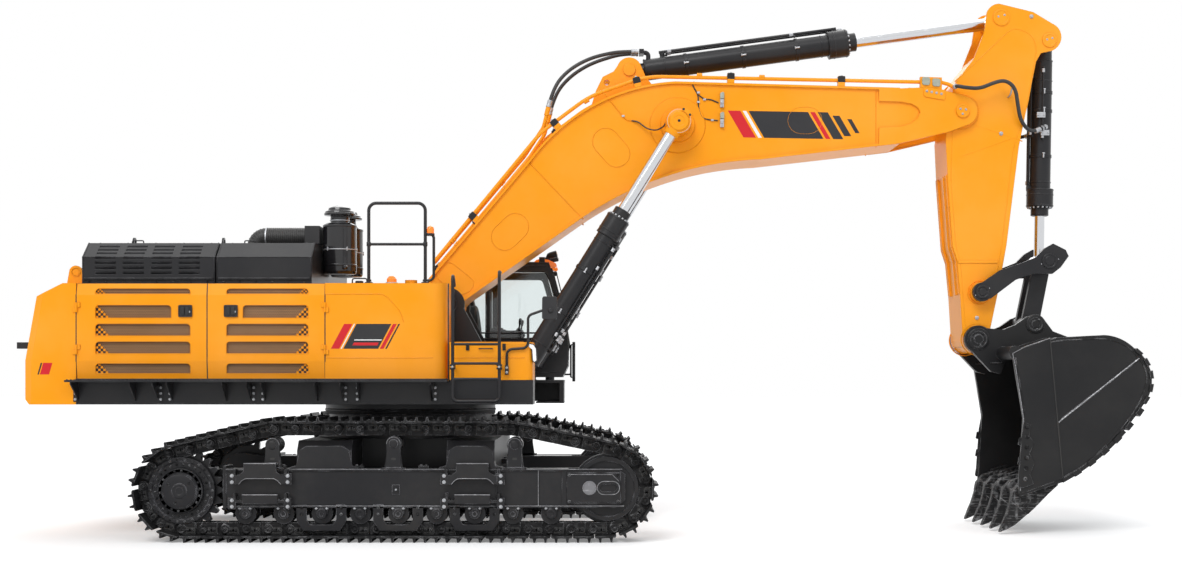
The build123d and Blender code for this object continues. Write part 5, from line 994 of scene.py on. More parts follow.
# grille bands, as (z low, z high, share cut off at the latch end)
BANDS = ((2.96, 3.03, 0.0), (2.67, 2.83, 0.2), (2.455, 2.605, 0.0), (2.24, 2.39, 0.0), (2.0, 2.125, 0.0))


def door_face(z):
    """The distance of a door's outer face from the centre plane at a height; its ends lean in."""
    return HOUSE_SIDE - 0.025 * max(0, (z - 2.948) / 0.14, (2.152 - z) / 0.217)


def build_bay_door(node, side, rear, front, latch_end):
    """Punched sheets, folded rims, corner checks and the latch of one engine bay door."""
    sheets, rims, latch, lock = start_pieces(
        node, (f"{node}_grilles", SHEET), (f"{node}_rims", YELLOW, 0.001), (f"{node}_latch", PLASTIC, 0.003),
        (f"{node}_lock", ZINC, 0.001),
    )
    start, end = rear + 0.23, front - 0.2
    for low, high, cut in BANDS:
        room = (end - start) * cut
        x0 = start + (room if latch_end < 0 else 0)
        x1 = end - (room if latch_end > 0 else 0)
        outline = [(x0, low), (x1, low), (x1, high - 0.03), (x1 - 0.03, high), (x0 + 0.03, high), (x0, high - 0.03)]
        sheets.prism(outline, side * RECESS_FLOOR, side * (RECESS_FLOOR + 0.003))
        corners = [(x, side * (door_face(z) - 0.001), z) for x, z in outline]
        rims.tube(corners, 0.006, 6, closed=True, bend=0.012, steps=3)
        # a chequer of small squares in the outer corner, over a dark corner plate
        check = min(0.03, (high - low) / 3.2)
        edge = x0 if latch_end > 0 else x1
        reach = 5.2 * check
        corner = [(edge, low), (edge + latch_end * reach, low), (edge, min(high, low + reach))]
        latch.prism(corner, side * (RECESS_FLOOR + 0.003), side * (RECESS_FLOOR + 0.008))
        for column in range(5):
            for row in range(min(int((high - low) / check), 5 - column)):
                if (row + column) % 2:
                    continue
                x, z = edge + latch_end * check * column, low + check * row
                near, far = (x + latch_end * check * share for share in (0.05, 0.95))
                rims.plate(side, RECESS_FLOOR + 0.008, 0.01, (near, z + 0.05 * check), (far, z + 0.95 * check))
    x = end - 0.06 if latch_end > 0 else start + 0.06
    face = HOUSE_SIDE + 0.01
    latch.plate(side, face, 0.006, (x - 0.082, 2.684), (x + 0.082, 2.826))
    rim = [(x - 0.078, 2.688), (x + 0.078, 2.688), (x + 0.078, 2.822), (x - 0.078, 2.822)]
    latch.tube(lift(rim, side * (face + 0.008)), 0.007, 6, closed=True, bend=0.02, steps=4)
    for shift, wide in ((-0.028, 0.018), (0.026, 0.022)):
        latch.plate(side, face + 0.006, 0.016, (x + shift - wide, 2.71), (x + shift + wide, 2.8))
    barrel = [(0, 0.012), (0.008, 0.012), (0.008, 0.006)]
    lock.turned((x + 0.05, side * (face + 0.006), 2.745), (0, side, 0), barrel, 14)


# ================================================================ deck, skirt and catwalks
SKIRT_LOW = 1.627
CATWALK = (-3.904, 0.64)
CATWALK_EDGE = 1.95
GUSSETS = (-3.84, -2.87, -2.7, -1.75, -1.58, -0.64, -0.44, 0.44)


def build_skirt(side, word):
    """Seal strips, bolt plates, gussets and the grip edge along one side of the deck."""
    dark, bright, seals, grips = start_pieces(
        "house", (f"skirt_fittings_{word}", BLACK, 0.002), (f"skirt_bolts_{word}", ZINC),
        (f"door_seals_{word}", SEAL, 0.002), (f"catwalk_grip_{word}", BLACK),
    )
    face = side * HOUSE_SIDE
    rear, front = CATWALK[0], CATWALK[1] if side < 0 else 0.143
    for x in DOOR_SEAMS + ((0.626,) if side < 0 else ()):
        for low, high in ((1.935, 2.152), (2.152, 2.948), (2.948, 3.088)):
            outer = [(side * (door_face(z) + 0.0015), z) for z in (low, high)]
            seals.prism(outer + [(y - side * 0.02, z) for y, z in reversed(outer)], x - 0.007, x + 0.007, "x")
    # long black flanges under the doors and along the foot of the skirt
    dark.plate(side, HOUSE_SIDE, 0.012, (rear + 0.04, 1.905), (front, 1.94))
    dark.plate(side, HOUSE_SIDE, 0.01, (rear + 0.04, SKIRT_LOW), (1.64, SKIRT_LOW + 0.02))
    for number, x in enumerate(GUSSETS):
        if x > front:
            continue
        tip = side * (CATWALK_EDGE - 0.03)
        dark.prism([(face, 1.9), (tip, 1.9), (tip, 1.87), (face, 1.68)], x - 0.007, x + 0.007, "x")
        reach = 0.055 if number % 2 else -0.055
        dark.plate(side, HOUSE_SIDE, 0.012, (x, 1.66), (x + reach, 1.86))
        places = [(x + reach * 0.55, face + side * 0.012, z) for z in (1.69, 1.76, 1.83)]
        bright.bolts(places, (0, side, 0), 0.021)
    # grip teeth along the edge and domes on the tread
    for number in range(int((front - rear) / 0.045)):
        x = rear + 0.02 + number * 0.045
        tooth = [(x, 1.92), (x + 0.024, 1.92), (x + 0.02, 1.932), (x + 0.004, 1.932)]
        grips.prism(tooth, side * CATWALK_EDGE, side * (CATWALK_EDGE - 0.012))
    for row in range(5):
        for number in range(int((front - rear) / 0.07)):
            x = rear + 0.05 + number * 0.07 + (row % 2) * 0.035
            y = side * (HOUSE_SIDE + 0.045 + row * 0.062)
            grips.turned((x, y, 1.922), UP, [(0, 0.016), (0.004, 0.012)], 8)


# ================================================================ hoods, air cleaners, duct
HOOD_SIDE, HOOD_CROWN = 1.45, 1.2
HOOD_LOW, HOOD_SHOULDER, HOOD_TOP = 3.093, 3.419, 3.61


def build_hoods():
    """Edge strips, bolts, inner mesh and vane frames on the two hoods."""
    trims, bolts, mesh = start_pieces(
        "house", ("hood_trims", BLACK, 0.0015), ("hood_bolts", DARK_STEEL), ("hood_mesh", SEAL)
    )
    for start, end, count in ((-3.845, -2.227, 8), (-2.21, -1.05, 6)):
        for side in (-1, 1):
            near = HOOD_SIDE + 0.002
            outline = [(near, HOOD_LOW), (near, HOOD_SHOULDER), (HOOD_CROWN, HOOD_TOP + 0.002)]
            for x in (start + 0.012, end - 0.012):
                trims.tube([(x, side * y, z) for y, z in outline], 0.007, 6)
            trims.tube(lift([(start, HOOD_SHOULDER), (end, HOOD_SHOULDER)], side * (HOOD_SIDE + 0.001)), 0.006, 6)
            trims.plate(side, HOOD_SIDE, 0.03, (start + 0.03, HOOD_LOW + 0.055), (end - 0.03, HOOD_LOW + 0.072))
            places = [(x, side * HOOD_SIDE, HOOD_LOW + 0.025) for x in steps_between(start + 0.09, end - 0.09, count)]
            bolts.bolts(places, (0, side, 0), 0.018)
        places = [(x, y, HOOD_TOP) for x in steps_between(start + 0.12, end - 0.12, 5) for y in (-1.1, 1.1)]
        bolts.bolts(places, UP, 0.018)
    # a fine mesh behind the vents, and a vane in each slot
    for side in (-1, 1):
        mesh.plate(side, HOOD_SIDE - 0.022, 0.003, (-3.76, 3.19), (-2.34, 3.4))
        inner, outer = side * (HOOD_SIDE - 0.016), side * (HOOD_SIDE + 0.006)
        for x in steps_between(-3.56, -2.54, 4):
            for z in steps_between(HOOD_LOW + 0.134, HOOD_LOW + 0.32, 4):
                vane = [(inner, z - 0.012), (outer, z + 0.006), (outer, z + 0.012), (inner, z - 0.006)]
                trims.prism(vane, x - 0.122, x + 0.122, "x")
    # handles and hinges on top
    for x in (-3.3, -1.9):
        trims.handle((x - 0.07, -0.95, HOOD_TOP), (x + 0.07, -0.95, HOOD_TOP), (0, 0, 0.05), 0.008, 0.02)
    for x in (-3.6, -2.5, -2.0, -1.3):
        trims.bar((x - 0.06, 0.0, HOOD_TOP + 0.008), (x + 0.06, 0.0, HOOD_TOP + 0.008), 0.012, 12)


CLEANERS = ((-0.83, -0.64), (-0.83, -0.06))
CLEANER_FORM = [
    (0, 0.06), (0.01, 0.19), (0.03, 0.208), (0.05, 0.21), (0.105, 0.21), (0.108, 0.215), (0.128, 0.215), (0.131, 0.21),
    (0.6, 0.21), (0.603, 0.215), (0.626, 0.215), (0.63, 0.208), (0.652, 0.17), (0.658, 0.118), (0.69, 0.113),
    (0.7, 0.12), (0.725, 0.12), (0.73, 0.108), (0.745, 0.108), (0.752, 0.196), (0.775, 0.2), (0.782, 0.19),
    (0.8, 0.185), (0.815, 0.15), (0.845, 0.14), (0.86, 0.1), (0.875, 0.05), (0.88, 0.01),
]
DUCT_Y, DUCT_Z = -0.35, 3.75


def build_air_cleaners():
    """Bands, ribs, precleaner fins and clips on the two air cleaners, and the ribbed duct."""
    dark = Piece("air_cleaner_cans", "house", GLOSS_BLACK, 0.0015, replaces="air_cleaners")
    bright, hose = start_pieces("house", ("air_cleaner_clamps", ZINC, 0.001), ("intake_duct_ribs", RUBBER))
    for x, y in CLEANERS:
        dark.turned((x, y, 3.25), UP, CLEANER_FORM, 64)
        for z, wide in ((3.56, 0.213), (3.93, 0.122)):
            bright.turned((x, y, z), UP, [(0, wide), (0.001, wide + 0.004), (0.013, wide + 0.004), (0.014, wide)], 56)
        for angle in fan(32):
            dark.bar((*polar(x, y, 0.11, angle), 3.975), (*polar(x, y, 0.112, angle), 4.0), 0.006, 5)
        for angle in (-2.2, -1.0, 0.3, 1.6):
            clip = polar(x, y, 0.217, angle)
            bright.tube([(*clip, 3.545), (*clip, 3.595)], 0.008, 6)
        # drain valve
        dark.turned((x + 0.1, y - 0.19, 3.34), (0, -0.81, -0.04), [(0, 0.03), (0.05, 0.03), (0.07, 0.018)], 18)
    # the duct's ribs, its elbow's ribs and two clamps
    for number in range(22):
        rib = [(0, 0.1195), (0.006, 0.1265), (0.012, 0.1265), (0.018, 0.1195)]
        hose.turned((-1.262 - 0.025 * number, DUCT_Y, DUCT_Z), (-1, 0, 0), rib, 36)
    for number in range(8):
        angle = math.radians(6 + 11 * number)
        centre = (-1.815 - 0.125 * math.sin(angle), DUCT_Y, 3.625 + 0.125 * math.cos(angle))
        rib = [(0, 0.1195), (0.005, 0.125), (0.01, 0.125), (0.015, 0.1195)]
        hose.turned(centre, (-math.cos(angle), 0, -math.sin(angle)), rib, 36)
    for x in (-1.252, -1.8):
        bright.turned((x, DUCT_Y, DUCT_Z), (-1, 0, 0), [(0, 0.122), (0.0, 0.13), (0.016, 0.13), (0.016, 0.122)], 48)


# ================================================================ counterweight, tank, toolbox
def slanted(x, z, length, height, lean):
    """A parallelogram's corners from its lower rear corner."""
    return [(x, z), (x + length, z), (x + length + lean, z + height), (x + lean, z + height)]


def build_stripes(name, word, side, face, rows):
    """Thin films on a side face, from rows of a colour, a height over the face and (x, z) corners."""
    films = {
        colour: Piece(f"{name}_{colour}_{word}", name.split("_")[0], film)
        for colour, film in (("red", RED_FILM), ("grey", GREY_FILM), ("pale", PALE_FILM))
    }
    for colour, raised, corners in rows:
        films[colour].prism(corners, side * (face + raised), side * (face + raised + 0.0012))


HOUSE_STRIPES = (
    ("grey", 0, slanted(-0.64, 2.3, 0.42, 0.3, 0.16)), ("red", 0, slanted(-0.79, 2.3, 0.1, 0.3, 0.16)),
    ("red", 0, slanted(-0.2, 2.3, 0.045, 0.3, 0.16)), ("red", 0.0013, slanted(-0.53, 2.34, 0.3, 0.035, 0.019)),
    ("pale", 0, slanted(-0.672, 2.3, 0.014, 0.3, 0.16)), ("pale", 0.0013, slanted(-0.51, 2.4, 0.33, 0.012, 0.0064)),
    ("grey", 0, slanted(-0.135, 2.3, 0.02, 0.3, 0.16)), ("red", 0, slanted(-4.3, 1.99, 0.11, 0.14, 0.04)),
    ("grey", 0, slanted(-4.33, 1.99, 0.018, 0.14, 0.04)),
)


HOUSE_TOP = 3.093
RAIL_POSTS, RAIL_Y = (-0.349, 0.337), -1.5


def build_house_details():
    """Creases, caps, clips, handles and lamps on the house."""
    yellow, dark, bright, amber, lens = start_pieces(
        "house", ("house_creases", YELLOW), ("house_fittings", BLACK, 0.002), ("house_bright_fittings", ZINC),
        ("amber_caps", AMBER, 0.001), ("house_lamps", CLEAR, 0.003),
    )
    # pressed crease on the tank, and seams of the tank and the toolbox
    crease = [(-0.855, 2.96), (-0.137, 2.96), (0.044, 2.755), (0.09, 2.62)]
    yellow.tube(lift(crease, -HOUSE_SIDE), 0.006, bend=0.08)
    for start, end in ((-0.855, 0.44), (0.66, 1.55)):
        yellow.tube([(start, -HOUSE_SIDE, 2.19), (end, -HOUSE_SIDE, 2.19)], 0.005)
    # filler cap, breather and step pads on the tank; rail feet and knobs; the amber beacon
    for piece, place, sides, profile in (
        (amber, (-0.08, -1.42, HOUSE_TOP), 28, [(0, 0.06), (0.06, 0.06), (0.068, 0.052), (0.075, 0.05), (0.095, 0.03)]),
        (bright, (-0.08, -1.42, HOUSE_TOP), 28, [(0, 0.075), (0.014, 0.075), (0.02, 0.066)]),
        (dark, (-0.47, -1.45, HOUSE_TOP), 24, [(0, 0.05), (0.03, 0.05), (0.036, 0.04)]),
        (amber, (0.4, RAIL_Y, 3.7), 24, [(0, 0.042), (0.05, 0.044), (0.08, 0.036), (0.095, 0.015)]),
        (dark, (0.4, RAIL_Y, 3.672), 24, [(0, 0.05), (0.03, 0.05)]),
    ):
        piece.turned(place, UP, profile, sides)
    for x in RAIL_POSTS:
        dark.turned((x, RAIL_Y, HOUSE_TOP), UP, [(0, 0.05), (0.014, 0.05), (0.02, 0.034), (0.05, 0.03)], 24)
        dark.turned((x, RAIL_Y, 3.545), UP, [(0, 0.024), (0.004, 0.027), (0.05, 0.027), (0.054, 0.024)], 20)
        heads = [(*polar(x, RAIL_Y, 0.036, angle), HOUSE_TOP + 0.014) for angle in fan(4, math.pi / 4)]
        bright.bolts(heads, UP, 0.014, washer=False)
    dark.handle((-0.56, -1.42, 3.09), (-0.38, -1.42, 3.09), (0, 0, 0.07), 0.009, 0.03)
    for x in steps_between(-0.75, 0.39, 7):
        dark.block((x, -1.38, 3.092), (x + 0.12, -1.0, 3.099))
    # ladder clamps and the mirror's clamp
    for x in (0.698, 1.255):
        for z in (2.06, 2.1):
            dark.boxed((x, -1.85, z), (0.032, 0.032, 0.012))
        bright.bolts([(x, -1.885, 2.08)], (0, -1, 0), 0.018)
    bright.bolts([(1.334, -1.672, 2.015), (1.334, -1.672, 2.07)], (0, -1, 0), 0.02)
    dark.block((1.312, -1.672, 1.985), (1.356, -1.648, 2.1))
    # toolbox: handle, latches and the corner lamp
    dark.handle((1.0, -1.62, 2.3), (1.16, -1.62, 2.3), (0, -0.035, 0), 0.008, 0.02)
    for x in (0.86, 1.3):
        dark.boxed((x, -1.629, 2.32), (0.02, 0.009, 0.04))
    lamp = [(1.598, 2.36), (1.655, 2.345), (1.682, 2.3), (1.69, 2.16), (1.665, 2.14), (1.648, 2.16), (1.64, 2.29)]
    lens.prism([*lamp, (1.6, 2.32)], -1.634, -1.54)
    frame = [(1.61, 2.366), (1.662, 2.352), (1.69, 2.302), (1.697, 2.15), (1.668, 2.13), (1.64, 2.15), (1.63, 2.28)]
    dark.prism(frame, -1.622, -1.53)
    # rims of the lifting eyes, a tail lamp and its frame on each side of the counterweight
    for side in (-1, 1):
        for y, way in ((1.27, side), (1.21, -side)):
            rim = [(0, 0.062), (0.006, 0.06), (0.006, 0.046), (-0.01, 0.045)]
            yellow.turned((-3.978, side * y, 3.248), (0, way, 0), rim, 32)
        lens.block((-4.757, side * 1.05 - 0.06, 2.32), (-4.6, side * 1.05 + 0.06, 2.38))
        dark.block((-4.754, side * 1.05 - 0.07, 2.31), (-4.6, side * 1.05 + 0.07, 2.39))


def build_mirrors():
    """Rounded housings with faces over the mirrors' plates."""
    shells = Piece("mirror_housings", "house", PLASTIC, 0.008, steps=3)
    faces, knobs = start_pieces("house", ("mirror_faces", MIRROR, 0.001), ("mirror_knobs", PLASTIC, 0.002))
    outline = [(1.772, 2.652), (1.93, 2.652), (1.938, 2.67), (1.938, 2.9), (1.925, 2.93), (1.775, 2.93), (1.76, 2.905)]
    shells.prism([*outline, (1.758, 2.67)], -1.685, -1.636)
    knobs.turned((1.86, -1.686, 2.76), (0, -1, 0), [(0, 0.032), (0.012, 0.032), (0.02, 0.022), (0.03, 0.02)], 24)
    knobs.turned((1.79, -1.65, 2.745), (0, -1, 0), [(0, 0.02), (0.03, 0.02)], 18)
    faces.block((1.78, -1.6355, 2.68), (1.916, -1.6325, 2.9))
    shells.prism(mirrored([(1.786, 1.9), (1.774, 1.93), (1.774, 2.43), (1.786, 2.46)], 1.9), 2.084, 2.124, "x")
    faces.prism([(1.8, 1.94), (2.0, 1.94), (2.0, 2.42), (1.8, 2.42)], 2.081, 2.084, "x")


# ================================================================ boom
BOOM_SIDE, ARM_SIDE = 0.4, 0.35
ARM_PIVOT = (7.101, 5.363)
ROD_EYE = (3.456, 5.183)
BOOM_CYLINDER_FOOT = (1.462, 1.985)
ARM_CYLINDER = ((2.843, 5.936), (7.615, 6.576))
BUCKET_CYLINDER = ((8.234, 6.284), (8.188, 3.438))
BUCKET_PIVOT, LINK_PIN, GUIDE_PIVOT = (7.298, 2.445), (8.026, 2.638), (7.333, 3.044)
FORK_FACE, GUIDE_FACE = 0.45, 0.5205


def arc_centre(first, middle, last):
    """The centre of the circle through three points."""
    (ax, az), (bx, bz), (cx, cz) = first, middle, last
    twice = 2 * (ax * (bz - cz) + bx * (cz - az) + cx * (az - bz))
    a, b, c = ax * ax + az * az, bx * bx + bz * bz, cx * cx + cz * cz
    x = a * (bz - cz) + b * (cz - az) + c * (az - bz)
    z = a * (cx - bx) + b * (ax - cx) + c * (bx - ax)
    return x / twice, z / twice


def circle(x, z, radius, count=48):
    """Even points on a circle."""
    return [polar(x, z, radius, angle) for angle in fan(count)]


def weld(piece, corners, y, radius=0.006, closed=True):
    """A weld bead along corners on a face."""
    piece.tube(lift(corners, y), radius, 6, closed)


BOOM_BEADS = (
    # corners, distance from the centre plane, radius, closed
    (stadium(2.607, 4.899, 0.105, 0.172, -49), BOOM_SIDE, 0.006, True),
    (stadium(1.311, 3.821, 0.095, 0.172, 44), BOOM_SIDE, 0.006, True),
    (stadium(5.087, 5.245, 0.05, 0.17, 0), BOOM_SIDE, 0.003, True),
    ([(1.567, 4.7), (2.25, 3.98)], BOOM_SIDE, 0.009, False), ([(5.995, 5.62), (5.995, 4.9)], BOOM_SIDE, 0.007, False),
    (circle(*ROD_EYE, 0.352, 64), 0.401, 0.008, True), (circle(*ROD_EYE, 0.217), 0.416, 0.008, True),
    # the fork plate's edge
    (
        [(6.31, 5.48), (6.45, 5.455), (6.53, 5.405), (6.56, 5.345), (6.525, 5.27), (6.44, 5.2), (6.31, 5.165)],
        0.402, 0.009, False,
    ),
)


PIPE_CLAMP = (
    (-0.05, -0.03), (-0.035, -0.05), (0.035, -0.055), (0.05, -0.035), (0.05, 0.03), (0.035, 0.045), (-0.035, 0.05),
    (-0.05, 0.035),
)


def build_boom_side(side, word):
    """Weld beads, pin caps, clamps and grease lines on one web of the boom."""
    beads, caps, bolts, lines, clamps = start_pieces(
        "boom", (f"boom_welds_{word}", YELLOW), (f"boom_pin_caps_{word}", YELLOW, 0.0025),
        (f"boom_bolts_{word}", ZINC, 0.001), (f"boom_grease_lines_{word}", RUBBER),
        (f"boom_clamps_{word}", OLIVE_ZINC, 0.002),
    )
    out, face = (0, side, 0), side * BOOM_SIDE
    for corners, y, radius, closed in BOOM_BEADS:
        weld(beads, corners, side * y, radius, closed)
    hatch = [(0.37, 3.37), (0.535, 3.45), (0.87, 3.18), (0.8, 3.05), (0.645, 3.005), (0.36, 3.24)]
    beads.tube(lift(hatch, face), 0.006, 6, closed=True, bend=0.09, steps=5)
    # pin caps on the fork and on the foot
    cap = [(-0.018, 0.088), (0.002, 0.088), (0.006, 0.083), (0.006, 0.066), (-0.001, 0.064)]
    caps.turned((ARM_PIVOT[0], side * FORK_FACE, ARM_PIVOT[1]), out, cap, 40)
    bolts.bolts(on_ring(ARM_PIVOT, side * FORK_FACE, 0.04, (0.4, 2.5, 4.6)), out, 0.02)
    caps.turned((0.526, side * 0.4345, 2.891), out, [(-0.01, 0.12), (0.0, 0.12)], 40)
    # the couplings' plate, two clamps and a row of bolts
    plate = [(6.62, 5.54), (6.86, 5.5), (6.88, 5.53), (6.87, 5.63), (6.6, 5.665), (6.6, 5.57)]
    caps.prism(plate, side * 0.43, side * 0.442)
    for x, z in ((6.63, 5.745), (6.762, 5.728)):
        clamps.prism([(x + along, z + up) for along, up in PIPE_CLAMP], side * 0.43, side * 0.446)
    bolts.bolts([(6.64 + 0.062 * n, side * 0.442, 5.615 - 0.012 * n) for n in range(4)], out, 0.022)
    # grease lines from the top flange to the cylinder's pin and to the pair of valves
    on = side * (BOOM_SIDE + 0.008)
    beads.tube(lift([(2.51, 5.6), (2.704, 5.363), (2.799, 5.251), (2.87, 5.241)], on), 0.006, bend=0.04)
    free = [
        (2.87, on, 5.241), (2.95, side * 0.43, 5.225), (3.06, side * 0.46, 5.13), (3.18, side * 0.5, 5.1),
        (3.27, side * 0.58, 5.14), (3.3, side * 0.6, 5.19),
    ]
    lines.tube(free, 0.009, 10, bend=0.06, steps=8)
    long_line = [(3.67, 5.74), (3.645, 5.7), (3.72, 5.571), (3.722, 5.41), (3.77, 5.275), (3.87, 5.25), (3.97, 5.243)]
    lines.tube(lift(long_line, on), 0.008, bend=0.05)
    lines.tube(lift([(3.72, 5.571), (3.8, 5.515), (3.88, 5.512), (3.98, 5.47)], on), 0.008, bend=0.03, steps=5)
    for x, z in ((2.76, 5.3), (3.722, 5.48), (3.8, 5.512), (3.9, 5.248), (3.722, 5.6)):
        bolts.plate(side, BOOM_SIDE, 0.022, (x - 0.018, z - 0.012), (x + 0.018, z + 0.012))
    for z in (5.5, 5.245):
        valve = [(4.0, z + 0.02), (4.05, z + 0.02), (4.05, z + 0.09), (4.035, z + 0.105), (4.0, z + 0.09)]
        clamps.prism(valve, face, face + side * 0.05)
        bolts.plate(side, BOOM_SIDE, 0.042, (4.0, z - 0.09), (4.046, z + 0.015))
        nipple = [(0, 0.02), (0.012, 0.02), (0.012, 0.012), (0.02, 0.012)]
        bolts.turned((4.023, face + side * 0.042, z - 0.03), out, nipple, 16)
        bolts.bolts([(4.023, face + side * 0.042, z - 0.07)], out, 0.018)


def boom_bar(x, length, foot=0.0, share=1.0):
    """A slanted bar of the boom's band, which falls gently towards the tip; foot and share cut its height."""
    low, tall, lean, fall = 5.03, 0.34, -0.2, 0.018
    corners = slanted(x + lean * foot, low + tall * foot, length, tall * share, lean * share)
    return [(x, z - fall * (x - 4.2)) for x, z in corners]


BOOM_STRIPES = (
    ("red", 0, boom_bar(4.3, 0.16)), ("pale", 0, boom_bar(4.49, 0.045)), ("grey", 0, boom_bar(4.565, 0.76)),
    ("red", 0, boom_bar(5.355, 0.06)), ("grey", 0, boom_bar(5.45, 0.13)),
    ("grey", 0, boom_bar(5.615, 0.09, 0.12, 0.76)), ("grey", 0, boom_bar(5.78, 0.055, 0.24, 0.52)),
)

# ---------------------------------------------------------------- pipes on the boom
KNEE = ((1.548, 4.729), (2.4, 5.462), (3.433, 5.741))
BOOM_HEEL, BOOM_TIP = (0.259, 3.205), (6.3, 5.66)


def above_boom(x, height):
    """A point (x, z) over the boom's top flange, and the flange's slope there."""
    if x < KNEE[0][0] or x > KNEE[2][0]:
        start, end = (BOOM_HEEL, KNEE[0]) if x < KNEE[0][0] else (KNEE[2], BOOM_TIP)
        slope = math.atan2(end[1] - start[1], end[0] - start[0])
        z = start[1] + (x - start[0]) * math.tan(slope)
        return (x - height * math.sin(slope), z + height * math.cos(slope)), slope
    mx, mz = arc_centre(*KNEE)
    radius = math.dist((mx, mz), KNEE[0])
    rise = math.sqrt(radius**2 - (x - mx) ** 2)
    share = 1 + height / radius
    return (mx + (x - mx) * share, mz + rise * share), math.atan2(-(x - mx), rise)


def build_pipe_clamps():
    """Rubber-lined clamps over the boom's pipes, with their bolts, and nuts along the pipes."""
    clamps, bolts, nuts = start_pieces(
        "boom", ("boom_pipe_clamps", BLACK, 0.003), ("boom_pipe_bolts", ZINC), ("boom_pipe_nuts", YELLOW, 0.001)
    )
    outline = mirrored([(-0.047, 0.05), (-0.047, 0.118), (-0.035, 0.13)])
    for x, inner in ((0.9, 0.26), (1.936, 0.348), (2.953, 0.348), (4.136, 0.348), (5.551, 0.348)):
        corners = []
        for along, height in outline:
            place, slope = above_boom(x, height)
            corners.append(polar(*place, along, slope))
        (top_x, top_z), slope = above_boom(x, 0.13)
        for side in (-1, 1):
            clamps.prism(corners, side * (inner - 0.002), side * 0.43)
            places = [(top_x, side * y, top_z) for y in (inner + 0.012, 0.415)]
            bolts.bolts(places, (-math.sin(slope), 0, math.cos(slope)), 0.022)
    nut = [(0, 0.03), (0.004, 0.034), (0.03, 0.034), (0.034, 0.029), (0.04, 0.034), (0.066, 0.034), (0.07, 0.03)]
    for x, y in ((0.62, 0.3), (1.25, 0.3), (3.7, 0.388), (4.5, 0.388), (0.62, 0.388), (2.3, 0.388)):
        (pipe_x, pipe_z), slope = above_boom(x, 0.088)
        for side in (-1, 1):
            nuts.turned((pipe_x, side * y, pipe_z), (math.cos(slope), 0, math.sin(slope)), nut, 6)


# ================================================================ arm
RIDGE = [
    (7.02, 5.751), (7.747, 6.436), (7.897, 6.414), (8.025, 6.328), (8.068, 6.179), (8.034, 5.943), (7.94, 5.409),
    (7.775, 4.93), (7.62, 3.66), (7.515, 3.06),
]
ARM_FRONT = [(6.985, 5.1), (6.965, 4.52), (7.03, 3.64), (7.088, 3.46), (7.12, 3.0), (7.15, 2.62)]


def build_arm_side(side, word):
    """Raised rim, welds, pin caps and fittings on one web of the arm."""
    beads, caps, bolts, black = start_pieces(
        "arm", (f"arm_welds_{word}", YELLOW), (f"arm_pin_caps_{word}", YELLOW, 0.002),
        (f"arm_bolts_{word}", ZINC, 0.001), (f"guide_pin_caps_{word}", BLACK, 0.002),
    )
    # the beads sit 5 mm deep in the web, so the fork's cheeks stay clear of them
    out, face, sunk = (0, side, 0), side * ARM_SIDE, side * (ARM_SIDE - 0.005)
    beads.tube(lift(RIDGE, sunk), 0.0095, bend=0.14, steps=8)
    beads.tube(lift(ARM_FRONT, sunk), 0.008, bend=0.1)
    for line in ([(7.292, 5.188), (7.886, 4.987)], [(7.084, 4.784), (7.773, 5.028)]):
        weld(beads, line, sunk, 0.007, closed=False)
    weld(beads, circle(*ARM_PIVOT, 0.225), sunk, 0.009)
    weld(beads, circle(*GUIDE_PIVOT, 0.15), face, 0.008)
    weld(beads, circle(*BUCKET_PIVOT, 0.2), sunk, 0.008)
    for (x, z), radius in ((ARM_CYLINDER[1], 0.098), (BUCKET_CYLINDER[0], 0.083)):
        start = side * 0.358
        cap = [(-0.008, 0.012), (0.004, 0.012), (0.007, 0.006), (0.007, -0.014), (0.002, -0.016)]
        caps.turned((x, start, z), out, [(along, radius + more) for along, more in cap], 44)
        places = [(x + radius * 0.4, start, z + radius * 0.3), (x - radius * 0.4, start, z + radius * 0.1)]
        bolts.bolts(places, out, 0.018)
    # black caps on the guide links' pins, with their small lock bolts
    cap = [(0, 0.088), (0.022, 0.088), (0.028, 0.082), (0.028, 0.064), (0.02, 0.06), (0.02, 0.048), (0.03, 0.044)]
    black.turned((GUIDE_PIVOT[0], side * GUIDE_FACE, GUIDE_PIVOT[1]), out, cap, 44)
    bolts.bolts(on_ring(GUIDE_PIVOT, side * GUIDE_FACE, 0.099, (0.5, 3.6)), out, 0.013, washer=False)
    # plugs and the clip of the hose
    for x, z in ((7.3, 2.72), (8.0, 6.588), (7.61, 5.085)):
        bolts.turned((x, face, z), out, [(0, 0.028), (0.008, 0.028), (0.01, 0.018), (0.024, 0.016)], 6)
    bolts.tube([(7.7, face, 5.55), (7.715, side * 0.41, 5.57), (7.735, side * 0.475, 5.7)], 0.012, bend=0.03)


def build_arm_front():
    """Narrow wear strips down the arm's front flange."""
    strips = Piece("arm_wear_strips", "arm", YELLOW, 0.003)
    line = [(6.893, 4.56), (6.962, 3.63), (7.02, 3.45), (7.06, 3.03)]
    for y in (-0.3, -0.22, 0.22, 0.3):
        for (ax, az), (bx, bz) in zip(line, line[1:]):
            strips.prism([(ax + 0.014, az), (bx + 0.014, bz), (bx + 0.06, bz), (ax + 0.06, az)], y - 0.018, y + 0.018)


# ================================================================ cylinders
def along_cylinder(foot, eye, y, distance, drift=0.0):
    """A point at a distance from the foot pin, moved sideways in the plane by drift."""
    heading = Vector((eye[0] - foot[0], 0, eye[1] - foot[1])).normalized()
    return Vector((foot[0], y, foot[1])) + heading * distance + Vector((heading.z, 0, -heading.x)) * drift


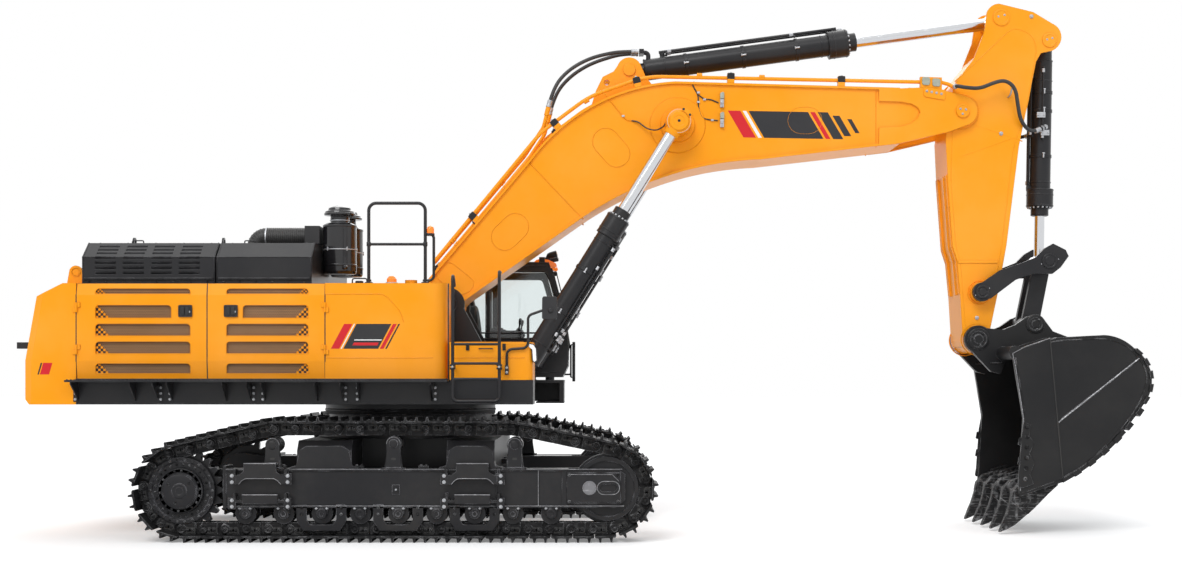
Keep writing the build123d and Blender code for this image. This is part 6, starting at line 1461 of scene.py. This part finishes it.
def dress_barrel(name, body, foot, eye, y, tube, collar, length, collar_length, clamp_at, lines):
    """Welds, gland bolts, clamps and small pipes on a barrel of a tube's and a collar's radius."""
    bands, bolts, pipes = start_pieces(
        body, (f"{name}_bands", BLACK, 0.002), (f"{name}_bolts", ZINC), (f"{name}_pipes", BLACK)
    )

    def at(distance, across=0.0, drift=0.0):
        return along_cylinder(foot, eye, y + across, distance, drift)

    way = at(1) - at(0)
    for distance in (0.2, 0.46, length - collar_length - 0.1):
        band = [(0, tube * 0.98), (0.004, tube + 0.006), (0.016, tube + 0.006), (0.02, tube * 0.98)]
        bands.turned(at(distance), way, band, 40)
    start = length - collar_length
    for distance in (start - 0.004, start + 0.06, length - 0.14):
        band = [(0, collar - 0.004), (0.004, collar + 0.004), (0.02, collar + 0.004), (0.024, collar - 0.004)]
        bands.turned(at(distance), way, band, 44)
    gland = [(0, tube * 0.7), (0.004, tube * 0.88), (0.02, tube * 0.84), (0.026, tube * 0.72)]
    bands.turned(at(length - 0.018), way, gland, 40)
    for angle in fan(16):
        drift, across = polar(0, 0, collar - 0.024, angle)
        bolts.turned(at(length - 0.11, across, drift), way, [(0, 0.014), (0.018, 0.014), (0.018, 0.008)], 8)
    for reach in clamp_at:
        band = [(0, tube), (0.002, tube + 0.009), (0.042, tube + 0.009), (0.044, tube)]
        bands.turned(at(reach - 0.022), way, band, 40)
        for ear in (-1, 1):
            across = ear * (tube + 0.016)
            bolts.turned(at(reach - 0.03, across), way, [(0, 0.011), (0.06, 0.011)], 8)
            bolts.turned(at(reach - 0.035, across), way, [(0, 0.019), (0.012, 0.019)], 6)
    for across, drift, first, last, radius in lines:
        row = [at(first, across, drift * 0.86), at(first + 0.05, across, drift), at(last - 0.05, across, drift),
               at(last, across, drift * 0.8)]
        pipes.tube(row, radius, 12, bend=0.05)
        for spot in row[1:3]:
            nut = [(0, radius), (0.002, radius + 0.009), (0.05, radius + 0.009), (0.052, radius)]
            bolts.turned(spot - way * 0.025, way, nut, 6)


def build_boom_cylinder(side, word):
    """The fittings of one boom cylinder, its rod's painted eye and its foot pin's cap."""
    y, out, (x, z) = side * 0.69, (0, side, 0), ROD_EYE
    dress_barrel(
        f"boom_cylinder_{word}", "boom_cylinder_barrels", BOOM_CYLINDER_FOOT, ROD_EYE, y, 0.13, 0.152, 2.446, 0.39,
        (0.95, 1.55),
        [(0.05, 0.152, 0.5, 2.16, 0.014), (-0.05, 0.152, 0.7, 2.0, 0.014), (side * 0.1, 0.11, 0.62, 1.7, 0.01)],
    )
    unions, foot = start_pieces(
        "boom_cylinder_barrels", (f"boom_cylinder_unions_{word}", ZINC), (f"boom_cylinder_pin_{word}", BLACK, 0.002)
    )
    union = [(0, 0.024), (0.004, 0.029), (0.04, 0.029), (0.044, 0.022), (0.056, 0.022), (0.06, 0.027), (0.085, 0.027)]
    way = along_cylinder(BOOM_CYLINDER_FOOT, ROD_EYE, 0, 1) - along_cylinder(BOOM_CYLINDER_FOOT, ROD_EYE, 0, 0)
    for distance, drift, shift in ((0.47, 0.168, 0.05), (0.6, 0.168, -0.05), (1.02, 0.165, 0.0), (1.6, 0.165, 0.05)):
        unions.turned(along_cylinder(BOOM_CYLINDER_FOOT, ROD_EYE, y + shift, distance, drift), way, union, 6)
    foot_x, foot_z = BOOM_CYLINDER_FOOT
    foot.turned((foot_x, side * 0.771, foot_z), out, [(0, 0.07), (0.012, 0.07), (0.016, 0.06)], 32)
    eye, pin = start_pieces(
        "boom_cylinder_rods", (f"boom_rod_eye_{word}", YELLOW, 0.002), (f"boom_rod_pin_bolts_{word}", DARK_STEEL)
    )
    eye.turned((x, side * 0.6113, z), out, [(0, 0.146), (0.004, 0.1525), (0.154, 0.1525), (0.158, 0.146)], 56)
    cap = [(0, 0.122), (0.02, 0.122), (0.026, 0.115), (0.026, 0.07), (0.021, 0.066)]
    eye.turned((x, side * 0.7696, z), out, cap, 48)
    neck = along_cylinder(ROD_EYE, BOOM_CYLINDER_FOOT, y, 0.1)
    eye.turned(neck, -way, [(0, 0.1), (0.07, 0.098), (0.1, 0.09), (0.102, 0.08)], 36)
    # keeper plate over the pin's cap, in its own small curve
    keeper = [polar(x, z, 0.19, angle) for angle in (0.35, 0.6, 0.85, 1.1, 1.35)]
    keeper += [polar(x, z, 0.128, angle) for angle in (1.3, 1.0, 0.7, 0.4)]
    eye.prism(keeper, side * 0.772, side * 0.79)
    pin.turned((x, side * 0.7905, z), out, [(0, 0.018), (0.003, 0.018), (0.004, 0.012)], 20)
    pin.bolts(on_ring(ROD_EYE, side * 0.79, 0.155, (0.5, 1.2)), out, 0.02)


def build_arm_cylinders():
    """The fittings of the arm's and the bucket's cylinders, with the saddles and elbows of their lines."""
    dress_barrel(
        "arm_cylinder", "arm_cylinder_barrel", *ARM_CYLINDER, 0, 0.138, 0.178, 2.975, 0.36, (0.75, 1.5, 2.2),
        [(0.07, -0.19, 0.5, 2.86, 0.016), (-0.07, -0.19, 0.5, 2.2, 0.016)],
    )
    dress_barrel(
        "bucket_cylinder", "bucket_cylinder_barrel", *BUCKET_CYLINDER, 0, 0.132, 0.17, 2.219, 0.34, (0.62, 0.86, 1.45),
        [(0.06, 0.15, 0.36, 1.84, 0.016), (-0.06, 0.15, 0.36, 1.2, 0.016), (-0.15, 0.02, 0.3, 1.25, 0.012),
         (0.15, 0.02, 0.3, 1.25, 0.012)],
    )
    saddles = Piece("bucket_cylinder_saddles", "bucket_cylinder_barrel", ZINC, 0.002)
    elbow = [(0.002, 0.036), (0.03, 0.036), (0.034, 0.032), (0.06, 0.032), (0.062, 0.037), (0.1, 0.037)]
    for side in (-1, 1):
        for distance, drift in ((0.93, 0.045), (1.16, -0.01)):
            x, _, z = along_cylinder(*BUCKET_CYLINDER, 0, distance, drift)
            saddles.plate(side, 0.142, 0.035, (x - 0.055, z - 0.035), (x + 0.055, z + 0.035))
            saddles.bolts([(x + shift, side * 0.177, z) for shift in (-0.038, 0.038)], (0, side, 0), 0.018)
        saddles.turned((8.17, side * 0.185, 5.172), (0.095, side * -0.07, 0.04), elbow, 6)


# ================================================================ linkage and bucket
BUCKET_SIDE = 1.1


def build_linkage(side, word):
    """Pin caps and lock bolts on the guide links, the connecting link and the bucket's ears."""
    out = (0, side, 0)
    caps, bolts = start_pieces("guide_links", (f"rod_pin_caps_{word}", BLACK, 0.002), (f"rod_pin_bolts_{word}", ZINC))
    x, z = BUCKET_CYLINDER[1]
    cap = [(0, 0.1), (0.012, 0.1), (0.017, 0.094), (0.017, 0.078), (0.012, 0.074), (0.012, 0.06), (0.022, 0.056)]
    caps.turned((x, side * GUIDE_FACE, z), out, cap, 44)
    bolts.bolts(on_ring((x, z), side * GUIDE_FACE, 0.113, (0.2, 3.5)), out, 0.014, washer=False)
    ears, pins = start_pieces(
        "bucket", (f"bucket_pin_caps_{word}", BUCKET_BLACK, 0.002), (f"bucket_pin_bolts_{word}", DARK_STEEL)
    )
    for (x, z), radius in ((BUCKET_PIVOT, 0.112), (LINK_PIN, 0.092)):
        cap = [
            (0, radius + 0.03), (0.012, radius + 0.03), (0.018, radius + 0.022), (0.018, radius - 0.008),
            (0.013, radius - 0.012), (0.013, radius * 0.55), (0.022, radius * 0.5),
        ]
        ears.turned((x, side * 0.445, z), out, cap, 44)
        pins.bolts(on_ring((x, z), side * 0.458, radius * 0.75, (0.9, 2.8, 5.0)), out, 0.018)


# a tooth and its socket, as (lower corner, upper corner, half width) sections from the tip back
TOOTH = [
    ((7.43, 0.024), (7.442, 0.06), 0.05), ((7.53, 0.066), (7.482, 0.17), 0.056),
    ((7.627, 0.123), (7.517, 0.245), 0.064), ((7.72, 0.205), (7.55, 0.345), 0.07),
    ((7.8, 0.276), (7.576, 0.435), 0.072),
]
SOCKET = [
    ((7.775, 0.25), (7.568, 0.42), 0.08), ((7.86, 0.33), (7.59, 0.53), 0.084), ((8.031, 0.505), (7.68, 0.64), 0.084),
    ((8.1, 0.567), (7.87, 0.705), 0.08), ((8.165, 0.625), (8.01, 0.735), 0.072),
]
# arcs of the bucket's heel and back: three points, how far along the wear blocks are, and how far they stand
HEEL = (((8.18, 0.68), (8.79, 1.13), (9.19, 1.62)), (0.15, 0.305, 0.46, 0.615, 0.77, 0.925), 0.042)
BACK = (((9.19, 1.62), (9.292, 1.94), (9.08, 2.31)), (0.08, 0.29, 0.5, 0.71, 0.92), 0.02)
BLOCK_HALF = 0.05
BUCKET_SHELL = [
    (8.2, 0.72), (8.5, 0.89), (8.76, 1.15), (8.99, 1.41), (9.15, 1.66), (9.24, 1.93), (9.2, 2.1), (9.05, 2.29),
    (8.9, 2.39), (8.7, 2.44), (8.1, 2.41), (7.6, 2.25),
]
BUCKET_MOUTH = [(7.66, 0.55), (7.703, 1.2), (7.7, 1.45), (7.6, 2.1), (7.565, 2.25), (7.72, 2.335), (8.03, 2.44)]


def wear_blocks():
    """Corners, as (x, z), of the wear blocks along the heel and the back."""
    blocks = []
    for (first, middle, last), shares, stand in (HEEL, BACK):
        x, z = arc_centre(first, middle, last)
        radius = math.dist((x, z), first)
        start, end = (math.atan2(point[1] - z, point[0] - x) for point in (first, last))
        for share in shares:
            angle = start + (end - start) * share
            blocks.append([
                polar(x, z, radius + reach, angle + turn * BLOCK_HALF / radius)
                for turn, reach in ((-1, -0.026), (1, -0.026), (1, stand), (-1, stand))
            ])
    return blocks


def build_bucket_side(side, word):
    """Seams, cutter bolts, wear blocks and rubbed edges, partly painted highlights, on one side of the bucket."""
    seams, bolts, cutters, rubbed, gaps, blocks = start_pieces(
        "bucket", (f"bucket_seams_{word}", BUCKET_BLACK), (f"bucket_cutter_bolts_{word}", DARK_STEEL),
        (f"bucket_cutter_tips_{word}", DARK_STEEL, 0.004), (f"bucket_rubbed_edges_{word}", EDGE_WEAR_AND_HIGHLIGHT),
        (f"bucket_side_joint_{word}", SEAL), (f"bucket_wear_blocks_{word}", BUCKET_BLACK, 0.004),
    )
    face = side * (BUCKET_SIDE + 0.01)
    weld(seams, [(7.72, 1.5), (7.6, 2.2)], face, 0.009, closed=False)
    weld(gaps, [(8.03, 2.42), (8.185, 0.73)], face, 0.011, closed=False)
    # the diagonal bead and the mouth's edge in light steel: rubbed metal, and partly painted highlights
    weld(rubbed, [(8.135, 1.395), (8.175, 1.435), (9.13, 2.19)], face, 0.009, closed=False)
    weld(rubbed, BUCKET_MOUTH, face, 0.006, closed=False)
    for corners in wear_blocks():
        blocks.prism(corners, side * 0.95, side * 1.128)
    seams.tube(lift(BUCKET_SHELL, side * BUCKET_SIDE), 0.01, bend=0.12, steps=5)
    heads = [(7.715, 0.7), (7.725, 0.83), (7.73, 0.96), (7.735, 1.09), (7.735, 1.22), (7.735, 1.34)]
    bolts.bolts(lift(heads, side * (BUCKET_SIDE + 0.034)), (0, side, 0), 0.036)
    for x, z in ((7.662, 0.66), (7.665, 0.92), (7.672, 1.16)):
        cutter = [(x - 0.045, z - 0.04), (x + 0.02, z - 0.06), (x + 0.02, z + 0.06), (x - 0.03, z + 0.05)]
        cutters.prism(cutter, side * (BUCKET_SIDE + 0.012), side * (BUCKET_SIDE + 0.032))
    for y in (0.447, 0.358):
        weld(seams, [(7.45, 2.14), (7.58, 2.14), (7.66, 2.2), (8.38, 2.43)], side * y, 0.012, closed=False)


def build_bucket_teeth():
    """Worn teeth in their sockets, their pins, and the ribs inside the shell."""
    tips = Piece("bucket_tooth_points", "bucket", TOOTH_STEEL, 0.012, crease=30, steps=3, replaces="bucket_teeth")
    pins = Piece("bucket_tooth_pins", "bucket", DARK_STEEL, 0.003, replaces="bucket_teeth")
    ribs = Piece("bucket_inner_ribs", "bucket", BUCKET_BLACK, 0.004)
    for y in (-0.95, -0.475, 0, 0.475, 0.95):
        # a slender tooth that widens to its socket, then the socket and its two legs round the lip
        for sections in (TOOTH, SOCKET):
            tips.skin([
                [(low[0], y - half, low[1]), (low[0], y + half, low[1]),
                 (high[0], y + half * 0.72, high[1]), (high[0], y - half * 0.72, high[1])]
                for low, high, half in sections
            ])
        for x, z in ((7.745, 0.36), (7.87, 0.47)):
            pins.bar((x, y - 0.088, z), (x, y + 0.088, z), 0.026, 20)
        pins.prism([(7.8, 0.675), (8.02, 0.75), (8.005, 0.775), (7.8, 0.71)], y - 0.05, y + 0.05)
    rib = [(7.95, 2.36), (8.68, 2.43), (8.9, 2.375), (9.06, 2.25), (9.0, 2.24), (8.87, 2.33), (8.68, 2.37), (7.95, 2.3)]
    for y in (-0.7, 0.0, 0.7):
        ribs.prism(rib, y - 0.03, y + 0.03)


# ================================================================ cab
CAB_INNER, CAB_OUTER = 0.9, 1.9
CAB_MIDDLE = 1.4
SIDE_WINDOW = [(0.38, 2.48), (1.905, 2.48), (1.85, 3.1), (1.74, 3.4), (0.38, 3.4)]
DOOR_WINDOW = [(1.04, 2.48), (1.85, 2.48), (1.77, 2.98), (1.665, 3.35), (1.04, 3.35)]
REAR_SIDE_WINDOW = [(0.33, 2.48), (0.86, 2.48), (0.86, 3.38), (0.33, 3.38)]
FRONT_EDGE = [(1.992, 2.2), (2.036, 2.361), (2.022, 2.55), (1.985, 2.75), (1.938, 2.94), (1.88, 3.18), (1.81, 3.44)]
CONSOLE = [(0.9, 2.49), (1.0, 2.48), (1.4, 2.5), (1.42, 2.55), (1.4, 2.598), (1.16, 2.598), (0.93, 2.59), (0.9, 2.56)]
PAD_ROWS, PAD_COLUMNS, PAD_SQUARE = 26, 56, 0.34


def squared(value):
    """A sine or cosine pushed towards its ends, which squares a pad's corners."""
    return math.copysign(abs(value) ** PAD_SQUARE, value)


def dent(distance, depth):
    """The depth of a sewn channel at a distance from its middle."""
    return depth * math.exp(-((distance / 0.05) ** 2))


def pad(piece, centre, half, lean, channels):
    """A crowned pad whose sides pull in, with sewn channels across its front."""
    turn = Matrix.Rotation(math.radians(lean), 3, "Y")
    rings = []
    for row in range(1, PAD_ROWS):
        rise = -math.pi / 2 + math.pi * row / PAD_ROWS
        reach, z = squared(math.cos(rise)), squared(math.sin(rise))
        ring = []
        for angle in fan(PAD_COLUMNS):
            x, y = reach * squared(math.cos(angle)), reach * squared(math.sin(angle))
            crown = 1 - 0.1 * (x * x + y * y)
            waist = 1 - 0.05 * (1 - abs(z)) * (1 - (x * y) ** 2)
            groove = 0
            if z > 0 and channels:
                groove = sum(dent(x - channel, 0.16) for channel in channels) + dent(abs(y) - 0.68, 0.1)
            place = Vector((x * half[0] * waist, y * half[1] * waist, (z * crown - groove) * half[2]))
            ring.append(Vector(centre) + turn @ place)
        rings.append(ring)
    piece.skin(rings)


def build_seat():
    """The padded operator's seat with its suspension, consoles and levers."""
    for name, centre, half, lean, channels, fill in (
        ("seat_cushion", (1.025, CAB_MIDDLE, 2.372), (0.262, 0.248, 0.07), -3, (-0.35, 0.3), 0.8),
        ("seat_back", (0.742, CAB_MIDDLE, 2.7), (0.255, 0.235, 0.068), -97, (-0.3, 0.25), 0.7),
        ("seat_headrest", (0.69, CAB_MIDDLE, 2.975), (0.06, 0.13, 0.045), -97, (), 0.8),
        ("seat_armrest_right", (1.03, CAB_MIDDLE - 0.335, 2.615), (0.12, 0.045, 0.022), 0, (), 0.8),
        ("seat_armrest_left", (1.03, CAB_MIDDLE + 0.335, 2.615), (0.12, 0.045, 0.022), 0, (), 0.8),
    ):
        cushion = Piece(name, "house", CLOTH, crease=70, replaces="operator_seat")
        pad(cushion, centre, half, lean, channels)
        cushion.finish()
    consoles, bellows = start_pieces(
        "house", ("seat_consoles", PLASTIC, 0.004), ("seat_bellows", SEAL, 0.004), replaces="operator_seat"
    )
    for number in range(6):
        inset = 0.012 * (number % 2)
        half = (0.18 - inset, 0.19 - inset, 0.022)
        bellows.boxed((1.01, CAB_MIDDLE, 2.034 + 0.046 * number), half)
    consoles.boxed((1.02, CAB_MIDDLE, 2.301), (0.24, 0.22, 0.011))
    for side in (-1, 1):
        y = CAB_MIDDLE + side * 0.335
        consoles.prism(CONSOLE, y - 0.062, y + 0.062)
        consoles.prism([(0.95, 2.29), (1.1, 2.29), (1.14, 2.48), (1.0, 2.48)], y - 0.05, y - 0.02)
        boot = [(0, 0.045), (0.015, 0.036), (0.03, 0.024), (0.045, 0.012)]
        consoles.turned((1.36, y, 2.596), (0.015, 0, 0.404), boot, 20)
        knob = [(0, 0.011), (0.05, 0.012), (0.07, 0.019), (0.11, 0.022), (0.13, 0.018), (0.138, 0.008)]
        consoles.turned((1.364, y, 2.63), (0.021, 0, 0.14), knob, 18)


def build_window_seals():
    """Rubber round every pane of the cab."""
    seals, door_seals = Piece("cab_seals", "house", SEAL), Piece("cab_door_seal", "cab_door", SEAL)
    for piece, corners, y in (
        (seals, SIDE_WINDOW, CAB_INNER - 0.001), (seals, REAR_SIDE_WINDOW, CAB_OUTER + 0.001),
        (door_seals, DOOR_WINDOW, CAB_OUTER + 0.001),
    ):
        piece.tube(lift(corners, y), 0.013, closed=True, bend=0.06)
    windscreen = lift(FRONT_EDGE, CAB_OUTER - 0.075) + lift(FRONT_EDGE[::-1], CAB_INNER + 0.075)
    seals.tube(windscreen, 0.012, closed=True, bend=0.05, steps=5)
    low, high = CAB_INNER + 0.12, CAB_OUTER - 0.12
    rear_window = [(0.222, low, 2.7), (0.222, high, 2.7), (0.222, high, 3.38), (0.222, low, 3.38)]
    low, high = CAB_INNER + 0.18, CAB_OUTER - 0.18
    hatch = [(0.8, low, 3.523), (1.5, low, 3.523), (1.5, high, 3.523), (0.8, high, 3.523)]
    for corners in (rear_window, hatch):
        seals.tube(corners, 0.012, closed=True, bend=0.06)


def build_cab_outside():
    """Rails, gutters, wiper, roof lamps and the door's fittings."""
    dark, lamps, amber = start_pieces(
        "house", ("cab_fittings", BLACK, 0.002), ("cab_lamp_lenses", CLEAR), ("cab_amber_lamps", AMBER, 0.006)
    )
    door_dark = Piece("cab_door_fittings", "cab_door", BLACK, 0.002)
    # bars across the side window, a pillar strip and the rail outside it
    dark.block((0.93, CAB_INNER - 0.004, 2.48), (0.975, CAB_INNER + 0.03, 3.4))
    dark.handle((0.45, CAB_INNER, 2.56), (1.82, CAB_INNER, 2.56), (0, -0.035, 0), 0.011, 0.04, 10)
    rail = lift([(2.0, 2.3), (2.045, 2.4), (1.96, 2.95), (1.92, 2.97)], CAB_OUTER - 0.03)
    dark.tube(rail, 0.012, 10, bend=0.04)
    # gutters, roof ribs and the hatch's handle
    for y in (CAB_INNER, CAB_OUTER):
        dark.tube([(0.29, y, 3.475), (1.76, y, 3.475)], 0.011)
        dark.tube([(0.24, y, 2.03), (1.93, y, 2.03)], 0.008)
    for y in (1.0, 1.8):
        dark.block((0.34, y - 0.03, 3.518), (1.6, y + 0.03, 3.532))
    dark.handle((1.46, 1.3, 3.52), (1.46, 1.5, 3.52), (0, 0, 0.04), 0.01, 0.03)
    # wiper on the windscreen
    dark.turned((1.84, 1.45, 3.4), (0.36, 0, 0.08), [(-0.03, 0.035), (0.03, 0.035), (0.04, 0.02)], 24)
    dark.tube([(1.87, 1.45, 3.4), (1.94, 1.35, 3.12), (1.995, 1.25, 2.88)], 0.008)
    dark.tube([(1.903, 1.28, 3.13), (1.973, 1.27, 2.88), (2.02, 1.26, 2.66)], 0.01, 6)
    # roof lamps: amber flanks, brackets, housings and lenses
    flank = [(1.56, 3.518), (1.86, 3.452), (1.884, 3.475), (1.872, 3.512), (1.77, 3.56), (1.66, 3.575), (1.6, 3.56)]
    for y in (CAB_INNER + 0.12, CAB_OUTER - 0.12):
        amber.prism(flank, y - 0.05, y + 0.05)
        dark.prism([(1.7, 3.545), (1.78, 3.53), (1.8, 3.6), (1.74, 3.62)], y - 0.02, y + 0.02)
        start, way = (1.745, y, 3.612), (0.155, 0, 0.038)
        dark.turned(start, way, [(0, 0.02), (0.02, 0.036), (0.06, 0.046), (0.13, 0.048), (0.14, 0.044)], 28)
        lamps.turned(start, way, [(0.139, 0.042), (0.146, 0.04), (0.152, 0.028)], 28)
    # door: lock plate, handles and the pressed panel's edge
    door_dark.block((1.69, CAB_OUTER + 0.004, 2.322), (1.83, CAB_OUTER + 0.012, 2.378))
    door_dark.handle((1.72, CAB_OUTER, 2.35), (1.81, CAB_OUTER, 2.35), (0, 0.035, 0), 0.01, 0.02)
    door_dark.handle((1.1, CAB_OUTER, 2.2), (1.1, CAB_OUTER, 2.42), (0, 0.04, 0), 0.011, 0.03)
    panel = [(1.0, 2.08), (1.85, 2.08), (1.89, 2.32), (1.88, 2.43), (1.0, 2.43)]
    door_dark.tube(lift(panel, CAB_OUTER), 0.007, closed=True, bend=0.05, steps=5)


def build_cab_inside():
    """Floor mat, pedals, consoles, headliner and monitor."""
    inside, screen = start_pieces("house", ("cab_inside", INSIDE, 0.004), ("cab_monitor", GREY_FILM, 0.002))
    for low, high in (
        ((0.29, 0.96, 2.0105), (1.93, 1.84, 2.018)), ((0.3, 0.96, 3.44), (0.76, 1.84, 3.468)),
        ((1.52, 0.98, 3.44), (1.68, 1.82, 3.468)), ((1.725, 0.965, 2.612), (1.745, 1.146, 2.788)),
    ):
        inside.block(low, high)
    for y in (1.3, 1.5):
        inside.prism([(1.62, 2.02), (1.8, 2.1), (1.79, 2.125), (1.61, 2.045)], y - 0.045, y + 0.045)
        inside.tube([(1.7, y, 2.06), (1.63, y, 2.36)], 0.012)
        inside.turned((1.63, y, 2.355), UP, [(0, 0.015), (0.03, 0.024), (0.05, 0.016)], 14)
    inside.prism([(0.3, 2.02), (0.62, 2.02), (0.62, 2.5), (0.56, 2.56), (0.3, 2.58)], 1.02, 1.78)
    inside.prism([(1.5, 2.5), (1.78, 2.5), (1.8, 2.44), (1.5, 2.44)], 0.965, 1.03)
    inside.tube([(1.735, 1.0, 2.62), (1.76, 0.99, 2.48)], 0.014, 10)
    screen.block((1.7, 0.97, 2.62), (1.725, 1.14, 2.78))


# ================================================================ everything together
for side, word in SIDES:
    lay_hoses(side, word)
    build_track(side, word)
    build_final_drive(side, word)
    build_frame_fittings(side, word)
    build_bay_door(f"door_{word}_rear", side, *DOOR_SEAMS[:2], 1)
    build_bay_door(f"door_{word}_front", side, *DOOR_SEAMS[1:], -1)
    build_skirt(side, word)
    build_stripes("house_stripes", word, side, HOUSE_SIDE + 0.0004, HOUSE_STRIPES)
    build_boom_side(side, word)
    build_stripes("boom_stripes", word, side, BOOM_SIDE + 0.0006, BOOM_STRIPES)
    build_arm_side(side, word)
    build_boom_cylinder(side, word)
    build_linkage(side, word)
    build_bucket_side(side, word)
for build in (
    build_swing_ring, build_hoods, build_air_cleaners, build_house_details, build_mirrors, build_pipe_clamps,
    build_arm_front, build_arm_cylinders, build_bucket_teeth, build_seat, build_window_seals, build_cab_outside,
    build_cab_inside,
):
    build()
while Piece.waiting:
    Piece.waiting[0].finish()
